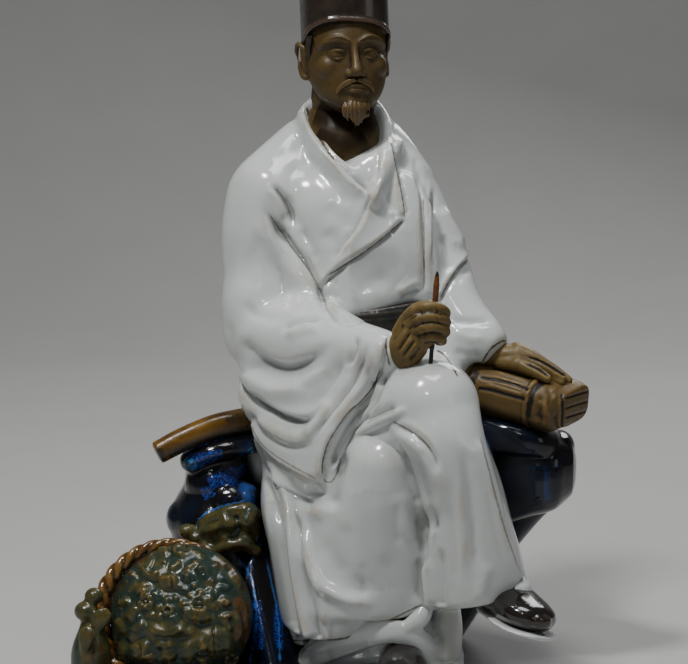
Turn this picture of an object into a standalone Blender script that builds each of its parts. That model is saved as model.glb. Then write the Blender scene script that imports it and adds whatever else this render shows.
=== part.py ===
"""Porcelain scholar figure: a seated scholar in a wide robe on a glazed rock, with a herb basket,
a tied bundle of books and a writing brush. Modelled in millimetres, handed over in metres, +Z up."""
import bpy, bmesh, math
import numpy as np
from mathutils import Vector, Matrix, Euler
from mathutils.bvhtree import BVHTree

# ---------------------------------------------------------------- front drawing
EYE_DIST, EYE_TILT = 1000.0, math.radians(8.0)
UNIT, U0, V0, AIM_Z = 0.44, 344.0, 332.0, 137.0
_c, _s = math.cos(EYE_TILT), math.sin(EYE_TILT)
EYE = np.array([0.0, -EYE_DIST * _c, AIM_Z + EYE_DIST * _s])
FWD, UP, RIGHT = np.array([0, _c, -_s]), np.array([0, _s, _c]), np.array([1.0, 0, 0])
FOCAL = EYE_DIST / UNIT


def W(u, v, y):
    """The point (mm) seen at u, v of the front drawing, at depth y."""
    ray = FWD + (u - U0) / FOCAL * RIGHT + (V0 - v) / FOCAL * UP
    return EYE + (y - EYE[1]) / ray[1] * ray


def seen(p):
    """Where points (mm) fall on the front drawing."""
    d = np.asarray(p, float) - EYE
    w = d @ FWD
    return np.stack([U0 + FOCAL * (d @ RIGHT) / w, V0 - FOCAL * (d @ UP) / w], -1)


# ---------------------------------------------------------------- splines and lofts
def spline(points, steps):
    """Catmull-Rom through rows of numbers, steps to each gap."""
    p = np.asarray(points, float)
    if len(p) < 3:
        t = np.linspace(0, 1, steps + 1)[:, None]
        return p[0] * (1 - t) + p[-1] * t
    q = np.vstack([2 * p[0] - p[1], p, 2 * p[-1] - p[-2]])
    out = []
    for i in range(len(p) - 1):
        a, b, c, d = q[i : i + 4]
        for t in np.linspace(0, 1, steps, endpoint=False):
            out.append(0.5 * (2 * b + (c - a) * t + (2 * a - 5 * b + 4 * c - d) * t * t + (3 * b - a - 3 * c + d) * t**3))
    out.append(p[-1])
    return np.array(out)


class Clay:
    """Closed lumps of clay, in millimetres, to be pressed into one."""

    def __init__(self):
        self.v, self.f, self.lumps = [], [], []

    def add(self, verts, faces, name="lump"):
        n = sum(len(x) for x in self.v)
        self.v.append(np.asarray(verts, float))
        self.f += [[i + n for i in f] for f in faces]
        self.lumps.append((name, n, n + len(verts)))
        return self

    def loft(self, sections, steps=5, segs=28, cap=0.6, power=2.0, name="loft"):
        """Skins sections (centre, half-axis, half-axis), with rounded ends."""
        rows = spline([np.concatenate([np.asarray(x, float) for x in s[:3]]) for s in sections], steps)
        caps = cap if isinstance(cap, (tuple, list)) else (cap, cap)
        t = np.linspace(0, 2 * np.pi, segs, endpoint=False)
        k = 2.0 / power
        cs = np.sign(np.cos(t)) * np.abs(np.cos(t)) ** k
        sn = np.sign(np.sin(t)) * np.abs(np.sin(t)) ** k
        rings = []

        def ring(c, a, b, s=1.0):
            return c + s * (cs[:, None] * a + sn[:, None] * b)

        def end(row, nxt, depth):
            c, a, b = row[:3], row[3:6], row[6:9]
            out = c - nxt[:3]
            out /= max(np.linalg.norm(out), 1e-6)
            r = depth * min(np.linalg.norm(a), np.linalg.norm(b))
            return [ring(c + out * r * math.sin(x), a, b, math.cos(x)) for x in (1.25, 0.9, 0.5)], c + out * r

        first, tip0 = end(rows[0], rows[1], caps[0])
        last, tip1 = end(rows[-1], rows[-2], caps[1])
        rings = first + [ring(r[:3], r[3:6], r[6:9]) for r in rows] + last[::-1]
        verts = np.vstack([tip0[None]] + rings + [tip1[None]])
        faces, n = [], len(rings)
        for j in range(segs):
            j2 = (j + 1) % segs
            faces.append([0, 1 + j2, 1 + j])
            for i in range(n - 1):
                a, b = 1 + i * segs, 1 + (i + 1) * segs
                faces.append([a + j, a + j2, b + j2, b + j])
            a = 1 + (n - 1) * segs
            faces.append([len(verts) - 1, a + j, a + j2])
        return self.add(verts, faces, name)

    def limb(self, points, radii, side=None, steps=5, segs=24, cap=0.9, power=2.0, name="limb"):
        """A tube through points with a radius, or (across, along side) radii, at each."""
        p = np.asarray(points, float)
        tangent = np.gradient(p, axis=0)
        tangent /= np.linalg.norm(tangent, axis=1)[:, None]
        side = np.array([0.0, 0, 1]) if side is None else np.asarray(side, float)
        secs = []
        for q, t, r in zip(p, tangent, radii):
            b = side - t * (side @ t)
            if np.linalg.norm(b) < 0.15:
                b = np.array([0, 1.0, 0]) - t * t[1]
            b /= np.linalg.norm(b)
            a = np.cross(b, t)
            ra, rb = r if isinstance(r, (tuple, list)) else (r, r)
            secs.append((q, a * ra, b * rb))
        return self.loft(secs, steps, segs, cap, power, name)

    def rings(self, rows, steps=5, segs=36, cap=0.35, power=2.0, name="rings"):
        """Level rings (u, v, depth, half width, half depth) up or down a column."""
        return self.loft([(W(u, v, y), (a, 0, 0), (0, b, 0)) for u, v, y, a, b in rows], steps, segs, cap, power, name)

    def ball(self, centre, radii, turn=(0, 0, 0), fine=3, name="ball"):
        bm = bmesh.new()
        bmesh.ops.create_icosphere(bm, subdivisions=fine, radius=1.0)
        m = np.array(Euler([math.radians(x) for x in turn]).to_matrix())
        v = np.array([x.co for x in bm.verts]) * np.asarray(radii, float)
        f = [[x.index for x in y.verts] for y in bm.faces]
        bm.free()
        return self.add(v @ m.T + np.asarray(centre, float), f, name)

    def block(self, corners, name="block"):
        """Eight corners: four below, four above, each in turn."""
        f = [[3, 2, 1, 0], [4, 5, 6, 7], [0, 1, 5, 4], [1, 2, 6, 5], [2, 3, 7, 6], [3, 0, 4, 7]]
        return self.add(corners, f, name)

    def mesh(self, name="clay"):
        me = bpy.data.meshes.new(name)
        me.from_pydata(np.vstack(self.v).tolist(), [], self.f)
        me.validate()
        return me


# ---------------------------------------------------------------- surface work
class Skin:
    """A mesh held as arrays: points (mm), faces padded to four corners, and edges."""

    def __init__(self, mesh):
        self.mesh = mesh
        n = len(mesh.vertices)
        self.p = np.empty(n * 3, np.float32)
        mesh.vertices.foreach_get("co", self.p)
        self.p = self.p.reshape(-1, 3).astype(float)
        self.e = np.empty(len(mesh.edges) * 2, np.int32)
        mesh.edges.foreach_get("vertices", self.e)
        self.e = self.e.reshape(-1, 2)
        mesh.calc_loop_triangles()
        t = np.empty(len(mesh.loop_triangles) * 3, np.int32)
        mesh.loop_triangles.foreach_get("vertices", t)
        self.t = t.reshape(-1, 3)
        self.deg = np.bincount(self.e.ravel(), minlength=n).astype(float)
        self.deg[self.deg == 0] = 1
        self.attr = {}

    def normals(self):
        a, b, c = (self.p[self.t[:, i]] for i in range(3))
        fn = np.cross(b - a, c - a)
        out = np.zeros_like(self.p)
        for k in range(3):
            for i in range(3):
                out[:, k] += np.bincount(self.t[:, i], weights=fn[:, k], minlength=len(self.p))
        return out / np.maximum(np.linalg.norm(out, axis=1), 1e-9)[:, None]

    def mean(self, x):
        out = np.zeros_like(x)
        i, j = self.e[:, 0], self.e[:, 1]
        n = len(self.p)
        if x.ndim == 1:
            return (np.bincount(i, x[j], n) + np.bincount(j, x[i], n)) / self.deg
        for k in range(x.shape[1]):
            out[:, k] = (np.bincount(i, x[j, k], n) + np.bincount(j, x[i, k], n)) / self.deg
        return out

    def smooth(self, times, mask=None, hold=True):
        """Evens the surface, and with hold keeps its size."""
        for _ in range(times):
            for step in (0.5, -0.52) if hold else (0.5,):
                d = step * (self.mean(self.p) - self.p)
                self.p += d if mask is None else d * mask[:, None]
        return self

    def store(self):
        self.mesh.vertices.foreach_set("co", self.p.astype(np.float32).ravel())
        for k, x in self.attr.items():
            a = self.mesh.attributes.get(k) or self.mesh.attributes.new(k, "FLOAT", "POINT")
            a.data.foreach_set("value", x.astype(np.float32))
        self.mesh.update()
        return self.mesh


def evaluated(mesh, *mods):
    """The mesh after these modifiers, each a (type, settings) pair."""
    ob = bpy.data.objects.new("work", mesh)
    bpy.context.scene.collection.objects.link(ob)
    for kind, settings in mods:
        m = ob.modifiers.new(kind, kind)
        for k, x in settings.items():
            setattr(m, k, x)
    dg = bpy.context.evaluated_depsgraph_get()
    out = bpy.data.meshes.new_from_object(ob.evaluated_get(dg))
    bpy.data.objects.remove(ob)
    return out


def largest_shell(mesh):
    """Drops sealed inner shells and crumbs: keeps the biggest connected one."""
    n = len(mesh.vertices)
    e = np.empty(len(mesh.edges) * 2, np.int32)
    mesh.edges.foreach_get("vertices", e)
    e = e.reshape(-1, 2)
    label = np.arange(n)
    while True:
        low = np.minimum(label[e[:, 0]], label[e[:, 1]])
        new = label.copy()
        np.minimum.at(new, e[:, 0], low)
        np.minimum.at(new, e[:, 1], low)
        new = new[new]
        new = new[new]
        if (new == label).all():
            break
        label = new
    best = np.bincount(label).argmax()
    if (label == best).all():
        return mesh
    bm = bmesh.new()
    bm.from_mesh(mesh)
    bm.verts.ensure_lookup_table()
    bmesh.ops.delete(bm, geom=[v for v in bm.verts if label[v.index] != best], context="VERTS")
    bm.to_mesh(mesh)
    bm.free()
    return mesh


def outer_shells(mesh, least=3.0):
    """Drops sealed inner shells and crumbs, and keeps every outer shell."""
    s = Skin(mesh)
    label = np.arange(len(s.p))
    while True:
        low = np.minimum(label[s.e[:, 0]], label[s.e[:, 1]])
        new = label.copy()
        np.minimum.at(new, s.e[:, 0], low)
        np.minimum.at(new, s.e[:, 1], low)
        new = new[new]
        new = new[new]
        if (new == label).all():
            break
        label = new
    a, b, c = (s.p[s.t[:, i]] for i in range(3))
    volume = np.bincount(label[s.t[:, 0]], weights=(a * np.cross(b, c)).sum(1) / 6, minlength=len(s.p))
    bad = volume[label] < least
    if bad.any():
        bm = bmesh.new()
        bm.from_mesh(mesh)
        bm.verts.ensure_lookup_table()
        bmesh.ops.delete(bm, geom=[v for v in bm.verts if bad[v.index]], context="VERTS")
        bm.to_mesh(mesh)
        bm.free()
    return mesh


def pressed(clay, voxel, one=True):
    """All lumps of clay pressed into one closed skin, or with one=False into as many as they make."""
    me = evaluated(clay.mesh(), ("REMESH", {"mode": "VOXEL", "voxel_size": voxel}))
    return Skin(largest_shell(me) if one else outer_shells(me))


def line_field(uv, points, steps=6):
    """For each uv: distance to the line, place along it 0..1, and side (positive to the left as drawn, +v down)."""
    q = spline(points, steps) if len(points) > 2 else np.asarray(points, float)
    seg = np.linalg.norm(np.diff(q, axis=0), axis=1)
    at = np.concatenate([[0], np.cumsum(seg)])
    best = np.full(len(uv), 1e9)
    along = np.zeros(len(uv))
    side = np.zeros(len(uv))
    for i in range(len(q) - 1):
        a, d = q[i], q[i + 1] - q[i]
        l2 = max(d @ d, 1e-9)
        t = np.clip(((uv - a) @ d) / l2, 0, 1)
        w = uv - (a + t[:, None] * d)
        r = np.hypot(w[:, 0], w[:, 1])
        m = r < best
        best[m] = r[m]
        along[m] = (at[i] + t[m] * seg[i]) / at[-1]
        side[m] = np.sign(d[0] * w[m, 1] - d[1] * w[m, 0])
    return best, along, -side, at[-1]


def smoothstep(x):
    x = np.clip(x, 0, 1)
    return x * x * (3 - 2 * x)


class Tool:
    """Works a skin along lines of a drawing: front (perspective) or level from any azimuth."""

    def __init__(self, skin, azimuth=None):
        self.s, self.az = skin, azimuth
        self.look()

    def look(self):
        s = self.s
        self.n = s.normals()
        if self.az is None:
            self.uv = seen(s.p)
            d = s.p - EYE
            self.face = -(self.n * d).sum(1) / np.linalg.norm(d, axis=1)
            self.near = d @ FWD
        else:
            a = math.radians(self.az)
            r, f = np.array([math.cos(a), math.sin(a), 0]), np.array([-math.sin(a), math.cos(a), 0])
            self.uv = np.stack([s.p @ r, -s.p[:, 2]], -1)
            self.face = -(self.n @ f)
            self.near = s.p @ f
        return self

    def pick(self, points, reach, depth=None):
        p = np.asarray(points, float)
        lo, hi = p.min(0) - reach, p.max(0) + reach
        m = (self.uv > lo).all(1) & (self.uv < hi).all(1) & (self.face > 0.02)
        if depth is not None:
            m &= (self.s.p[:, 1] > depth[0]) & (self.s.p[:, 1] < depth[1])
        return np.nonzero(m)[0]

    def move(self, idx, amount):
        w = np.clip(self.face[idx] * 2.5, 0, 1)
        self.s.p[idx] += self.n[idx] * (amount * w)[:, None]

    def fold(self, points, width, height, taper=(0.25, 0.25), sharp=False, depth=None):
        """A ridge (height above 0) or a valley (below 0), fading at its ends."""
        idx = self.pick(points, width * 3, depth)
        if not len(idx):
            return self
        d, t, side, _ = line_field(self.uv[idx], points)
        w = np.exp(-d / width) if sharp else np.exp(-((d / width) ** 2))
        k = smoothstep(t / max(taper[0], 1e-3)) * smoothstep((1 - t) / max(taper[1], 1e-3))
        self.move(idx, height * w * k)
        return self

    def edge(self, points, width, height, fall, taper=(0.1, 0.1), depth=None):
        """The edge of a layer: the drawn line's left side stands up by height and sinks back over fall."""
        idx = self.pick(points, fall * 2.5 + width, depth)
        if not len(idx):
            return self
        d, t, side, _ = line_field(self.uv[idx], points)
        s = d * side
        up = smoothstep(s / (2 * width) + 0.5) * np.exp(-np.maximum(s, 0) / fall)
        down = -0.35 * np.exp(-((s + width * 1.2) / (width * 1.6)) ** 2)
        k = smoothstep(t / max(taper[0], 1e-3)) * smoothstep((1 - t) / max(taper[1], 1e-3))
        self.move(idx, height * (up + down) * k)
        return self

    def bump(self, u, v, radius, height, depth=None):
        r = radius if isinstance(radius, (tuple, list)) else (radius, radius)
        idx = self.pick([(u, v)], max(r) * 2.5, depth)
        if len(idx):
            q = (self.uv[idx] - (u, v)) / r
            self.move(idx, height * np.exp(-(q**2).sum(1)))
        return self

    def paint(self, key, points, width, value, taper=(0.05, 0.05), depth=None):
        idx = self.pick(points, width * 3, depth)
        a = self.s.attr.setdefault(key, np.zeros(len(self.s.p)))
        if len(idx):
            d, t, _, _ = line_field(self.uv[idx], points)
            k = smoothstep(t / max(taper[0], 1e-3)) * smoothstep((1 - t) / max(taper[1], 1e-3))
            a[idx] = np.maximum(a[idx], value * np.exp(-((d / width) ** 2)) * k * np.clip(self.face[idx] * 4, 0, 1))
        return self

    def draw(self, points, width, value, taper=(0.06, 0.06), key="line"):
        """A crisp drawn line: how strong it is near each point, and how many half widths to its side the point lies."""
        a = self.s.attr.setdefault(key, np.zeros(len(self.s.p)))
        at = self.s.attr.setdefault(key + "_at", np.full(len(self.s.p), 12.0))
        reach = width * 2 + 4.5
        idx = self.pick(points, reach + 6)
        if len(idx):
            d, t, side, _ = line_field(self.uv[idx], points)
            k = smoothstep(t / max(taper[0], 1e-3)) * smoothstep((1 - t) / max(taper[1], 1e-3))
            m = value * k * (1 - smoothstep((d - 0.55 * reach) / (0.45 * reach))) * np.clip(self.face[idx] * 4, 0, 1)
            away = d * side / width
            new = (m > a[idx]) | ((a[idx] < 1e-6) & (np.abs(away) < np.abs(at[idx])))
            a[idx[new]] = m[new]
            at[idx[new]] = away[new]
        return self


def robe_clay():
    c = Clay()
    # trunk: chest and blouse down to the girdle, then hips
    c.loft([(W(372, 305, -1), (26, 0, 9), (0, 26, 0)), (W(368, 291, -1), (29.5, 0, 7.5), (0, 27.5, 0)), (W(362, 262, 0), (31, 0, 2), (0, 25, 0)), (W(360, 240, 0), (32, 0, 0), (0, 24.5, 0))], segs=40, cap=(0.25, 0.4), name="pouching")
    c.rings([(364, 270, -1, 30, 25), (362, 250, 0, 31, 24.5), (353, 212, 2, 34, 23.5), (347, 180, 5, 36, 20.5), (345, 160, 9, 30, 15.5), (344, 140, 14, 22, 12.5), (343, 122, 19, 17.5, 10.5)], cap=(0.35, 0.4), name="blouse")
    c.rings([(392, 372, 4, 36, 30), (388, 345, 2, 32, 29), (381, 322, 2, 27, 25.5), (374, 300, 2, 26, 24)], name="hips")
    c.ball(W(350, 302, -17), (10, 8, 10), name="pouch")
    c.ball(W(402, 274, -12), (12, 12, 8), name="pouch")
    # slope of the shoulders
    c.limb([W(303, 130, 16), W(289, 154, 10), W(271, 183, 6)], [7.5, 11.5, 16], cap=0.3, name="slope_r")
    c.limb([W(383, 130, 17), W(391, 153, 11), W(402, 184, 7)], [7.5, 11.5, 14.5], cap=0.3, name="slope_l")
    # collar roll round the back of the neck
    c.limb([W(354, 182, -16), W(331, 160, -11), W(313, 138, 0), W(303.5, 116, 12), W(318, 106, 21), W(345, 104, 24), W(370, 107, 22), W(383, 119, 14), W(388, 145, 0), W(386, 172, -13), W(374, 202, -20)],
           [(2.4, 5), (2.6, 5), (2.8, 5), (2.8, 5), (3, 5.5), (3, 5.5), (3, 5.5), (2.8, 5), (3.0, 6), (3.0, 6.5), (2.6, 6)], name="collar")
    c.loft([(W(366, 154, -3), (17, 0, 7), (0, 10, 0)), (W(361, 168, -5), (18, 0, 6), (0, 11, 0)), (W(355, 186, -6), (19, 0, 2), (0, 12, 0)), (W(352, 210, -7), (20, 0, 0), (0, 13, 0))], cap=(0.25, 0.3), name="inner_front")
    # right arm: shoulder to elbow to wrist, and the wide sleeve that hangs from it
    c.limb([W(305, 176, 8), W(273, 194, 5), W(262, 240, 2), W(262, 290, -1), W(266, 335, -5)], [15, 19.5, 17.5, 18, 19], name="upper_arm_r")
    c.limb([W(290, 225, 0), W(305, 265, -6), W(315, 300, -12)], [13, 13, 13], name="under_arm_r")
    c.limb([W(266, 335, -5), W(300, 343, -24), W(345, 350, -46), W(383, 352, -62)], [19, 17.5, 14, 9.8], name="forearm_r")
    c.limb([W(300, 318, -16), W(330, 330, -34), W(356, 340, -46)], [13, 11, 9], name="forearm_top_r")
    out = np.array([0.80, 0.60, 0])
    c.loft([(W(266, 350, -2), (0, 0, 22), out * 17), (W(276, 385, -12), (2, 0, 27), out * 17), (W(300, 405, -30), (4, 0, 30), out * 15), (W(328, 412, -50), (10, 0, 31), out * 11), (W(352, 409, -62), (14, 0, 32), out * 7)], cap=(0.8, 0.5), name="sleeve_r")
    c.loft([(W(276, 420, 0), (0, 0, 20), out * 14), (W(296, 440, -22), (4, 0, 20), out * 14), (W(318, 448, -40), (8, 0, 20), out * 12)], cap=(0.8, 0.8), name="sleeve_back_r")
    # left arm
    c.limb([W(384, 164, 10), W(401, 192, 6), W(419, 228, 3), W(433, 254, 1), W(440, 278, -2)], [12.5, 15, 15, 14.5, 13.5], name="upper_arm_l")
    c.limb([W(440, 275, 0), W(452, 304, -8), W(468, 326, -14), W(485, 341, -20), W(493.5, 350, -23)], [14.5, 13, 11.8, 10.2, 8.6], cap=(0.9, 0.25), name="forearm_l")
    c.loft([(W(448, 325, -10), (10, 0, 18), (4, 13, 0)), (W(460, 341, -16), (9, 0, 15), (4, 12, 0)), (W(472, 350, -19), (6, 0, 11.5), (3, 10, 0))], cap=(0.6, 0.3), name="sleeve_l")
    c.limb([W(478, 322, -13), W(492, 331, -15), W(506, 340, -16)], [(6, 5), (5.5, 4), (3.5, 2)], name="cuff_l")
    c.limb([W(400, 190, -6), W(408, 225, -9), W(413, 260, -11), W(418, 292, -11)], [11, 12.5, 12.5, 11], name="under_arm_l")
    # right thigh crossed over the left, knees and shins under the cloth
    c.limb([W(300, 452, 14), W(350, 432, -20), W(400, 414, -50), W(434, 406, -68)], [26, 25, 22, 20], name="thigh_r")
    c.limb([W(424, 440, 18), W(406, 458, -20), W(384, 464, -56)], [25, 22, 20], name="thigh_l")
    c.limb([W(412, 384, 10), W(424, 394, -20), W(430, 402, -52)], [25, 20, 16], name="lap")
    c.ball((6, 26, 92), (48, 38, 38), name="seat")
    c.loft([(W(436, 405, -70), (18, 0, 0), (0, 17, 0)), (W(445, 440, -76), (17, 0, 0), (0, 16, 0)), (W(459, 490, -76), (17.5, 0, 0), (0, 15, 0)), (W(472, 545, -74), (19.5, 0, 0), (0, 15, 0)), (W(480, 597, -71), (20.5, 0, 4), (0, 15, 0))], cap=(0.9, 0.1), name="shin_r")
    c.rings([(446, 425, -34, 14.5, 34), (461, 475, -40, 16.5, 34), (471, 520, -44, 17.5, 32), (481, 566, -46, 19, 26)], cap=(0.6, 0.3), name="fall_l")
    c.rings([(384, 456, -58, 17, 19), (380, 495, -61, 21, 18), (374, 535, -60, 25, 18), (367, 580, -58, 28, 19), (362, 622, -56, 28, 20)], cap=(0.8, 0.08), name="shin_l")
    c.rings([(304, 462, -10, 18, 30), (318, 505, -24, 25, 36), (328, 545, -31, 29, 38), (330, 590, -33, 28, 38), (323, 634, -34, 22.5, 36)], cap=(0.6, 0.08), name="skirt_r")
    c.rings([(424, 455, -50, 16, 20), (425, 510, -52, 17, 20), (423, 560, -52, 18, 20), (418, 598, -52, 16, 20)], cap=(0.6, 0.2), name="skirt_mid")
    c.limb([W(312, 470, -30), W(340, 478, -45), W(372, 480, -56)], [15, 16, 17], name="lap_fill")
    c.limb([W(352, 470, -54), W(350, 520, -54), W(350, 600, -54)], [14, 17, 18], name="shin_fill")
    c.limb([W(420, 436, -62), W(424, 470, -64), W(428, 500, -62)], [12, 12, 11], name="knee_fill")
    c.rings([(286, 560, -8, 10, 24), (292, 600, -14, 10, 26), (297, 636, -18, 8, 26)], cap=(0.6, 0.1), name="skirt_edge")
    # cloth behind, over the stone
    c.rings([(352, 330, 20, 40, 20), (352, 400, 32, 46, 25), (350, 470, 41, 49, 27), (348, 530, 45, 50, 27), (346, 566, 46, 51, 27)], cap=(0.5, 0.15), name="back_cloth")
    c.ball(W(345, 120, 18), (15, 9, 16), name="nape")
    return c


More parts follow.
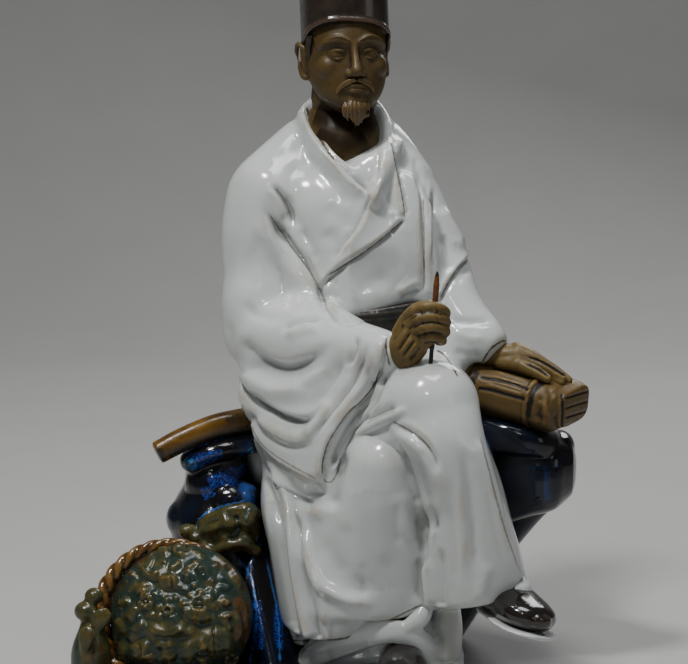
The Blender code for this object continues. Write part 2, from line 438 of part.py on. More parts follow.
F, E, B = "fold", "edge", "bump"
ROBE_WORK = [
    # chest: the arm creases
    (F, [(256, 198), (275, 222), (292, 245), (308, 266), (318, 285), (326, 302), (336, 318), (348, 328)], 5.0, -2.2, (0.3, 0.15)),
    (E, [(262, 206), (275, 220), (292, 242), (308, 262), (318, 281), (326, 300)], 1.5, 1.8, (0.3, 0.1), 11),
    (F, [(252, 215), (268, 240), (290, 270), (306, 292)], 8, 1.0),
    (F, [(270, 182), (282, 196), (290, 210), (294, 228)], 4.2, -1.5),
    (E, [(270, 181), (283, 195), (291, 209), (294, 226)], 1.2, 0.9, (0.3, 0.3), 8),
    (F, [(266, 184), (276, 200), (284, 222)], 5, 1.0),
    (F, [(300, 225), (310, 245), (320, 262)], 5, -0.8),
    (F, [(295, 222), (304, 240), (316, 260)], 4, 0.7),
    (F, [(318, 168), (334, 188), (352, 205)], 9, -1.1),
    (F, [(333, 166), (347, 184), (358, 198)], 8, 0.8),
    (F, [(298, 150), (306, 178), (318, 204)], 9, -0.9),
    (F, [(325, 228), (336, 246), (338, 262)], 8, -0.8),
    (F, [(352, 292), (372, 284), (392, 276)], 9, -0.9),
    (F, [(305, 140), (318, 160), (336, 182)], 5, 0.6),
    (F, [(324, 205), (345, 222), (352, 232)], 9, -0.6),
    # lapels
    (E, [(318, 294), (328, 278), (343, 264), (360, 253), (378, 241), (392, 229), (403, 219)], 1.3, 2.1, (0.12, 0.02), 14),
    (E, [(405, 216), (402, 198), (397, 172), (391, 142), (385, 120)], 1.3, 1.9, (0.04, 0.1), 9),
    (E, [(382, 118), (382, 150), (379, 176), (371, 200), (359, 227), (344, 248), (331, 268)], 1.3, 1.7, (0.05, 0.3), 9),
    (E, [(368, 194), (352, 180), (337, 163), (323, 147), (311, 129), (303, 108)], 1.3, 1.9, (0.1, 0.03), 8),
    (F, [(376, 178), (374, 190), (369, 200)], 3.4, 1.2),
    # between trunk and left arm
    (F, [(420, 162), (423, 200), (424, 240), (425, 270), (424, 296)], 2.2, -1.9, (0.25, 0.1)),
    (F, [(429, 176), (430, 220), (430, 266)], 2.2, 1.0),
    (F, [(434.5, 185), (434, 230), (433, 274)], 2.2, -1.3),
    (F, [(414, 156), (418, 172), (421, 192)], 3, -0.8),
    (F, [(440, 205), (452, 228), (466, 250)], 7, 2.2),
    (F, [(443, 232), (448, 252), (446, 276)], 6, -1.0),
    (E, [(438, 302), (446, 286), (457, 269), (471, 253)], 1.4, 2.0, (0.1, 0.02), 14),
    (F, [(455, 285), (462, 275), (472, 268)], 4, -0.8),
    (F, [(398, 301), (411, 293), (425, 287)], 2.4, -1.1),
    (F, [(396, 294), (408, 286), (420, 280)], 3, 0.8),
    (F, [(326, 280), (331, 300), (340, 318)], 4, 1.2),
    (F, [(345, 262), (338, 276), (334, 290)], 4, -0.7),
    # left forearm
    (F, [(446, 318), (462, 322), (482, 322), (496, 320)], 4, -1.0),
    (F, [(450, 330), (468, 338), (488, 338)], 5, 0.8),
    (F, [(452, 350), (470, 356), (482, 352)], 4, -0.8),
    # right sleeve
    (F, [(280, 333), (290, 325), (306, 320), (324, 319)], 2.8, -1.6),
    (F, [(284, 339), (300, 330), (324, 328)], 5, 1.0),
    (F, [(240, 336), (250, 352), (266, 364), (286, 369), (306, 363), (324, 350), (338, 338)], 6.6, -2.8, (0.15, 0.4)),
    (F, [(236, 354), (252, 376), (274, 390), (300, 389), (322, 375), (342, 354)], 9.5, 3.0),
    (E, [(236, 372), (248, 388), (262, 401), (280, 412), (300, 418), (314, 414), (330, 398)], 2.0, 2.6, (0.1, 0.45), 14),
    (F, [(238, 378), (250, 394), (266, 407), (284, 418), (304, 422), (318, 414)], 5.4, -2.4, (0.12, 0.3)),
    (F, [(312, 412), (328, 396), (342, 372), (350, 350)], 7, -1.6, (0.3, 0.3)),
    (F, [(244, 398), (260, 418), (282, 434), (304, 437), (324, 420), (342, 396)], 8, 1.6),
    (F, [(246, 408), (262, 430), (286, 446), (306, 446), (318, 434)], 4, -1.2),
    (F, [(228, 318), (231, 345), (238, 372)], 5, -0.9),
    (F, [(262, 232), (250, 262), (246, 292)], 9, -0.7),
    (F, [(240, 300), (256, 314), (276, 318), (292, 312)], 6, -0.8),
    (F, [(300, 392), (318, 384), (334, 372)], 6, -1.0),
    (F, [(357, 334), (355, 352), (349, 368)], 3.2, -1.6),
    (F, [(352, 350), (346, 374), (332, 396), (314, 418)], 5.5, 1.8),
    (F, [(366, 338), (363.5, 360), (355, 382), (342, 401), (325, 421), (306, 446)], 3.4, -1.9),
    (F, [(373, 342), (370, 364), (361, 384), (346, 403), (328, 428)], 4.2, 1.3),
    (F, [(300, 440), (316, 424), (334, 404)], 5, 1.0),
    (E, [(248, 420), (257, 439), (271, 454), (290, 467), (308, 477), (324, 484)], 1.3, 2.3, (0.05, 0.05), 12),
    (E, [(262, 456), (276, 478), (292, 491), (310, 499), (326, 498), (338, 490)], 2.2, 1.5, (0.15, 0.4), 12),
    # cuff
    (E, [(323, 479), (322.5, 464), (327, 446), (336, 430), (348, 413), (362, 400), (374, 385), (381, 365), (386, 338)], 1.3, 2.2, (0.06, 0.05), 10),
    (F, [(331, 470), (336, 454), (345, 435), (358, 416), (370, 401), (379, 384)], 4.5, -2.4, (0.12, 0.2)),
    (E, [(334, 478), (339, 466), (344, 450), (354, 431), (367, 413), (378, 393), (385, 374)], 1.3, 2.0, (0.15, 0.05), 8),
    # lap
    (F, [(352, 440), (362, 431), (378, 422), (394, 415), (409, 408)], 3.2, 2.2, (0.2, 0.2)),
    (F, [(362, 424), (380, 414), (398, 405)], 4, -1.5),
    (F, [(366, 438), (382, 430), (396, 428)], 5, -0.9),
    (F, [(388, 426), (404, 432), (419, 444), (431, 460), (439, 480), (441, 500), (437, 518)], 8, 2.6, (0.15, 0.12)),
    (F, [(392, 421), (410, 430), (424, 441), (434, 455), (442, 474)], 2.6, -2.2),
    (F, [(402, 448), (413, 464), (420, 484), (425, 506), (430, 536)], 8.5, -2.6, (0.3, 0.1)),
    (F, [(424, 447), (433, 462), (438, 472)], 2, -0.8),
    (B, (429, 532), (9, 17), -6.5),
    (B, (428, 507), (10, 10), 1.8),
    (F, [(428, 555), (429, 580), (430, 606)], 4.2, 2.4, (0.3, 0.02)),
    (F, [(418, 552), (419, 580), (418, 602)], 4.5, -1.0),
    (F, [(440, 545), (441, 580), (440, 606)], 5, -1.6, (0.3, 0.02)),
    (B, (384, 456), (34, 30), 3.2),
    (F, [(348, 448), (340, 468), (335, 490), (331, 514)], 6, -2.6),
    (F, [(398, 490), (404, 515), (410, 540)], 9, 1.2),
    (F, [(345, 520), (342, 550), (345, 580)], 10, -0.9),
    (F, [(378, 490), (380, 530), (384, 570)], 9, 0.8),
    (F, [(396, 500), (397, 520), (399, 548)], 4, -0.7),
    (F, [(362, 560), (363, 580), (364, 600)], 5, -0.6),
    # hollow and sweep at the left of the skirt
    (F, [(299, 530), (304, 556), (316, 578), (334, 593), (356, 601), (380, 603)], 6.5, 2.6),
    (F, [(322, 528), (327, 552), (340, 572), (358, 585), (382, 589)], 9, -1.6),
    (B, (313, 512), (17, 8), 2.2),
    (B, (316, 494), (14, 6), -2.0),
    (F, [(268, 468), (281, 484), (290, 508), (293, 540), (297, 575), (304, 612), (310, 638)], 4.6, 3.4, (0.1, 0.02)),
    (F, [(262, 474), (272, 496), (279, 524), (284, 560), (291, 605), (296, 640)], 2.8, -2.6, (0.1, 0.02)),
    (F, [(292, 500), (300, 530), (305, 570), (313, 612), (319, 640)], 3.4, -2.4, (0.2, 0.02)),
    (F, [(303, 520), (311, 560), (322, 604), (328, 640)], 4.0, 1.6, (0.2, 0.02)),
    (F, [(264, 480), (268, 520), (275, 580), (284, 632)], 4, 1.0),
    # right leg
    (F, [(462, 440), (471, 500), (474, 545), (473, 585)], 6.5, -1.4),
    (F, [(450, 500), (455, 545), (457, 590)], 5, -0.7),
    (F, [(459, 470), (463, 520), (466, 580)], 5, 0.5),
    (E, [(524, 582), (513, 556), (501, 520), (490, 478), (479, 436)], 1.3, 1.8, (0.03, 0.1), 8),
    (F, [(486, 438), (499, 480), (509, 520), (519, 556)], 1.8, -0.9),
    (F, [(488, 560), (484, 580), (476, 604)], 6, 0.8),
]
# seen from behind and from the sides: plainer
BACK_WORK = [
    (180, [
        (F, [(-20, -232), (-24, -200), (-22, -170), (-12, -145)], 4, -1.3),
        (F, [(18, -232), (26, -200), (26, -170), (18, -142)], 4, -1.3),
        (F, [(2, -236), (0, -205), (2, -175)], 6, -0.8),
        (F, [(-40, -150), (-20, -134), (6, -130), (30, -138)], 4, -1.6),
        (F, [(-44, -138), (-20, -122), (8, -119), (34, -128)], 5, 1.3),
        (F, [(-30, -120), (-34, -95), (-38, -70)], 4, -1.6),
        (F, [(-12, -116), (-14, -90), (-16, -62)], 4, -1.3),
        (F, [(8, -116), (10, -90), (10, -62)], 4, -1.5),
        (F, [(28, -122), (32, -95), (36, -66)], 4, -1.5),
        (F, [(-22, -118), (-25, -92), (-28, -64)], 5, 1.2),
        (F, [(18, -118), (21, -92), (24, -64)], 5, 1.2),
        (F, [(58, -196), (60, -160), (52, -130)], 4, -1.2),
    ]),
    (270, [
        (F, [(-14, -222), (-10, -195), (-8, -165), (-12, -138)], 4, -1.2),
        (F, [(6, -215), (10, -185), (8, -150)], 5, -1.0),
        (F, [(-30, -140), (-10, -124), (14, -122), (36, -132)], 4, -1.6),
        (F, [(-34, -128), (-10, -112), (16, -110), (38, -120)], 5, 1.2),
        (F, [(-26, -104), (-4, -96), (20, -98), (38, -108)], 4, -1.5),
        (F, [(-6, -212), (0, -190), (0, -160)], 5, 0.8),
    ]),
    (90, [
        (F, [(-10, -222), (-8, -195), (-12, -168)], 4, -1.2),
        (F, [(8, -215), (4, -190), (-4, -166)], 4, 0.9),
        (F, [(26, -110), (20, -80), (14, -50)], 4, -1.5),
        (F, [(38, -118), (34, -85), (30, -52)], 4, -1.2),
        (F, [(50, -122), (48, -90), (46, -58)], 4, -1.0),
        (F, [(32, -112), (27, -82), (22, -50)], 4, 1.0),
    ]),
]


def work(tool, rows, gain=1.0, widen=1.0, least=0.0):
    """Carves a list of folds, layer edges and bumps."""
    for i, row in enumerate(rows):
        kind, points, width, height = row[:4]
        if abs(height) < least:
            continue
        if kind == B:
            tool.bump(points[0], points[1], width, height * gain)
        elif kind == F:
            tool.fold(points, width * widen, height * gain, row[4] if len(row) > 4 else (0.25, 0.25))
        else:
            tool.edge(points, width * widen, height * gain, row[5] * max(widen, 1), row[4])
        if i % 12 == 11:
            tool.look()
    return tool


def carve_robe(skin, gain=1.0, widen=1.0, least=0.0):
    work(Tool(skin), ROBE_WORK, gain, widen, least)
    for azimuth, rows in BACK_WORK:
        work(Tool(skin, azimuth), rows, gain, widen, least)
    return skin


# ---------------------------------------------------------------- head
HEAD_AT = W(346, 55, 3)
HEAD_TURN = np.array(Euler((math.radians(-3), math.radians(-1.5), math.radians(11))).to_matrix())


def HD(x, y, z):
    """A point of the head, from the middle of the eye line: x to its left, y back, z up."""
    return HEAD_AT + HEAD_TURN @ np.array([x, y, z], float)


def HV(x, y, z):
    return HEAD_TURN @ np.array([x, y, z], float)


def head_clay(fine=True):
    c = Clay()
    rows = [  # level, half width, front, back
        (22, 11, -10, 13), (16, 15.5, -17, 18.5), (10, 17.4, -19.6, 21.5), (5, 17.8, -20.2, 22.8), (0, 17.4, -19.0, 23), (-5, 17.2, -19.4, 21.5),
        (-10, 16.6, -19.6, 17), (-15, 14.9, -19.6, 11), (-19, 12.4, -19.2, 5), (-22.5, 8.8, -18.0, 0), (-24.5, 5.4, -16.5, -4)]
    c.loft([(HD(0, (f + b) / 2, z), HV(w, 0, 0), HV(0, (b - f) / 2, 0)) for z, w, f, b in rows], steps=3, segs=40, cap=(0.5, 0.3), power=2.15, name="skull")
    # neck down into the collar
    c.limb([HD(0, 7, -8), HD(0, 7, -24), W(345, 130, 7), W(346, 156, 5)], [(13.5, 13), (12.6, 12.5), (13.5, 12.5), (11, 12)], name="neck")
    c.loft([(W(342, 112, 9), (14.6, 0, 0), (0, 12, 0)), (W(343, 130, 5), (16, 0, 0), (0, 13, 0)), (W(345, 150, 3), (14.5, 0, 0), (0, 13.5, 0)), (W(347, 168, 4), (10, 0, 0), (0, 12, 0))], steps=6, cap=(0.5, 0.3), name="chest")
    # brow, nose, cheeks, chin
    for s in (-1, 1):
        c.limb([HD(s * 2.4, -19.9, 4.8), HD(s * 6.5, -19.2, 6.2), HD(s * 11.5, -16.0, 5.4), HD(s * 14.4, -12.0, 3)], [1.3, 1.7, 1.5, 1.0], name="brow")
        c.ball(HD(s * 9.0, -11.4, -5.4), (6.6, 6.2, 6.4), name="cheek")
        c.ball(HD(s * 6.7, -15.9, 0.0), (3.9, 3.3, 2.7), name="eyeball")
        c.ball(HD(s * 2.9, -21.0, -8.6), (1.75, 2.3, 1.7), name="nostril")
    c.loft([(HD(0, -19.2, 4.6), HV(1.9, 0, 0), HV(0, 1.6, 0)), (HD(0, -19.9, 1), HV(1.6, 0, 0), HV(0, 1.8, 0)), (HD(0, -21.4, -3.4), HV(1.9, 0, 0), HV(0, 2.3, 0)),
            (HD(0, -22.8, -7.2), HV(2.5, 0, 0), HV(0, 2.7, 0)), (HD(0, -22.3, -8.8), HV(2.4, 0, 0), HV(0, 2.3, 0))], cap=(0.5, 0.7), name="nose")
    c.ball(HD(0, -17.4, -20.2), (5.6, 3.2, 4.4), name="chin")
    c.ball(HD(0, -17.6, -14.6), (6.4, 3.4, 4.6), name="muzzle")
    # ears
    for s in (-1, 1):
        c.ball(HD(s * 17.9, 4.2, -2.2), (1.3, 4.0, 6.6), (0, s * 10, 0), name="ear")
        c.limb([HD(s * 17.6, 0.6, 0.5), HD(s * 19.3, 2.0, 4.6), HD(s * 20.2, 5.4, 5.4), HD(s * 20.2, 8.2, 2.0), HD(s * 19.4, 7.4, -3.2), HD(s * 18.4, 4.2, -8.0), HD(s * 17.6, 2.6, -9.2)],
               [0.9, 1.1, 1.2, 1.2, 1.1, 1.7, 1.6], segs=12, name="ear_rim")
    return c


def face_detail_clay(c):
    """Lids, lips, whiskers: only as fine mesh."""
    for s in (-1, 1):
        up = [HD(s * x, y, z) for x, y, z in ((2.9, -17.6, -0.6), (4.6, -18.7, 1.0), (6.9, -18.7, 1.45), (9.2, -17.2, 0.8), (10.9, -15.2, -0.6))]
        lo = [HD(s * x, y, z) for x, y, z in ((3.2, -17.6, -0.9), (5.0, -18.2, -1.7), (7.0, -18.2, -2.0), (9.0, -16.9, -1.6), (10.5, -15.3, -0.8))]
        c.limb(up, [0.45, 0.75, 0.85, 0.75, 0.45], segs=10, steps=4, name="lid")
        c.limb(lo, [0.35, 0.5, 0.55, 0.5, 0.35], segs=10, steps=4, name="lid")
        c.limb([HD(s * 2.6, -20.8, 5.6), HD(s * 6.6, -20.4, 7.2), HD(s * 11.2, -17.2, 6.2), HD(s * 13.6, -14.2, 4.2)], [0.5, 0.8, 0.7, 0.3], segs=10, name="eyebrow")
    c.limb([HD(-5.0, -18.9, -14.4), HD(-2.2, -20.9, -13.7), HD(0, -21.1, -14.0), HD(2.2, -20.9, -13.7), HD(5.0, -18.9, -14.4)], [0.5, 1.0, 0.95, 1.0, 0.5], segs=10, name="lip_up")
    c.limb([HD(-4.2, -19.0, -14.9), HD(-1.8, -20.6, -15.8), HD(1.8, -20.6, -15.8), HD(4.2, -19.0, -14.9)], [0.5, 1.15, 1.15, 0.5], segs=10, name="lip_low")
    return c


def beard_clay(strands=True):
    """Moustache, its two falling ends, and the pointed beard under the chin."""
    c = Clay()
    c.loft([(HD(0, -18.2, -18.6), HV(3.6, 0, 0), HV(0, 1.8, 0)), (HD(0, -18.0, -22), HV(4.8, 0, 0), HV(0, 2.6, 0)), (HD(0.2, -17.4, -25), HV(4.2, 0, 0), HV(0, 2.4, 0)),
            (HD(0.4, -16.8, -28), HV(2.6, 0, 0), HV(0, 1.8, 0)), (HD(0.8, -16.2, -30.0), HV(0.9, 0, 0), HV(0, 0.8, 0))], cap=(0.4, 0.9), name="beard")
    for s in (-1, 1):
        c.limb([HD(s * 0.8, -21.7, -11.5), HD(s * 3.4, -21.2, -12.0), HD(s * 6.2, -19.6, -13.6), HD(s * 8.0, -18.0, -16.4)], [(0.7, 0.8), (0.7, 1.1), (0.6, 1.0), (0.4, 0.5)], segs=12, name="moustache")
    if strands:
        rng = np.random.RandomState(4)
        for i in range(13):  # locks of the beard
            a = -1 + 2 * i / 12
            x0, x1, x2 = 3.8 * a, 5.6 * a, 4.4 * a + rng.uniform(-0.6, 0.6)
            y0 = -20.4 + 2.4 * a * a + rng.uniform(-0.35, 0.25)
            end = -30.5 + 4.5 * abs(a) ** 1.4 + rng.uniform(-1.8, 0.8)
            c.limb([HD(x0, y0 + 0.5, -18.4 + rng.uniform(-0.5, 0.7)), HD(x1, y0 - 0.6, -22.6), HD(x1 * 0.92 + rng.uniform(-0.3, 0.3), y0 + 0.4, -26.6), HD(x2 * 0.8 + 0.4, y0 + 2.2, end)], [0.3, 0.55, 0.5, 0.18], segs=8, steps=4, name="lock")
        for s in (-1, 1):
            for k in range(6):
                o = (k - 2.5) * 0.36
                c.limb([HD(s * (0.8 + 0.1 * k), -22.1 + 0.1 * abs(o), -11.3 + o * 0.5), HD(s * (3.5 + 0.2 * o), -21.7 + 0.1 * abs(o), -12.1 + o * 0.9),
                        HD(s * (6.3 + 0.3 * o), -20.1 + 0.25 * abs(o), -13.8 + o * 0.7), HD(s * (8.2 + 0.4 * o), -18.4 + 0.3 * abs(o), -16.8 + 0.3 * k)],
                       [0.25, 0.4, 0.36, 0.12], segs=8, steps=4, name="whisker")
    return c


RIM_TILT = math.radians(24)


def hat_clay():
    """A tall stiff cap: squarish plan, its rim high in front and low behind."""
    c = Clay()
    secs = []
    for k, (h, grow) in enumerate(((0, 1.0), (0.35, 1.0), (0.7, 1.0), (0.93, 1.0), (1.0, 0.97))):
        tilt = RIM_TILT * (1 - h)
        mid = HD(0, 1.0 + 0.6 * h, 4.2 + h * 32.8)
        secs.append((mid, HV(18.5 * grow, 0, -1.6 * (1 - h)), HV(0, 21.0 * grow / max(math.cos(tilt), 0.5) * math.cos(tilt), -22.2 * grow * math.tan(tilt))))
    c.loft(secs, steps=6, segs=64, cap=(0.05, 0.1), power=2.7, name="cap")
    rim = []
    for t in np.linspace(0.5 * np.pi - 0.1, 2.5 * np.pi + 0.1, 53):
        cs, sn = math.cos(t), math.sin(t)
        k = 2 / 2.7
        x = np.sign(cs) * abs(cs) ** k * 18.4
        y = np.sign(sn) * abs(sn) ** k * 20.9
        rim.append(HD(x, 1.0 + y, 5.2 - y * math.tan(RIM_TILT) - 0.083 * x))
    c.limb(rim, [(0.9, 1.2)] * len(rim), side=HV(0, 0.45, 0.9), steps=1, segs=10, cap=0.1, name="rim")
    return c


def hair_clay():
    """Hair under the cap, over the temples and down to the nape."""
    c = Clay()
    c.loft([(HD(0, 3, 10), HV(17.6, 0, 0), HV(0, 19.6, 0)), (HD(0, 6.2, 2), HV(17.9, 0, 0), HV(0, 17.6, 0)), (HD(0, 8.8, -5), HV(17.2, 0, 0), HV(0, 14.6, 0)),
            (HD(0, 10.6, -12), HV(13.6, 0, 0), HV(0, 9.4, 0)), (HD(0, 11.4, -18), HV(9.6, 0, 0), HV(0, 5.0, 0))], cap=(0.1, 0.6), name="hair")
    for s in (-1, 1):
        c.loft([(HD(s * 17.0, -6.5, 8), HV(1.2, 0, 0), HV(0, 5.6, 0)), (HD(s * 17.1, -3.6, 2.0), HV(0.8, 0, 0), HV(0, 3.4, 0)), (HD(s * 16.9, -1.6, -2.5), HV(0.5, 0, 0), HV(0, 1.2, 0))], cap=0.5, name="temple")
    return c


# ---------------------------------------------------------------- hands
def right_hand_clay(gap=0.0):
    c = Clay()
    c.limb([W(384, 360, -55), W(393, 355, -62), W(404, 345.5, -67), W(414, 336, -70), W(422, 329, -71)], [(5.6, 5.8), (6.0, 6.0), (6.2, 6.9), (5.8, 7.9), (4.4, 8.0)], name="palm")
    c.limb([W(395, 363, -63), W(410, 359, -68), W(421, 349, -70)], [3.4, 3.8, 3.0], name="heel")
    rows = [((406, 317, -70.5), (416, 309.5, -74.5), (429, 306.8, -77), (440, 308.8, -76), (445.5, 313, -72.5), (442.5, 316, -68.5)),
            ((408, 324, -72), (419, 318.5, -76), (432, 316.6, -78), (442, 319.3, -76), (446, 322.8, -72), (441.5, 325, -68)),
            ((411, 332, -72), (421, 328, -76), (433, 326.6, -77.8), (442.5, 329, -75.8), (445.5, 332, -72), (441, 333.5, -68)),
            ((414, 341, -71), (424, 337.5, -74.4), (433, 336.8, -76), (440, 338.4, -74.3), (442.5, 341, -71), (438.5, 342, -67.6))]
    for i, pts in enumerate(rows):
        r = (2.35, 2.35, 2.25, 2.0)[i]
        c.limb([W(*p) for p in pts], [r * 0.95, r * 1.06, r * 1.04, r * 1.02, r * 0.98, r * 0.85], segs=16, name="finger")
        c.ball(W(pts[1][0], pts[1][1], pts[1][2] - 0.3), (r * 1.13,) * 3, name="knuckle")
        c.limb([W(*pts[1]) + (0, 1.2, 0), W(pts[0][0] - 6, pts[0][1] + 9 + 2 * i, -67)], [r * 0.8, r * 0.5], segs=12, name="tendon")
    c.limb([W(400, 333, -67), W(407, 320, -69), W(417, 309, -71), W(430, 304.8, -72)], [3.6, 3.3, 2.8, 2.2], name="thumb")
    return c


# ---------------------------------------------------------------- left hand, laid on the books
def left_hand_clay():
    c = Clay()
    c.limb([W(482, 354, -16), W(496, 355, -18), W(510, 355.5, -20), W(524, 358.5, -21.5), W(534, 362, -23)], [(7.0, 5.4), (7.6, 5.2), (8.0, 5.2), (7.6, 4.8), (6.4, 4.0)], side=(0.15, 0.2, 1), name="palm")
    rows = [((508, 353, -18), (530, 354, -20), (545, 361, -22), (558, 370, -24.5), (569, 378.5, -27.5)),
            ((508, 358, -22), (528, 361, -25), (542, 368, -27.5), (554, 375, -30), (563, 380.5, -32)),
            ((500, 361, -24), (518, 364.5, -28.5), (533, 370.5, -32.5), (547, 378.5, -35.5))]
    c.loft([(W(516, 357, -22), (0, 0, 6.6), (0, 6.0, 0)), (W(534, 362.5, -24.5), (0, 0, 5.6), (0, 6.0, 0)), (W(550, 371, -28), (0, 0, 3.6), (0, 5.0, 0)), (W(563, 378, -29.5), (0, 0, 2.4), (0, 3.8, 0))], cap=0.5, power=2.4, name="wedge")
    for i, pts in enumerate(rows):
        r = (3.0, 2.9, 2.9)[i]
        n = len(pts)
        c.limb([W(*p) for p in pts], [r * 1.1, r * 1.12, r * 1.0, r * 0.92, r * 0.75][:n - 1] + [r * 0.74], segs=16, name="finger")
        c.ball(W(pts[1][0], pts[1][1] - 0.4, pts[1][2] - 0.4), (r * 1.22, r * 1.12, r * 1.12), name="knuckle")
    return c


# ---------------------------------------------------------------- book bundle
BK = W(549, 438, -42)
BK_L = np.array([-38.5, 22, 7.5])
BK_W = np.array([17.5, 24.0, 3.5])
BK_H = np.array([1.0, -4.0, 20.5])


def BP(l, w, h):
    """A point of the book bundle: shares along its length (from the near end), width and height."""
    return BK + BK_L * l + BK_W * w + BK_H * h


def books_clay():
    c = Clay()
    # the soft volumes, showing at the near end
    c.loft([(BP(0.6, 0.56, 0.50), BK_W * 0.44, BK_H * 0.44), (BP(0.12, 0.56, 0.50), BK_W * 0.44, BK_H * 0.44), (BP(-0.03, 0.58, 0.48), BK_W * 0.41, BK_H * 0.385)], steps=3, segs=48, cap=(0.02, 0.14), power=3.6, name="volumes")
    # the slip cover: a pillowed wrap
    c.loft([(BP(1.08, 0.5, 0.48), BK_W * 0.44, BK_H * 0.40), (BP(0.98, 0.5, 0.49), BK_W * 0.50, BK_H * 0.49), (BP(0.65, 0.5, 0.5), BK_W * 0.54, BK_H * 0.54), (BP(0.38, 0.5, 0.5), BK_W * 0.53, BK_H * 0.53), (BP(0.27, 0.5, 0.5), BK_W * 0.505, BK_H * 0.50),
            (BP(0.17, 0.46, 0.48), BK_W * 0.49, BK_H * 0.515), (BP(0.07, 0.42, 0.46), BK_W * 0.42, BK_H * 0.48)],
           steps=5, segs=56, cap=(0.35, 0.35), power=3.0, name="cover")
    t = np.linspace(0, 2 * math.pi, 33)
    for at, wide, r in ((0.27, 0.515, 0.9), (0.95, 0.505, 0.9)):
        k = 2 / 3.2
        ring = [BP(at, 0.5 + wide * np.sign(math.cos(a)) * abs(math.cos(a)) ** k, 0.5 + (wide + 0.005) * np.sign(math.sin(a)) * abs(math.sin(a)) ** k) for a in t]
        c.limb(ring, [(r * 0.7, r * 1.3)] * 33, side=BK_L / np.linalg.norm(BK_L), steps=1, segs=10, cap=0.1, name="band")
    return c


# ---------------------------------------------------------------- rock, bar, basket
def rock_clay():
    c = Clay()
    c.ball((0, 26, 50), (52, 34, 52), name="mass")
    c.ball((-22, 20, 12), (62, 42, 20), name="foot")
    c.ball((10, 4, 8), (40, 40, 14), name="foot")
    # left shoulder of the rock with its ledge
    c.rings([(217, 452, 14, 14.5, 25), (217, 480, 12, 14.5, 27), (213, 508, 8, 18.5, 29), (222, 545, 6, 22, 30), (236, 600, 2, 25, 34), (240, 650, 0, 30, 38), (243, 676, 0, 32, 38)], cap=(0.25, 0.1), power=2.3, name="left_shoulder")
    c.limb([W(190, 461, -8), W(212, 450, -8), W(250, 442, -2), W(300, 432, 20)], [(7, 5.0), (9, 5.2), (9, 5.2), (9, 6)], name="ledge")
    c.ball(W(187, 518, 2), (9.4, 15, 9.5), name="knob")
    c.ball(W(214, 484, -2), (13, 14, 13), name="knob")
    c.loft([(W(211, 458, 0), (12, 0, 0), (0, 12, 0)), (W(213, 486, -1), (11, 0, 0), (0, 12, 0)), (W(209, 506, 0), (14, 0, 0), (0, 13, 0)), (W(208, 530, 0), (15, 0, 0), (0, 14, 0))], power=2.3, name="left_face")
    c.ball(W(232, 500, -8), (13, 12, 10), name="knob")
    # right overhang that carries the books
    c.loft([(W(430, 486, 26), (0, 0, 32), (0, 30, 0)), (W(486, 474, 8), (0, 0, 24), (0, 33, 0)), (W(524, 470, -4), (0, 0, 19), (0, 31, 0)), (W(550, 468, -8), (0, 0, 17), (0, 27, 0)), (W(563, 466, -8), (0, 0, 14), (0, 22, 0))], cap=(0.3, 0.4), power=2.9, name="overhang")
    c.loft([(W(478, 430, -18), (0, 0, 8), (0, 10, 0)), (W(506, 435, -24), (0, 0, 8), (0, 11, 0)), (W(538, 441, -26), (0, 0, 7), (0, 11, 0)), (W(556, 446, -18), (0, 0, 6.5), (0, 12, 0))], cap=0.7, power=2.6, name="brow")
    c.limb([W(546, 482, -8), W(524, 504, -4), W(502, 530, 4)], [10.5, 10, 10], name="under")
    c.ball(W(561, 474, -12), (6, 12, 7), name="boss")
    c.ball(W(560, 446, -10), (6.5, 14, 7), name="boss")
    c.limb([W(530, 484, -4), W(496, 506, 10), W(450, 560, 20), W(405, 620, 22), W(380, 668, 20)], [(13, 14), (17, 18), (21, 24), (24, 27), (28, 32)], name="stem")
    # plinth that everything stands on
    c.loft([((-36, -12, -10), (76, 0, 0), (0, 77, 0)), ((-36, -12, -5), (76, 0, 0), (0, 77, 0)), ((-36, -12, -1.2), (72, 0, 0), (0, 73, 0))], steps=4, segs=56, cap=(0.05, 0.03), power=2.6, name="plinth")
    c.loft([((22, -74, -10), (17, 0, 0), (0, 26, 0)), ((22, -74, -1.2), (15, 0, 0), (0, 24, 0))], segs=32, cap=(0.05, 0.06), power=2.4, name="plinth_toe")
    # low skirt of stone in front
    c.loft([(W(262, 610, -20), (0, 0, 30), (8, 14, 0)), (W(280, 640, -30), (0, 0, 18), (9, 16, 0)), (W(300, 668, -40), (0, 0, 9), (12, 16, 0))], cap=0.5, name="toe")
    c.limb([W(270, 560, -14), W(276, 600, -20), W(284, 650, -28)], [5, 6, 7], name="rib")
    c.limb([W(252, 560, -22), W(256, 600, -28), W(254, 650, -36)], [4, 5, 6], name="rib")
    return c


def bar_clay():
    c = Clay()
    c.limb([W(161, 452, -16), W(182, 440, -13), W(214, 427, -9), W(248, 420, -2), W(300, 412, 26), W(352, 414, 46), W(392, 424, 56)],
           [(4.6, 5.0), (4.8, 5.2), (5.0, 5.4), (5.2, 5.6), (5.2, 5.6), (5.0, 5.4), (4.8, 5.2)], side=(0, 0, 1), segs=20, cap=0.02, power=3.0, name="bar")
    return c


BASKET = W(174, 616, -40)
MOUTH = np.array([-0.16, -0.92, 0.36])  # way the basket's mouth faces
MOUTH /= np.linalg.norm(MOUTH)
MX = np.cross(MOUTH, (0, 0, 1.0)); MX /= np.linalg.norm(MX); MX = -MX if MX[0] < 0 else MX
MZ = np.cross(MX, MOUTH); MZ = -MZ if MZ[2] < 0 else MZ


def BM(x, z, out):
    """A point of the basket: across and up its mouth, and out of it."""
    return BASKET + MX * x + MZ * z + MOUTH * out


HEAP_X, HEAP_Z, HEAP_R, HEAP_H = 4.2, -0.6, 31.6, 19.0


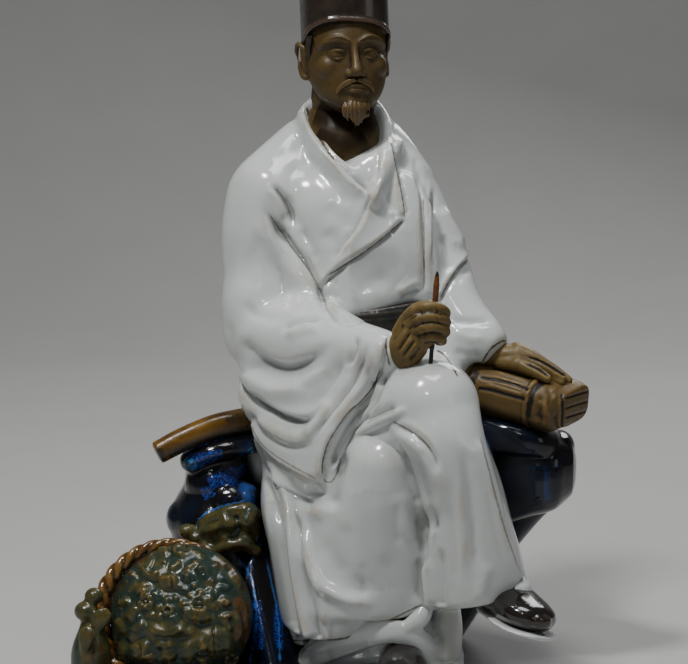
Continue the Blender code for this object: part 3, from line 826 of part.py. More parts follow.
def basket_clay():
    """A round coiled basket with a twisted rope round its mouth."""
    c = Clay()
    c.loft([(BM(-0.5, 0, 2), MX * 31.5, MZ * 31.5), (BM(-0.5, 0, -8), MX * 31.4, MZ * 31), (BM(0, 0, -20), MX * 27.2, MZ * 26.6), (BM(0, 0, -30), MX * 18.8, MZ * 17.8)], segs=48, cap=(0.1, 0.3), name="bowl")
    t = np.linspace(0, 2 * np.pi, 41)
    for out, r in ((-3.5, 31.8), (-7.5, 31.6), (-11.5, 30.8), (-15.5, 29.4), (-19.5, 27.6), (-23.5, 25), (-27.5, 21.6), (-31.5, 17)):
        c.limb([BM(-0.5 + r * math.cos(a), (r - 0.4) * math.sin(a), out) for a in t], [(1.5, 2.1)] * 41, side=MOUTH, steps=1, segs=10, cap=0.1, name="coil")
    n, turns, thick = 240, 10, 1.7
    for strand in range(3):
        rope = []
        for a in np.linspace(-0.05, 2 * math.pi + 0.05, n + 1):
            w = turns * a + strand * 2 * math.pi / 3
            swell = 0.86 + 0.34 * math.cos(a - 3.5)
            r = 31.0 + thick * swell * math.cos(w)
            rope.append((BM(-1.0 + r * math.cos(a), r * math.sin(a), 2.0 + 1.5 * math.cos(a - 3.5) + thick * swell * math.sin(w)), 1.9 * swell))
        c.limb([p for p, r in rope], [r for p, r in rope], side=MOUTH, steps=1, segs=8, cap=0.1, name="rope")
    return c


def leaf(c, at, along, normal, length, width, thick=1.3, curl=0.12, name="leaf"):
    """A pointed, broad-based leaf about a middle point."""
    along = np.asarray(along, float)
    along /= np.linalg.norm(along)
    normal = np.asarray(normal, float) - along * (np.asarray(normal, float) @ along)
    normal /= np.linalg.norm(normal)
    side = np.cross(along, normal)
    rows = [(0.0, 0.42), (0.1, 0.86), (0.3, 1.0), (0.55, 0.82), (0.78, 0.48), (0.93, 0.2), (1.0, 0.08)]
    c.loft([(at + along * (t - 0.45) * length + normal * length * curl * (0.25 - 2.4 * (t - 0.42) ** 2), side * width * 0.5 * w, normal * thick * (0.6 + 0.4 * w)) for t, w in rows],
           steps=3, segs=18, cap=0.5, power=1.8, name=name)
    return at, along, normal, side


def flower(c, at, normal, radius, petals=5, turn=0.0):
    normal = np.asarray(normal, float)
    normal /= np.linalg.norm(normal)
    a = np.cross(normal, (0.1, 0.2, 1.0))
    a /= np.linalg.norm(a)
    b = np.cross(normal, a)
    for k in range(petals):
        t = turn + 2 * math.pi * k / petals
        d = a * math.cos(t) + b * math.sin(t)
        c.ball(at + d * radius * 0.58, (radius * 0.4,) * 3, fine=2, name="petal")
    c.ball(at + normal * radius * 0.25, (radius * 0.32,) * 3, fine=2, name="eye")


def dome(x, z):
    """Height of the heap over the basket's mouth at x, z, and the way it faces."""
    qx, qz = (x - HEAP_X) / HEAP_R, (z - HEAP_Z) / HEAP_R
    r2 = min(qx * qx + qz * qz, 0.95)
    h = HEAP_H * (1 - r2) ** 0.5
    slope = HEAP_H * (1 - r2) ** -0.5 / HEAP_R
    normal = MOUTH + MX * min(max(slope * qx, -2.0), 2.0) + MZ * min(max(slope * qz, -2.0), 2.0)
    return h, normal / np.linalg.norm(normal)


def on_dome(u, v, lift=0.0):
    x, z = (u - 174) * 0.44, (616 - v) * 0.44
    h, n = dome(x, z)
    return BM(x, z, h + 0.6) + n * lift, n


# leaves in the basket: (u, v, direction on the drawing, length, width, lift)
LEAVES = [(156, 610, (-0.3, -1), 13, 10, 0.6), (148, 566, (-0.85, -0.4), 14, 9, 0.8), (212, 560, (0.9, 0.1), 12, 8, 0.6), (140, 588, (-0.6, -0.8), 14, 10, 0.8), (206, 584, (0.7, -0.6), 13, 9, 0.7),
          (128, 612, (-0.9, -0.4), 13, 9, 0.6), (200, 610, (0.3, -0.95), 17, 11, 1.1), (226, 596, (0.6, -0.8), 13, 8, 0.7), (186, 650, (0.2, -1), 15, 10, 0.8), (232, 622, (0.5, -0.8), 15, 8, 0.8),
          (150, 650, (-0.5, -0.85), 16, 11, 0.8), (128, 640, (-0.7, -0.7), 14, 9, 0.7), (240, 640, (0.4, -0.9), 14, 8, 0.7), (215, 655, (0.25, -0.95), 15, 10, 0.8), (170, 664, (0.0, -1), 15, 11, 0.8),
          (180, 546, (0.1, 1), 10, 7, 0.5), (200, 676, (0.2, -1), 13, 9, 0.6), (138, 674, (-0.5, -0.85), 13, 9, 0.6), (240, 600, (0.5, -0.9), 13, 7, 0.8), (236, 580, (0.7, -0.6), 11, 7, 0.7),
          (160, 552, (-0.5, 0.8), 10, 7, 0.5), (118, 630, (-0.95, 0.1), 11, 7, 0.5), (232, 668, (0.4, -0.9), 13, 8, 0.6), (190, 566, (0.6, -0.7), 9, 6, 0.6)]
BERRIES = [(203, 570, 3.3), (188, 560, 2.2), (180, 568, 1.8), (160, 572, 2.2), (196, 580, 1.7), (140, 570, 2.4), (150, 582, 2.0), (155, 600, 2.4), (184, 598, 2.0), (148, 612, 2.4), (216, 608, 2.2), (134, 600, 2.2), (178, 616, 2.4),
           (126, 626, 2.2), (160, 640, 2.2), (206, 640, 2.2), (142, 660, 2.4), (172, 606, 2.0)]


def rosette(c, u, v, size, count, turn):
    """Small leaves spread round a bud, close to the heap."""
    at, n = on_dome(u, v, 0.2)
    for k in range(count):
        t = turn + 2 * math.pi * k / count
        d = MX * math.cos(t) + MZ * math.sin(t)
        leaf(c, at + d * size * 0.5 + n * 0.3, d, n, size, size * 0.72, thick=1.5, curl=0.12)
    c.ball(at + n * 1.6, (1.4, 1.4, 1.4), fine=2, name="eye")


def herbs_clay(fine=True):
    """The heap of leaves, fruit and flowers that fills the basket."""
    c = Clay()
    levels = [(BM(HEAP_X, HEAP_Z, -8), MX * 27, MZ * 27)]
    for r in (0.985, 0.93, 0.82, 0.66, 0.46, 0.24):
        levels.append((BM(HEAP_X, HEAP_Z, HEAP_H * (1 - r * r) ** 0.5), MX * HEAP_R * r, MZ * HEAP_R * r))
    c.loft(levels, steps=3, segs=48, cap=(0.2, 0.15), name="heap")
    rng = np.random.RandomState(11)
    for u, v, d, length, width, lift in LEAVES:
        at, n = on_dome(u, v, lift - 0.5)
        at, along, n, side = leaf(c, at, MX * d[0] + MZ * d[1], n + rng.uniform(-0.06, 0.06, 3), length * 0.9, width * 1.1, thick=1.6, curl=0.14)
        c.limb([at - along * length * 0.36 + n * 1.0, at + n * 1.6, at + along * length * 0.38], [0.5, 0.7, 0.45], segs=8, name="vein")
    for u, v, r in BERRIES:
        at, n = on_dome(u, v, r * 0.3)
        c.ball(at, (r * 0.85,) * 3, fine=2, name="berry")
    for u, v, size, count in ((150, 632, 8.5, 5), (188, 632, 9, 6), (222, 634, 7.5, 5), (222, 574, 7, 5), (138, 574, 7, 5), (170, 592, 7, 5), (208, 600, 7.5, 5), (126, 606, 6.5, 5), (174, 556, 6, 5), (200, 660, 8, 5), (164, 664, 8, 5)):
        rosette(c, u, v, size, count, 0.013 * u + 0.01 * v)
    return c


def sprays_clay():
    c = Clay()
    # at the left of the basket: a gourd bottle with small fruit over it
    c.limb([W(92, 676, -48), W(91, 650, -50), W(92, 628, -50)], [(9, 9), (8.4, 8.6), (5.6, 6)], name="gourd")
    c.ball(W(86, 611, -50), (5.2, 5.4, 4.4), name="gourd")
    c.ball(W(94, 596, -48), (4.2, 4.6, 3.7), name="gourd")
    leaf(c, W(100, 622, -54), (-0.5, -0.1, -1), (0.1, -1, 0.1), 14, 8)
    leaf(c, W(86, 640, -58), (-0.2, -0.1, -1), (-0.4, -1, 0.1), 13, 8)
    # on the rock above: a crumpled leaf with curled edges
    c.ball(W(229, 528, -20), (14.5, 8.5, 11.5), (0, -8, 0), name="leaf_body")
    c.ball(W(238, 534, -21), (9, 7, 8), name="leaf_body")
    c.limb([W(200, 524, -20), W(214, 514, -24), W(232, 508, -26), W(250, 505, -25), W(257, 512, -23)], [(2.2, 3.0), (2.6, 3.6), (3, 4), (3, 4), (2.4, 3)], name="leaf_edge")
    c.limb([W(250, 512, -27), W(246, 524, -28.5), W(244, 536, -27.5), W(252, 547, -26)], [(3.4, 3.4), (3.8, 3.6), (3.4, 3), (2.6, 2.2)], name="leaf_fold")
    c.limb([W(224, 514, -26), W(230, 526, -29), W(226, 538, -28)], [(2.8, 2.6), (3.4, 2.8), (2.4, 2.0)], name="leaf_fold")
    c.limb([W(202, 532, -24), W(214, 528, -27.5), W(226, 522, -28)], [(2.0, 1.8), (2.6, 2.0), (1.8, 1.6)], name="leaf_fold")
    c.limb([W(199, 541, -24), W(212, 551, -27), W(226, 546, -29), W(240, 543, -29), W(257, 550, -26)], [(1.8, 1.8), (2.2, 2.2), (2.0, 2.2), (2.2, 2.0), (2.2, 2.4)], name="leaf_edge")
    for u, v in ((246, 549), (251, 552), (256, 553)):
        c.ball(W(u, v, -27), (1.7, 1.9, 1.6), fine=2, name="bud")
    c.ball(W(187, 531, -22), (4.2, 4, 3.4), name="bud")
    c.ball(W(196, 538, -24), (3.0, 3, 2.6), name="bud")
    return c


# ---------------------------------------------------------------- shoes and belt
def shoe(c, heel, toe, up, width, height, name):
    heel, toe, up = (np.asarray(x, float) for x in (heel, toe, up))
    d = toe - heel
    length = np.linalg.norm(d)
    d /= length
    up = up - d * (up @ d)
    up /= np.linalg.norm(up)
    side = np.cross(d, up)
    rows = [(0.0, 0.80, 1.0, 0.0), (0.3, 0.90, 1.06, 0.0), (0.6, 1.0, 0.90, -0.06), (0.82, 0.97, 0.74, -0.10), (0.97, 0.74, 0.60, -0.12), (1.06, 0.40, 0.40, -0.12)]
    c.loft([(heel + d * length * t + up * height * lift, side * width * w, up * height * h) for t, w, h, lift in rows], cap=(0.6, 0.7), power=2.2, name=name)
    return heel, d, up, side, length


def sole(c, heel, d, up, side, length, width, height, thick, name="sole"):
    rows = [(-0.10, 0.62), (0.1, 0.92), (0.35, 1.0), (0.62, 1.14), (0.84, 1.14), (1.02, 0.90), (1.14, 0.45)]
    c.loft([(heel + d * length * t - up * (height + thick * 0.1), side * width * w, up * thick) for t, w in rows], cap=(0.3, 0.3), power=2.6, segs=24, name=name)


SHOES = [dict(heel=W(499, 592, -66), toe=W(541, 617, -95), up=(0.42, -0.40, 0.80), width=10.4, height=8.2),
         dict(heel=W(398, 652, -60), toe=W(403, 675, -94), up=(0, 0, 1), width=11.0, height=8.8)]


def shoes_clay():
    c = Clay()
    for s in SHOES:
        shoe(c, name="upper", **s)
    return c


def soles_clay():
    c = Clay()
    for s in SHOES:
        t = Clay()
        k = shoe(t, name="x", **s)
        sole(c, *k, s["width"] * 0.96, s["height"] * 0.76, 1.5)
    return c


def socks_clay():
    c = Clay()
    c.limb([W(500, 570, -62), W(508, 584, -70), W(517, 591, -77)], [9, 8.8, 6.6], name="sock")
    c.limb([W(392, 640, -55), W(396, 655, -62)], [11, 9], name="sock")
    return c


def trouser_clay():
    """Hem of the trousers over the left shoe, with its turned band, and the fold beside it."""
    c = Clay()
    band = [W(302, 668, -44), W(316, 655, -54), W(350, 641, -64), W(380, 632, -71), (W(406, 634, -72)), W(428, 648, -68), W(446, 670, -60)]
    c.limb(band, [(2.3, 4.4), (2.5, 5.2), (2.5, 5.4), (2.5, 5.4), (2.5, 5.2), (2.5, 5.2), (2.3, 5)], side=(0, 0, 1), steps=6, name="band")
    c.limb([W(310, 662, -40), W(340, 646, -48), W(384, 632, -55), W(420, 638, -53), W(438, 660, -48)], [7, 11, 14, 14, 12], name="hem")
    c.rings([(446, 604, -58, 6, 10), (446, 628, -58, 7, 10), (444, 654, -58, 7.5, 10)], cap=0.5, name="leg")
    c.limb([W(428, 600, -66), W(420, 618, -70), W(406, 628, -72)], [3.6, 4.2, 3.0], name="tongue")
    return c


def belt_clay():
    c = Clay()
    c.loft([(W(383, 335, 0), (31.8, 0, 1), (0, 29.8, 0)), (W(382, 324, 0), (31.2, 0, 2), (0, 29.4, 0)), (W(381, 312, 0), (30.6, 0, 3), (0, 29, 0)), (W(380, 300, 0), (29, 0, 4), (0, 28, 0))], segs=56, cap=(0.03, 0.03), name="belt")
    for k in range(5):  # ribs of the woven band
        c.loft([(W(382.6 - 0.5 * k, 331.5 - 6.2 * k, 0), (32.0 - 0.35 * k, 0, 1.2 + 0.5 * k), (0, 30.0 - 0.3 * k, 0)), (W(382.5 - 0.5 * k, 329 - 6.2 * k, 0), (32.0 - 0.35 * k, 0, 1.2 + 0.5 * k), (0, 30.0 - 0.3 * k, 0))], steps=2, segs=56, cap=(0.03, 0.03), name="rib")
    return c


BRUSH_TOP, BRUSH_END = W(437.5, 270, -73.5), W(430.5, 366, -71.5)


def brush_clay(grow=0.0):
    """The writing brush: a thin handle, a bound shoulder and a pointed tip of hair."""
    c = Clay()
    d = BRUSH_TOP - BRUSH_END
    length = np.linalg.norm(d)
    rows = [(0.0, 0.9), (0.03, 1.05), (0.17, 1.05), (0.21, 1.3), (0.5, 1.35), (0.80, 1.45), (0.855, 1.5), (0.87, 1.3), (0.93, 1.05), (0.985, 0.4)]
    c.limb([BRUSH_END + d * t for t, r in rows], [r + grow for t, r in rows], side=(1, 0, 0), steps=4, segs=16, cap=0.5, name="brush")
    return c


# ---------------------------------------------------------------- the part
VOXEL = 1.4          # mm, grain of the pressed clay
FIGURE_FACES = 9300  # triangles kept for the fired piece
BRUSH_GAP = 0.3      # mm of air round the brush in the fist
BASE_Z = -7.0        # the piece is ground flat here


def glaze(name, colour, rough, metal=0.0):
    m = bpy.data.materials.new(name)
    m.use_nodes = True
    b = m.node_tree.nodes["Principled BSDF"]
    b.inputs["Base Color"].default_value = (*colour, 1)
    b.inputs["Roughness"].default_value = rough
    b.inputs["Metallic"].default_value = metal
    m.diffuse_color = (*colour, 1)
    return m


def merged(*clays):
    out = Clay()
    for c in clays:
        n = sum(len(x) for x in out.v)
        out.v += c.v
        out.f += [[i + n for i in f] for f in c.f]
    return out


def cut(mesh, other, operation="DIFFERENCE"):
    tool = bpy.data.objects.new("tool", other)
    bpy.context.scene.collection.objects.link(tool)
    out = evaluated(mesh, ("BOOLEAN", {"operation": operation, "object": tool, "solver": "EXACT"}))
    bpy.data.objects.remove(tool)
    return out


def triangles(mesh):
    return evaluated(mesh, ("TRIANGULATE", {}))


def main():
    for ob in list(bpy.data.objects):
        bpy.data.objects.remove(ob, do_unlink=True)
    robe = pressed(robe_clay(), VOXEL).smooth(14, hold=False)
    carve_robe(robe, 1.15, 1.15, 1.0)
    robe.store()
    everything = merged(head_clay(), beard_clay(False), hat_clay(), hair_clay(), right_hand_clay(), left_hand_clay(), books_clay(), rock_clay(), bar_clay(),
                        basket_clay(), herbs_clay(), sprays_clay(), shoes_clay(), soles_clay(), socks_clay(), belt_clay(), trouser_clay())
    robe_faces = [list(p.vertices) for p in robe.mesh.polygons]
    everything.add(robe.p, robe_faces, "robe")
    skin = pressed(everything, VOXEL).smooth(2)
    skin.store()
    slab = Clay()
    slab.block([(-400, -400, -100), (400, -400, -100), (400, 400, -100), (-400, 400, -100), (-400, -400, BASE_Z), (400, -400, BASE_Z), (400, 400, BASE_Z), (-400, 400, BASE_Z)])
    faces = sum(len(p.vertices) - 2 for p in skin.mesh.polygons)
    body = evaluated(skin.mesh, ("DECIMATE", {"ratio": FIGURE_FACES / faces, "use_collapse_triangulate": True}))
    brush, hole = brush_clay().mesh("brush"), brush_clay(BRUSH_GAP).mesh("hole")
    body = triangles(cut(cut(body, slab.mesh()), hole))
    body = largest_shell(body)
    co = np.array([v.co for v in body.vertices])
    lo, hi = co.min(0), co.max(0)
    shift = Vector((-(lo[0] + hi[0]) / 2, -(lo[1] + hi[1]) / 2, -lo[2]))
    print("shift mm", tuple(round(x, 3) for x in shift), "size mm", tuple(round(float(x), 2) for x in hi - lo))
    for name, mesh, mat in (("figure", body, glaze("white_glaze", (0.62, 0.64, 0.62), 0.18)), ("brush", triangles(brush), glaze("brown_clay", (0.26, 0.11, 0.03), 0.35))):
        mesh.transform(Matrix.Scale(0.001, 4) @ Matrix.Translation(shift))
        mesh.materials.clear()
        mesh.materials.append(mat)
        ob = bpy.data.objects.new(name, mesh)
        ob.data.name = name
        bpy.context.scene.collection.objects.link(ob)
        print(name, len(mesh.polygons), "faces")


main()
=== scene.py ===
"""Looks of the porcelain scholar figure: fine clay, glazes, studio and camera."""
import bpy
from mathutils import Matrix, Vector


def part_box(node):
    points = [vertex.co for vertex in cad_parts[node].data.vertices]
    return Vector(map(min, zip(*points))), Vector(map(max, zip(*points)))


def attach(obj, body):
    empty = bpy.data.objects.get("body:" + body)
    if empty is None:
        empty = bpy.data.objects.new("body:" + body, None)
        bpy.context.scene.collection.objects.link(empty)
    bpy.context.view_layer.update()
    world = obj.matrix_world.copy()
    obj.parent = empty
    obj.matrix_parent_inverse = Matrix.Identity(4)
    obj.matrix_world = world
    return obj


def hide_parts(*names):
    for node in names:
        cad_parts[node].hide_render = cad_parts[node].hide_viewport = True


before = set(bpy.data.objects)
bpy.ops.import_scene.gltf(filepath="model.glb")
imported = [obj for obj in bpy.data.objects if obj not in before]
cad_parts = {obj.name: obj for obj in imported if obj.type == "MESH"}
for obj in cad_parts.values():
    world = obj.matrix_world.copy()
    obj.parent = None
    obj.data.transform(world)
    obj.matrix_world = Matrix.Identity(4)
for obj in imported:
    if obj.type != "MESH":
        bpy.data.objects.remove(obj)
import bpy, bmesh, math
import numpy as np
from mathutils import Vector, Matrix, Euler
from mathutils.bvhtree import BVHTree

# ---------------------------------------------------------------- front drawing
EYE_DIST, EYE_TILT = 1000.0, math.radians(8.0)
UNIT, U0, V0, AIM_Z = 0.44, 344.0, 332.0, 137.0
_c, _s = math.cos(EYE_TILT), math.sin(EYE_TILT)
EYE = np.array([0.0, -EYE_DIST * _c, AIM_Z + EYE_DIST * _s])
FWD, UP, RIGHT = np.array([0, _c, -_s]), np.array([0, _s, _c]), np.array([1.0, 0, 0])
FOCAL = EYE_DIST / UNIT


def W(u, v, y):
    """The point (mm) seen at u, v of the front drawing, at depth y."""
    ray = FWD + (u - U0) / FOCAL * RIGHT + (V0 - v) / FOCAL * UP
    return EYE + (y - EYE[1]) / ray[1] * ray


def seen(p):
    """Where points (mm) fall on the front drawing."""
    d = np.asarray(p, float) - EYE
    w = d @ FWD
    return np.stack([U0 + FOCAL * (d @ RIGHT) / w, V0 - FOCAL * (d @ UP) / w], -1)


# ---------------------------------------------------------------- splines and lofts
def spline(points, steps):
    """Catmull-Rom through rows of numbers, steps to each gap."""
    p = np.asarray(points, float)
    if len(p) < 3:
        t = np.linspace(0, 1, steps + 1)[:, None]
        return p[0] * (1 - t) + p[-1] * t
    q = np.vstack([2 * p[0] - p[1], p, 2 * p[-1] - p[-2]])
    out = []
    for i in range(len(p) - 1):
        a, b, c, d = q[i : i + 4]
        for t in np.linspace(0, 1, steps, endpoint=False):
            out.append(0.5 * (2 * b + (c - a) * t + (2 * a - 5 * b + 4 * c - d) * t * t + (3 * b - a - 3 * c + d) * t**3))
    out.append(p[-1])
    return np.array(out)


class Clay:
    """Closed lumps of clay, in millimetres, to be pressed into one."""

    def __init__(self):
        self.v, self.f, self.lumps = [], [], []

    def add(self, verts, faces, name="lump"):
        n = sum(len(x) for x in self.v)
        self.v.append(np.asarray(verts, float))
        self.f += [[i + n for i in f] for f in faces]
        self.lumps.append((name, n, n + len(verts)))
        return self

    def loft(self, sections, steps=5, segs=28, cap=0.6, power=2.0, name="loft"):
        """Skins sections (centre, half-axis, half-axis), with rounded ends."""
        rows = spline([np.concatenate([np.asarray(x, float) for x in s[:3]]) for s in sections], steps)
        caps = cap if isinstance(cap, (tuple, list)) else (cap, cap)
        t = np.linspace(0, 2 * np.pi, segs, endpoint=False)
        k = 2.0 / power
        cs = np.sign(np.cos(t)) * np.abs(np.cos(t)) ** k
        sn = np.sign(np.sin(t)) * np.abs(np.sin(t)) ** k
        rings = []

        def ring(c, a, b, s=1.0):
            return c + s * (cs[:, None] * a + sn[:, None] * b)

        def end(row, nxt, depth):
            c, a, b = row[:3], row[3:6], row[6:9]
            out = c - nxt[:3]
            out /= max(np.linalg.norm(out), 1e-6)
            r = depth * min(np.linalg.norm(a), np.linalg.norm(b))
            return [ring(c + out * r * math.sin(x), a, b, math.cos(x)) for x in (1.25, 0.9, 0.5)], c + out * r

        first, tip0 = end(rows[0], rows[1], caps[0])
        last, tip1 = end(rows[-1], rows[-2], caps[1])
        rings = first + [ring(r[:3], r[3:6], r[6:9]) for r in rows] + last[::-1]
        verts = np.vstack([tip0[None]] + rings + [tip1[None]])
        faces, n = [], len(rings)
        for j in range(segs):
            j2 = (j + 1) % segs
            faces.append([0, 1 + j2, 1 + j])
            for i in range(n - 1):
                a, b = 1 + i * segs, 1 + (i + 1) * segs
                faces.append([a + j, a + j2, b + j2, b + j])
            a = 1 + (n - 1) * segs
            faces.append([len(verts) - 1, a + j, a + j2])
        return self.add(verts, faces, name)

    def limb(self, points, radii, side=None, steps=5, segs=24, cap=0.9, power=2.0, name="limb"):
        """A tube through points with a radius, or (across, along side) radii, at each."""
        p = np.asarray(points, float)
        tangent = np.gradient(p, axis=0)
        tangent /= np.linalg.norm(tangent, axis=1)[:, None]
        side = np.array([0.0, 0, 1]) if side is None else np.asarray(side, float)
        secs = []
        for q, t, r in zip(p, tangent, radii):
            b = side - t * (side @ t)
            if np.linalg.norm(b) < 0.15:
                b = np.array([0, 1.0, 0]) - t * t[1]
            b /= np.linalg.norm(b)
            a = np.cross(b, t)
            ra, rb = r if isinstance(r, (tuple, list)) else (r, r)
            secs.append((q, a * ra, b * rb))
        return self.loft(secs, steps, segs, cap, power, name)

    def rings(self, rows, steps=5, segs=36, cap=0.35, power=2.0, name="rings"):
        """Level rings (u, v, depth, half width, half depth) up or down a column."""
        return self.loft([(W(u, v, y), (a, 0, 0), (0, b, 0)) for u, v, y, a, b in rows], steps, segs, cap, power, name)

    def ball(self, centre, radii, turn=(0, 0, 0), fine=3, name="ball"):
        bm = bmesh.new()
        bmesh.ops.create_icosphere(bm, subdivisions=fine, radius=1.0)
        m = np.array(Euler([math.radians(x) for x in turn]).to_matrix())
        v = np.array([x.co for x in bm.verts]) * np.asarray(radii, float)
        f = [[x.index for x in y.verts] for y in bm.faces]
        bm.free()
        return self.add(v @ m.T + np.asarray(centre, float), f, name)

    def block(self, corners, name="block"):
        """Eight corners: four below, four above, each in turn."""
        f = [[3, 2, 1, 0], [4, 5, 6, 7], [0, 1, 5, 4], [1, 2, 6, 5], [2, 3, 7, 6], [3, 0, 4, 7]]
        return self.add(corners, f, name)

    def mesh(self, name="clay"):
        me = bpy.data.meshes.new(name)
        me.from_pydata(np.vstack(self.v).tolist(), [], self.f)
        me.validate()
        return me


# ---------------------------------------------------------------- surface work
class Skin:
    """A mesh held as arrays: points (mm), faces padded to four corners, and edges."""

    def __init__(self, mesh):
        self.mesh = mesh
        n = len(mesh.vertices)
        self.p = np.empty(n * 3, np.float32)
        mesh.vertices.foreach_get("co", self.p)
        self.p = self.p.reshape(-1, 3).astype(float)
        self.e = np.empty(len(mesh.edges) * 2, np.int32)
        mesh.edges.foreach_get("vertices", self.e)
        self.e = self.e.reshape(-1, 2)
        mesh.calc_loop_triangles()
        t = np.empty(len(mesh.loop_triangles) * 3, np.int32)
        mesh.loop_triangles.foreach_get("vertices", t)
        self.t = t.reshape(-1, 3)
        self.deg = np.bincount(self.e.ravel(), minlength=n).astype(float)
        self.deg[self.deg == 0] = 1
        self.attr = {}

    def normals(self):
        a, b, c = (self.p[self.t[:, i]] for i in range(3))
        fn = np.cross(b - a, c - a)
        out = np.zeros_like(self.p)
        for k in range(3):
            for i in range(3):
                out[:, k] += np.bincount(self.t[:, i], weights=fn[:, k], minlength=len(self.p))
        return out / np.maximum(np.linalg.norm(out, axis=1), 1e-9)[:, None]

    def mean(self, x):
        out = np.zeros_like(x)
        i, j = self.e[:, 0], self.e[:, 1]
        n = len(self.p)
        if x.ndim == 1:
            return (np.bincount(i, x[j], n) + np.bincount(j, x[i], n)) / self.deg
        for k in range(x.shape[1]):
            out[:, k] = (np.bincount(i, x[j, k], n) + np.bincount(j, x[i, k], n)) / self.deg
        return out

    def smooth(self, times, mask=None, hold=True):
        """Evens the surface, and with hold keeps its size."""
        for _ in range(times):
            for step in (0.5, -0.52) if hold else (0.5,):
                d = step * (self.mean(self.p) - self.p)
                self.p += d if mask is None else d * mask[:, None]
        return self

    def store(self):
        self.mesh.vertices.foreach_set("co", self.p.astype(np.float32).ravel())
        for k, x in self.attr.items():
            a = self.mesh.attributes.get(k) or self.mesh.attributes.new(k, "FLOAT", "POINT")
            a.data.foreach_set("value", x.astype(np.float32))
        self.mesh.update()
        return self.mesh


def evaluated(mesh, *mods):
    """The mesh after these modifiers, each a (type, settings) pair."""
    ob = bpy.data.objects.new("work", mesh)
    bpy.context.scene.collection.objects.link(ob)
    for kind, settings in mods:
        m = ob.modifiers.new(kind, kind)
        for k, x in settings.items():
            setattr(m, k, x)
    dg = bpy.context.evaluated_depsgraph_get()
    out = bpy.data.meshes.new_from_object(ob.evaluated_get(dg))
    bpy.data.objects.remove(ob)
    return out


def largest_shell(mesh):
    """Drops sealed inner shells and crumbs: keeps the biggest connected one."""
    n = len(mesh.vertices)
    e = np.empty(len(mesh.edges) * 2, np.int32)
    mesh.edges.foreach_get("vertices", e)
    e = e.reshape(-1, 2)
    label = np.arange(n)
    while True:
        low = np.minimum(label[e[:, 0]], label[e[:, 1]])
        new = label.copy()
        np.minimum.at(new, e[:, 0], low)
        np.minimum.at(new, e[:, 1], low)
        new = new[new]
        new = new[new]
        if (new == label).all():
            break
        label = new
    best = np.bincount(label).argmax()
    if (label == best).all():
        return mesh
    bm = bmesh.new()
    bm.from_mesh(mesh)
    bm.verts.ensure_lookup_table()
    bmesh.ops.delete(bm, geom=[v for v in bm.verts if label[v.index] != best], context="VERTS")
    bm.to_mesh(mesh)
    bm.free()
    return mesh


def outer_shells(mesh, least=3.0):
    """Drops sealed inner shells and crumbs, and keeps every outer shell."""
    s = Skin(mesh)
    label = np.arange(len(s.p))
    while True:
        low = np.minimum(label[s.e[:, 0]], label[s.e[:, 1]])
        new = label.copy()
        np.minimum.at(new, s.e[:, 0], low)
        np.minimum.at(new, s.e[:, 1], low)
        new = new[new]
        new = new[new]
        if (new == label).all():
            break
        label = new
    a, b, c = (s.p[s.t[:, i]] for i in range(3))
    volume = np.bincount(label[s.t[:, 0]], weights=(a * np.cross(b, c)).sum(1) / 6, minlength=len(s.p))
    bad = volume[label] < least
    if bad.any():
        bm = bmesh.new()
        bm.from_mesh(mesh)
        bm.verts.ensure_lookup_table()
        bmesh.ops.delete(bm, geom=[v for v in bm.verts if bad[v.index]], context="VERTS")
        bm.to_mesh(mesh)
        bm.free()
    return mesh


def pressed(clay, voxel, one=True):
    """All lumps of clay pressed into one closed skin, or with one=False into as many as they make."""
    me = evaluated(clay.mesh(), ("REMESH", {"mode": "VOXEL", "voxel_size": voxel}))
    return Skin(largest_shell(me) if one else outer_shells(me))


def line_field(uv, points, steps=6):
    """For each uv: distance to the line, place along it 0..1, and side (positive to the left as drawn, +v down)."""
    q = spline(points, steps) if len(points) > 2 else np.asarray(points, float)
    seg = np.linalg.norm(np.diff(q, axis=0), axis=1)
    at = np.concatenate([[0], np.cumsum(seg)])
    best = np.full(len(uv), 1e9)
    along = np.zeros(len(uv))
    side = np.zeros(len(uv))
    for i in range(len(q) - 1):
        a, d = q[i], q[i + 1] - q[i]
        l2 = max(d @ d, 1e-9)
        t = np.clip(((uv - a) @ d) / l2, 0, 1)
        w = uv - (a + t[:, None] * d)
        r = np.hypot(w[:, 0], w[:, 1])
        m = r < best
        best[m] = r[m]
        along[m] = (at[i] + t[m] * seg[i]) / at[-1]
        side[m] = np.sign(d[0] * w[m, 1] - d[1] * w[m, 0])
    return best, along, -side, at[-1]


def smoothstep(x):
    x = np.clip(x, 0, 1)
    return x * x * (3 - 2 * x)


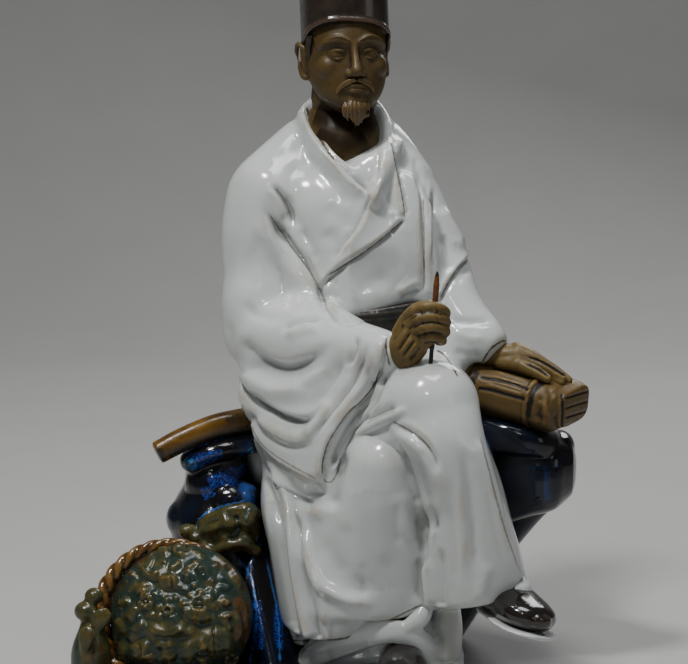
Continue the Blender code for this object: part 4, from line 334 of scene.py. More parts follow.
class Tool:
    """Works a skin along lines of a drawing: front (perspective) or level from any azimuth."""

    def __init__(self, skin, azimuth=None):
        self.s, self.az = skin, azimuth
        self.look()

    def look(self):
        s = self.s
        self.n = s.normals()
        if self.az is None:
            self.uv = seen(s.p)
            d = s.p - EYE
            self.face = -(self.n * d).sum(1) / np.linalg.norm(d, axis=1)
            self.near = d @ FWD
        else:
            a = math.radians(self.az)
            r, f = np.array([math.cos(a), math.sin(a), 0]), np.array([-math.sin(a), math.cos(a), 0])
            self.uv = np.stack([s.p @ r, -s.p[:, 2]], -1)
            self.face = -(self.n @ f)
            self.near = s.p @ f
        return self

    def pick(self, points, reach, depth=None):
        p = np.asarray(points, float)
        lo, hi = p.min(0) - reach, p.max(0) + reach
        m = (self.uv > lo).all(1) & (self.uv < hi).all(1) & (self.face > 0.02)
        if depth is not None:
            m &= (self.s.p[:, 1] > depth[0]) & (self.s.p[:, 1] < depth[1])
        return np.nonzero(m)[0]

    def move(self, idx, amount):
        w = np.clip(self.face[idx] * 2.5, 0, 1)
        self.s.p[idx] += self.n[idx] * (amount * w)[:, None]

    def fold(self, points, width, height, taper=(0.25, 0.25), sharp=False, depth=None):
        """A ridge (height above 0) or a valley (below 0), fading at its ends."""
        idx = self.pick(points, width * 3, depth)
        if not len(idx):
            return self
        d, t, side, _ = line_field(self.uv[idx], points)
        w = np.exp(-d / width) if sharp else np.exp(-((d / width) ** 2))
        k = smoothstep(t / max(taper[0], 1e-3)) * smoothstep((1 - t) / max(taper[1], 1e-3))
        self.move(idx, height * w * k)
        return self

    def edge(self, points, width, height, fall, taper=(0.1, 0.1), depth=None):
        """The edge of a layer: the drawn line's left side stands up by height and sinks back over fall."""
        idx = self.pick(points, fall * 2.5 + width, depth)
        if not len(idx):
            return self
        d, t, side, _ = line_field(self.uv[idx], points)
        s = d * side
        up = smoothstep(s / (2 * width) + 0.5) * np.exp(-np.maximum(s, 0) / fall)
        down = -0.35 * np.exp(-((s + width * 1.2) / (width * 1.6)) ** 2)
        k = smoothstep(t / max(taper[0], 1e-3)) * smoothstep((1 - t) / max(taper[1], 1e-3))
        self.move(idx, height * (up + down) * k)
        return self

    def bump(self, u, v, radius, height, depth=None):
        r = radius if isinstance(radius, (tuple, list)) else (radius, radius)
        idx = self.pick([(u, v)], max(r) * 2.5, depth)
        if len(idx):
            q = (self.uv[idx] - (u, v)) / r
            self.move(idx, height * np.exp(-(q**2).sum(1)))
        return self

    def paint(self, key, points, width, value, taper=(0.05, 0.05), depth=None):
        idx = self.pick(points, width * 3, depth)
        a = self.s.attr.setdefault(key, np.zeros(len(self.s.p)))
        if len(idx):
            d, t, _, _ = line_field(self.uv[idx], points)
            k = smoothstep(t / max(taper[0], 1e-3)) * smoothstep((1 - t) / max(taper[1], 1e-3))
            a[idx] = np.maximum(a[idx], value * np.exp(-((d / width) ** 2)) * k * np.clip(self.face[idx] * 4, 0, 1))
        return self

    def draw(self, points, width, value, taper=(0.06, 0.06), key="line"):
        """A crisp drawn line: how strong it is near each point, and how many half widths to its side the point lies."""
        a = self.s.attr.setdefault(key, np.zeros(len(self.s.p)))
        at = self.s.attr.setdefault(key + "_at", np.full(len(self.s.p), 12.0))
        reach = width * 2 + 4.5
        idx = self.pick(points, reach + 6)
        if len(idx):
            d, t, side, _ = line_field(self.uv[idx], points)
            k = smoothstep(t / max(taper[0], 1e-3)) * smoothstep((1 - t) / max(taper[1], 1e-3))
            m = value * k * (1 - smoothstep((d - 0.55 * reach) / (0.45 * reach))) * np.clip(self.face[idx] * 4, 0, 1)
            away = d * side / width
            new = (m > a[idx]) | ((a[idx] < 1e-6) & (np.abs(away) < np.abs(at[idx])))
            a[idx[new]] = m[new]
            at[idx[new]] = away[new]
        return self


def robe_clay():
    c = Clay()
    # trunk: chest and blouse down to the girdle, then hips
    c.loft([(W(372, 305, -1), (26, 0, 9), (0, 26, 0)), (W(368, 291, -1), (29.5, 0, 7.5), (0, 27.5, 0)), (W(362, 262, 0), (31, 0, 2), (0, 25, 0)), (W(360, 240, 0), (32, 0, 0), (0, 24.5, 0))], segs=40, cap=(0.25, 0.4), name="pouching")
    c.rings([(364, 270, -1, 30, 25), (362, 250, 0, 31, 24.5), (353, 212, 2, 34, 23.5), (347, 180, 5, 36, 20.5), (345, 160, 9, 30, 15.5), (344, 140, 14, 22, 12.5), (343, 122, 19, 17.5, 10.5)], cap=(0.35, 0.4), name="blouse")
    c.rings([(392, 372, 4, 36, 30), (388, 345, 2, 32, 29), (381, 322, 2, 27, 25.5), (374, 300, 2, 26, 24)], name="hips")
    c.ball(W(350, 302, -17), (10, 8, 10), name="pouch")
    c.ball(W(402, 274, -12), (12, 12, 8), name="pouch")
    # slope of the shoulders
    c.limb([W(303, 130, 16), W(289, 154, 10), W(271, 183, 6)], [7.5, 11.5, 16], cap=0.3, name="slope_r")
    c.limb([W(383, 130, 17), W(391, 153, 11), W(402, 184, 7)], [7.5, 11.5, 14.5], cap=0.3, name="slope_l")
    # collar roll round the back of the neck
    c.limb([W(354, 182, -16), W(331, 160, -11), W(313, 138, 0), W(303.5, 116, 12), W(318, 106, 21), W(345, 104, 24), W(370, 107, 22), W(383, 119, 14), W(388, 145, 0), W(386, 172, -13), W(374, 202, -20)],
           [(2.4, 5), (2.6, 5), (2.8, 5), (2.8, 5), (3, 5.5), (3, 5.5), (3, 5.5), (2.8, 5), (3.0, 6), (3.0, 6.5), (2.6, 6)], name="collar")
    c.loft([(W(366, 154, -3), (17, 0, 7), (0, 10, 0)), (W(361, 168, -5), (18, 0, 6), (0, 11, 0)), (W(355, 186, -6), (19, 0, 2), (0, 12, 0)), (W(352, 210, -7), (20, 0, 0), (0, 13, 0))], cap=(0.25, 0.3), name="inner_front")
    # right arm: shoulder to elbow to wrist, and the wide sleeve that hangs from it
    c.limb([W(305, 176, 8), W(273, 194, 5), W(262, 240, 2), W(262, 290, -1), W(266, 335, -5)], [15, 19.5, 17.5, 18, 19], name="upper_arm_r")
    c.limb([W(290, 225, 0), W(305, 265, -6), W(315, 300, -12)], [13, 13, 13], name="under_arm_r")
    c.limb([W(266, 335, -5), W(300, 343, -24), W(345, 350, -46), W(383, 352, -62)], [19, 17.5, 14, 9.8], name="forearm_r")
    c.limb([W(300, 318, -16), W(330, 330, -34), W(356, 340, -46)], [13, 11, 9], name="forearm_top_r")
    out = np.array([0.80, 0.60, 0])
    c.loft([(W(266, 350, -2), (0, 0, 22), out * 17), (W(276, 385, -12), (2, 0, 27), out * 17), (W(300, 405, -30), (4, 0, 30), out * 15), (W(328, 412, -50), (10, 0, 31), out * 11), (W(352, 409, -62), (14, 0, 32), out * 7)], cap=(0.8, 0.5), name="sleeve_r")
    c.loft([(W(276, 420, 0), (0, 0, 20), out * 14), (W(296, 440, -22), (4, 0, 20), out * 14), (W(318, 448, -40), (8, 0, 20), out * 12)], cap=(0.8, 0.8), name="sleeve_back_r")
    # left arm
    c.limb([W(384, 164, 10), W(401, 192, 6), W(419, 228, 3), W(433, 254, 1), W(440, 278, -2)], [12.5, 15, 15, 14.5, 13.5], name="upper_arm_l")
    c.limb([W(440, 275, 0), W(452, 304, -8), W(468, 326, -14), W(485, 341, -20), W(493.5, 350, -23)], [14.5, 13, 11.8, 10.2, 8.6], cap=(0.9, 0.25), name="forearm_l")
    c.loft([(W(448, 325, -10), (10, 0, 18), (4, 13, 0)), (W(460, 341, -16), (9, 0, 15), (4, 12, 0)), (W(472, 350, -19), (6, 0, 11.5), (3, 10, 0))], cap=(0.6, 0.3), name="sleeve_l")
    c.limb([W(478, 322, -13), W(492, 331, -15), W(506, 340, -16)], [(6, 5), (5.5, 4), (3.5, 2)], name="cuff_l")
    c.limb([W(400, 190, -6), W(408, 225, -9), W(413, 260, -11), W(418, 292, -11)], [11, 12.5, 12.5, 11], name="under_arm_l")
    # right thigh crossed over the left, knees and shins under the cloth
    c.limb([W(300, 452, 14), W(350, 432, -20), W(400, 414, -50), W(434, 406, -68)], [26, 25, 22, 20], name="thigh_r")
    c.limb([W(424, 440, 18), W(406, 458, -20), W(384, 464, -56)], [25, 22, 20], name="thigh_l")
    c.limb([W(412, 384, 10), W(424, 394, -20), W(430, 402, -52)], [25, 20, 16], name="lap")
    c.ball((6, 26, 92), (48, 38, 38), name="seat")
    c.loft([(W(436, 405, -70), (18, 0, 0), (0, 17, 0)), (W(445, 440, -76), (17, 0, 0), (0, 16, 0)), (W(459, 490, -76), (17.5, 0, 0), (0, 15, 0)), (W(472, 545, -74), (19.5, 0, 0), (0, 15, 0)), (W(480, 597, -71), (20.5, 0, 4), (0, 15, 0))], cap=(0.9, 0.1), name="shin_r")
    c.rings([(446, 425, -34, 14.5, 34), (461, 475, -40, 16.5, 34), (471, 520, -44, 17.5, 32), (481, 566, -46, 19, 26)], cap=(0.6, 0.3), name="fall_l")
    c.rings([(384, 456, -58, 17, 19), (380, 495, -61, 21, 18), (374, 535, -60, 25, 18), (367, 580, -58, 28, 19), (361, 610, -56, 28, 20)], cap=(0.8, 0.05), name="shin_l")
    c.rings([(304, 462, -10, 18, 30), (318, 505, -24, 25, 36), (331, 545, -31, 27, 38), (335, 590, -33, 25.5, 38), (329, 620, -34, 20.5, 36)], cap=(0.6, 0.05), name="skirt_r")
    c.rings([(424, 455, -50, 16, 20), (425, 510, -52, 17, 20), (423, 560, -52, 18, 20), (418, 598, -52, 16, 20)], cap=(0.6, 0.2), name="skirt_mid")
    c.limb([W(312, 470, -30), W(340, 478, -45), W(372, 480, -56)], [15, 16, 17], name="lap_fill")
    c.limb([W(352, 470, -54), W(350, 520, -54), W(350, 600, -54)], [14, 17, 18], name="shin_fill")
    c.limb([W(420, 436, -62), W(424, 470, -64), W(428, 500, -62)], [12, 12, 11], name="knee_fill")
    c.rings([(294, 560, -8, 9, 24), (300, 600, -14, 9.3, 26), (303, 631, -18, 8.2, 26)], cap=(0.6, 0.06), name="skirt_edge")
    # cloth behind, over the stone
    c.rings([(352, 330, 20, 40, 20), (352, 400, 32, 46, 25), (350, 470, 41, 49, 27), (348, 530, 45, 50, 27), (346, 566, 46, 51, 27)], cap=(0.5, 0.15), name="back_cloth")
    c.ball(W(345, 120, 18), (15, 9, 16), name="nape")
    return c


F, E, B = "fold", "edge", "bump"
ROBE_WORK = [
    # chest: the arm creases
    (F, [(256, 198), (275, 222), (292, 245), (308, 266), (318, 285), (326, 302), (336, 318), (348, 328)], 5.0, -2.2, (0.3, 0.15)),
    (E, [(262, 206), (275, 220), (292, 242), (308, 262), (318, 281), (326, 300)], 1.5, 1.8, (0.3, 0.1), 11),
    (F, [(252, 215), (268, 240), (290, 270), (306, 292)], 8, 1.0),
    (F, [(270, 182), (282, 196), (290, 210), (294, 228)], 4.2, -1.5),
    (E, [(270, 181), (283, 195), (291, 209), (294, 226)], 1.2, 0.9, (0.3, 0.3), 8),
    (F, [(266, 184), (276, 200), (284, 222)], 5, 1.0),
    (F, [(300, 225), (310, 245), (320, 262)], 5, -0.8),
    (F, [(295, 222), (304, 240), (316, 260)], 4, 0.7),
    (F, [(318, 168), (334, 188), (352, 205)], 9, -0.6),
    (F, [(333, 166), (347, 184), (358, 198)], 8, 0.4),
    (F, [(298, 150), (306, 178), (318, 204)], 9, -0.5),
    (F, [(325, 228), (336, 246), (338, 262)], 8, -0.8),
    (F, [(352, 292), (372, 284), (392, 276)], 9, -0.9),
    (F, [(305, 140), (318, 160), (336, 182)], 5, 0.3),
    (F, [(324, 205), (345, 222), (352, 232)], 9, -0.6),
    # lapels
    (E, [(318, 294), (328, 278), (343, 264), (360, 253), (378, 241), (392, 229), (403, 219)], 1.3, 2.1, (0.12, 0.02), 14),
    (E, [(405, 216), (402, 198), (397, 172), (391, 142), (388, 131)], 1.3, 1.9, (0.04, 0.2), 9),
    (E, [(381.5, 146), (379, 176), (371, 200), (359, 227), (344, 248), (331, 268)], 1.3, 1.7, (0.05, 0.3), 9),
    (E, [(368, 194), (352, 180), (337, 163), (323, 147), (311, 129), (303, 108)], 1.3, 1.9, (0.1, 0.03), 8),
    (F, [(376, 178), (374, 190), (369, 200)], 3.4, 1.2),
    # between trunk and left arm
    (F, [(420, 162), (423, 200), (424, 240), (425, 270), (424, 296)], 2.2, -1.9, (0.25, 0.1)),
    (F, [(429, 176), (430, 220), (430, 266)], 2.2, 1.0),
    (F, [(434.5, 185), (434, 230), (433, 274)], 2.2, -1.3),
    (F, [(414, 156), (418, 172), (421, 192)], 3, -0.8),
    (F, [(440, 205), (452, 228), (466, 250)], 7, 2.2),
    (F, [(443, 232), (448, 252), (446, 276)], 6, -1.0),
    (E, [(438, 302), (446, 286), (457, 269), (471, 253)], 1.4, 2.0, (0.1, 0.02), 14),
    (F, [(455, 285), (462, 275), (472, 268)], 4, -0.8),
    (F, [(398, 301), (411, 293), (425, 287)], 2.4, -1.1),
    (F, [(396, 294), (408, 286), (420, 280)], 3, 0.8),
    (F, [(326, 280), (331, 300), (340, 318)], 4, 1.2),
    (F, [(345, 262), (338, 276), (334, 290)], 4, -0.7),
    # left forearm
    (F, [(446, 318), (462, 322), (482, 322), (496, 320)], 4, -1.0),
    (F, [(450, 330), (468, 338), (488, 338)], 5, 0.8),
    (F, [(452, 350), (470, 356), (482, 352)], 4, -0.8),
    # right sleeve
    (F, [(280, 333), (290, 325), (306, 320), (324, 319)], 2.8, -1.6),
    (F, [(284, 339), (300, 330), (324, 328)], 5, 1.0),
    (F, [(240, 336), (250, 352), (266, 364), (286, 369), (306, 363), (324, 350), (338, 338)], 6.6, -2.8, (0.15, 0.4)),
    (F, [(236, 354), (252, 376), (274, 390), (300, 389), (322, 375), (342, 354)], 9.5, 3.0),
    (E, [(236, 372), (248, 388), (262, 401), (280, 412), (300, 418), (314, 414), (330, 398)], 2.0, 2.6, (0.1, 0.45), 14),
    (F, [(238, 378), (250, 394), (266, 407), (284, 418), (304, 422), (318, 414)], 5.4, -2.4, (0.12, 0.3)),
    (F, [(312, 412), (328, 396), (342, 372), (350, 350)], 7, -1.6, (0.3, 0.3)),
    (F, [(244, 398), (260, 418), (282, 434), (304, 437), (324, 420), (342, 396)], 8, 1.6),
    (F, [(246, 408), (262, 430), (286, 446), (306, 446), (318, 434)], 4, -1.2),
    (F, [(228, 318), (231, 345), (238, 372)], 5, -0.9),
    (F, [(262, 232), (250, 262), (246, 292)], 9, -0.7),
    (F, [(240, 300), (256, 314), (276, 318), (292, 312)], 6, -0.8),
    (F, [(300, 392), (318, 384), (334, 372)], 6, -1.0),
    (F, [(357, 334), (355, 352), (349, 368)], 3.2, -1.6),
    (F, [(352, 350), (346, 374), (332, 396), (314, 418)], 5.5, 1.8),
    (F, [(366, 338), (363.5, 360), (355, 382), (342, 401), (325, 421), (306, 446)], 3.4, -1.9),
    (F, [(373, 342), (370, 364), (361, 384), (346, 403), (328, 428)], 4.2, 1.3),
    (F, [(300, 440), (316, 424), (334, 404)], 5, 1.0),
    (E, [(248, 420), (257, 439), (271, 454), (290, 467), (308, 477), (324, 484)], 1.3, 2.3, (0.05, 0.05), 12),
    (E, [(262, 456), (276, 478), (292, 491), (310, 499), (326, 498), (338, 490)], 2.2, 1.5, (0.15, 0.4), 12),
    # cuff
    (E, [(323, 479), (322.5, 464), (327, 446), (336, 430), (348, 413), (362, 400), (374, 385), (381, 365), (386, 338)], 1.3, 2.2, (0.06, 0.05), 10),
    (F, [(331, 470), (336, 454), (345, 435), (358, 416), (370, 401), (379, 384)], 4.5, -2.4, (0.12, 0.2)),
    (E, [(334, 478), (339, 466), (344, 450), (354, 431), (367, 413), (378, 393), (385, 374)], 1.3, 2.0, (0.15, 0.05), 8),
    # lap
    (F, [(352, 440), (362, 431), (378, 422), (394, 415), (409, 408)], 3.2, 2.2, (0.2, 0.2)),
    (F, [(362, 424), (380, 414), (398, 405)], 4, -1.5),
    (F, [(366, 438), (382, 430), (396, 428)], 5, -0.9),
    (F, [(388, 426), (404, 432), (419, 444), (431, 460), (439, 480), (441, 500), (438, 520)], 9, 2.4, (0.15, 0.4)),
    (F, [(392, 421), (410, 430), (424, 441), (434, 455), (442, 474)], 2.6, -2.2),
    (F, [(402, 448), (413, 464), (420, 484), (425, 506), (430, 536)], 8.5, -2.6, (0.3, 0.1)),
    (F, [(424, 447), (433, 462), (438, 472)], 2, -0.8),
    (B, (425, 528), (10, 22), -3.2),
    (B, (428, 508), (11, 10), 1.4),
    (F, [(427, 556), (428, 580), (429, 606)], 3.6, 3.0, (0.3, 0.02)),
    (F, [(418, 552), (419, 580), (418, 602)], 4.5, -1.0),
    (F, [(440, 545), (441, 580), (440, 606)], 5, -1.6, (0.3, 0.02)),
    (B, (384, 456), (34, 30), 3.2),
    (F, [(348, 448), (340, 468), (335, 490), (331, 514)], 6, -2.6),
    (F, [(398, 490), (404, 515), (410, 540)], 9, 1.2),
    (F, [(345, 520), (342, 550), (345, 580)], 10, -0.9),
    (F, [(378, 490), (380, 530), (384, 570)], 9, 0.8),
    (F, [(396, 500), (397, 520), (399, 548)], 4, -0.7),
    (F, [(362, 560), (363, 580), (364, 600)], 5, -0.6),
    # hollow and sweep at the left of the skirt
    (F, [(299, 530), (304, 556), (316, 578), (334, 593), (356, 601), (380, 603)], 6.5, 2.6),
    (F, [(322, 528), (327, 552), (340, 572), (358, 585), (382, 589)], 9, -1.6),
    (B, (313, 512), (17, 8), 2.2),
    (B, (316, 494), (14, 6), -2.0),
    (F, [(268, 468), (281, 484), (290, 508), (293, 540), (297, 575), (304, 612), (310, 638)], 4.6, 3.4, (0.1, 0.02)),
    (F, [(262, 474), (272, 496), (279, 524), (284, 560), (291, 605), (296, 640)], 2.8, -2.6, (0.1, 0.02)),
    (F, [(292, 500), (300, 530), (305, 570), (313, 612), (319, 640)], 3.4, -2.4, (0.2, 0.02)),
    (F, [(303, 520), (311, 560), (322, 604), (328, 640)], 4.0, 1.6, (0.2, 0.02)),
    (F, [(264, 480), (268, 520), (275, 580), (284, 632)], 4, 1.0),
    # right leg
    (F, [(462, 440), (471, 500), (474, 545), (473, 585)], 6.5, -1.4),
    (F, [(450, 500), (455, 545), (457, 590)], 5, -0.7),
    (F, [(459, 470), (463, 520), (466, 580)], 5, 0.5),
    (E, [(524, 582), (513, 556), (501, 520), (490, 478), (479, 436)], 1.3, 1.8, (0.03, 0.1), 8),
    (F, [(486, 438), (499, 480), (509, 520), (519, 556)], 1.8, -0.9),
    (F, [(488, 560), (484, 580), (476, 604)], 6, 0.8),
]
# seen from behind and from the sides: plainer
BACK_WORK = [
    (180, [
        (F, [(-20, -232), (-24, -200), (-22, -170), (-12, -145)], 4, -1.3),
        (F, [(18, -232), (26, -200), (26, -170), (18, -142)], 4, -1.3),
        (F, [(2, -236), (0, -205), (2, -175)], 6, -0.8),
        (F, [(-40, -150), (-20, -134), (6, -130), (30, -138)], 4, -1.6),
        (F, [(-44, -138), (-20, -122), (8, -119), (34, -128)], 5, 1.3),
        (F, [(-30, -120), (-34, -95), (-38, -70)], 4, -1.6),
        (F, [(-12, -116), (-14, -90), (-16, -62)], 4, -1.3),
        (F, [(8, -116), (10, -90), (10, -62)], 4, -1.5),
        (F, [(28, -122), (32, -95), (36, -66)], 4, -1.5),
        (F, [(-22, -118), (-25, -92), (-28, -64)], 5, 1.2),
        (F, [(18, -118), (21, -92), (24, -64)], 5, 1.2),
        (F, [(58, -196), (60, -160), (52, -130)], 4, -1.2),
    ]),
    (270, [
        (F, [(-14, -222), (-10, -195), (-8, -165), (-12, -138)], 4, -1.2),
        (F, [(6, -215), (10, -185), (8, -150)], 5, -1.0),
        (F, [(-30, -140), (-10, -124), (14, -122), (36, -132)], 4, -1.6),
        (F, [(-34, -128), (-10, -112), (16, -110), (38, -120)], 5, 1.2),
        (F, [(-26, -104), (-4, -96), (20, -98), (38, -108)], 4, -1.5),
        (F, [(-6, -212), (0, -190), (0, -160)], 5, 0.8),
    ]),
    (90, [
        (F, [(-10, -222), (-8, -195), (-12, -168)], 4, -1.2),
        (F, [(8, -215), (4, -190), (-4, -166)], 4, 0.9),
        (F, [(26, -110), (20, -80), (14, -50)], 4, -1.5),
        (F, [(38, -118), (34, -85), (30, -52)], 4, -1.2),
        (F, [(50, -122), (48, -90), (46, -58)], 4, -1.0),
        (F, [(32, -112), (27, -82), (22, -50)], 4, 1.0),
    ]),
]


def work(tool, rows, gain=1.0, widen=1.0, least=0.0):
    """Carves a list of folds, layer edges and bumps."""
    for i, row in enumerate(rows):
        kind, points, width, height = row[:4]
        if abs(height) < least:
            continue
        if kind == B:
            tool.bump(points[0], points[1], width, height * gain)
        elif kind == F:
            tool.fold(points, width * widen, height * gain, row[4] if len(row) > 4 else (0.25, 0.25))
        else:
            tool.edge(points, width * widen, height * gain, row[5] * max(widen, 1), row[4])
        if i % 12 == 11:
            tool.look()
    return tool


def carve_robe(skin, gain=1.0, widen=1.0, least=0.0):
    work(Tool(skin), ROBE_WORK, gain, widen, least)
    for azimuth, rows in BACK_WORK:
        work(Tool(skin, azimuth), rows, gain, widen, least)
    return skin


# ---------------------------------------------------------------- head
HEAD_AT = W(346, 55, 3)
HEAD_TURN = np.array(Euler((math.radians(-3), math.radians(-1.5), math.radians(11))).to_matrix())


def HD(x, y, z):
    """A point of the head, from the middle of the eye line: x to its left, y back, z up."""
    return HEAD_AT + HEAD_TURN @ np.array([x, y, z], float)


def HV(x, y, z):
    return HEAD_TURN @ np.array([x, y, z], float)


def head_clay(fine=True):
    c = Clay()
    rows = [  # level, half width, front, back
        (22, 11, -10, 13), (16, 15.5, -17, 18.5), (10, 17.4, -19.6, 21.5), (5, 17.8, -20.2, 22.8), (0, 17.4, -19.0, 23), (-5, 17.2, -19.4, 21.5),
        (-10, 16.6, -19.6, 17), (-15, 14.9, -19.6, 11), (-19, 12.4, -19.2, 5), (-22.5, 8.8, -18.0, 0), (-24.5, 5.4, -16.5, -4)]
    c.loft([(HD(0, (f + b) / 2, z), HV(w, 0, 0), HV(0, (b - f) / 2, 0)) for z, w, f, b in rows], steps=3, segs=40, cap=(0.5, 0.3), power=2.15, name="skull")
    # neck down into the collar
    c.limb([HD(0, 7, -8), HD(0, 7, -24), W(345, 130, 7), W(346, 156, 5)], [(13.5, 13), (12.6, 12.5), (13.5, 12.5), (11, 12)], name="neck")
    c.loft([(W(342, 112, 9), (14.6, 0, 0), (0, 12, 0)), (W(343, 130, 5), (16, 0, 0), (0, 13, 0)), (W(345, 150, 3), (14.5, 0, 0), (0, 13.5, 0)), (W(347, 168, 4), (10, 0, 0), (0, 12, 0))], steps=6, cap=(0.5, 0.3), name="chest")
    # brow, nose, cheeks, chin
    for s in (-1, 1):
        c.limb([HD(s * 2.4, -19.9, 4.8), HD(s * 6.5, -19.2, 6.2), HD(s * 11.5, -16.0, 5.4), HD(s * 14.4, -12.0, 3)], [1.3, 1.7, 1.5, 1.0], name="brow")
        c.ball(HD(s * 9.0, -11.4, -5.4), (6.6, 6.2, 6.4), name="cheek")
        c.ball(HD(s * 6.7, -15.9, 0.0), (3.9, 3.3, 2.7), name="eyeball")
        c.ball(HD(s * 2.9, -21.0, -8.6), (1.75, 2.3, 1.7), name="nostril")
    c.loft([(HD(0, -19.2, 4.6), HV(1.9, 0, 0), HV(0, 1.6, 0)), (HD(0, -19.9, 1), HV(1.6, 0, 0), HV(0, 1.8, 0)), (HD(0, -21.4, -3.4), HV(1.9, 0, 0), HV(0, 2.3, 0)),
            (HD(0, -22.8, -7.2), HV(2.5, 0, 0), HV(0, 2.7, 0)), (HD(0, -22.3, -8.8), HV(2.4, 0, 0), HV(0, 2.3, 0))], cap=(0.5, 0.7), name="nose")
    c.ball(HD(0, -17.4, -20.2), (5.6, 3.2, 4.4), name="chin")
    c.ball(HD(0, -17.6, -14.6), (6.4, 3.4, 4.6), name="muzzle")
    # ears
    for s in (-1, 1):
        c.ball(HD(s * 17.9, 4.2, -2.2), (1.3, 4.0, 6.6), (0, s * 10, 0), name="ear")
        c.limb([HD(s * 17.6, 0.6, 0.5), HD(s * 19.3, 2.0, 4.6), HD(s * 20.2, 5.4, 5.4), HD(s * 20.2, 8.2, 2.0), HD(s * 19.4, 7.4, -3.2), HD(s * 18.4, 4.2, -8.0), HD(s * 17.6, 2.6, -9.2)],
               [0.9, 1.1, 1.2, 1.2, 1.1, 1.7, 1.6], segs=12, name="ear_rim")
    return c


def face_detail_clay(c):
    """Lids, brows, lips: only as fine mesh."""
    for s in (-1, 1):
        up = [HD(s * x, y, z) for x, y, z in ((2.9, -17.6, -0.6), (4.6, -18.7, 1.0), (6.9, -18.7, 1.45), (9.2, -17.2, 0.8), (10.9, -15.2, -0.6))]
        lo = [HD(s * x, y, z) for x, y, z in ((3.2, -17.6, -0.9), (5.0, -18.2, -1.7), (7.0, -18.2, -2.0), (9.0, -16.9, -1.6), (10.5, -15.3, -0.8))]
        c.limb(up, [0.45, 0.75, 0.85, 0.75, 0.45], segs=10, steps=4, name="lid")
        c.limb(lo, [0.35, 0.5, 0.55, 0.5, 0.35], segs=10, steps=4, name="lid")
        c.limb([HD(s * 2.6, -20.8, 5.6), HD(s * 6.6, -20.4, 7.2), HD(s * 11.2, -17.2, 6.2), HD(s * 13.6, -14.2, 4.2)], [0.5, 0.8, 0.7, 0.3], segs=10, name="eyebrow")
    c.limb([HD(-5.0, -18.9, -14.4), HD(-2.2, -20.9, -13.7), HD(0, -21.1, -14.0), HD(2.2, -20.9, -13.7), HD(5.0, -18.9, -14.4)], [0.5, 1.0, 0.95, 1.0, 0.5], segs=10, name="lip_up")
    c.limb([HD(-4.2, -19.0, -14.9), HD(-1.8, -20.6, -15.8), HD(1.8, -20.6, -15.8), HD(4.2, -19.0, -14.9)], [0.5, 1.15, 1.15, 0.5], segs=10, name="lip_low")
    return c


def beard_clay(strands=True):
    """Moustache, its two falling ends, and the pointed beard under the chin."""
    c = Clay()
    c.loft([(HD(0, -18.2, -18.6), HV(3.6, 0, 0), HV(0, 1.8, 0)), (HD(0, -18.0, -22), HV(4.8, 0, 0), HV(0, 2.6, 0)), (HD(0.2, -17.4, -25), HV(4.2, 0, 0), HV(0, 2.4, 0)),
            (HD(0.4, -16.8, -28), HV(2.6, 0, 0), HV(0, 1.8, 0)), (HD(0.8, -16.2, -30.0), HV(0.9, 0, 0), HV(0, 0.8, 0))], cap=(0.4, 0.9), name="beard")
    for s in (-1, 1):
        c.limb([HD(s * 0.8, -21.7, -11.5), HD(s * 3.4, -21.2, -12.0), HD(s * 6.2, -19.6, -13.6), HD(s * 8.0, -18.0, -16.4)], [(0.7, 0.8), (0.7, 1.1), (0.6, 1.0), (0.4, 0.5)], segs=12, name="moustache")
    if strands:
        rng = np.random.RandomState(4)
        for i in range(13):  # locks of the beard
            a = -1 + 2 * i / 12
            x0, x1, x2 = 3.8 * a, 5.6 * a, 4.4 * a + rng.uniform(-0.6, 0.6)
            y0 = -20.4 + 2.4 * a * a + rng.uniform(-0.35, 0.25)
            end = -30.5 + 4.5 * abs(a) ** 1.4 + rng.uniform(-1.8, 0.8)
            c.limb([HD(x0, y0 + 0.5, -18.4 + rng.uniform(-0.5, 0.7)), HD(x1, y0 - 0.6, -22.6), HD(x1 * 0.92 + rng.uniform(-0.3, 0.3), y0 + 0.4, -26.6), HD(x2 * 0.8 + 0.4, y0 + 2.2, end)], [0.3, 0.55, 0.5, 0.18], segs=8, steps=4, name="lock")
        for s in (-1, 1):
            for k in range(6):
                o = (k - 2.5) * 0.36
                c.limb([HD(s * (0.8 + 0.1 * k), -22.1 + 0.1 * abs(o), -11.3 + o * 0.5), HD(s * (3.5 + 0.2 * o), -21.7 + 0.1 * abs(o), -12.1 + o * 0.9),
                        HD(s * (6.3 + 0.3 * o), -20.1 + 0.25 * abs(o), -13.8 + o * 0.7), HD(s * (8.2 + 0.4 * o), -18.4 + 0.3 * abs(o), -16.8 + 0.3 * k)],
                       [0.25, 0.4, 0.36, 0.12], segs=8, steps=4, name="whisker")
    return c


RIM_TILT = math.radians(24)


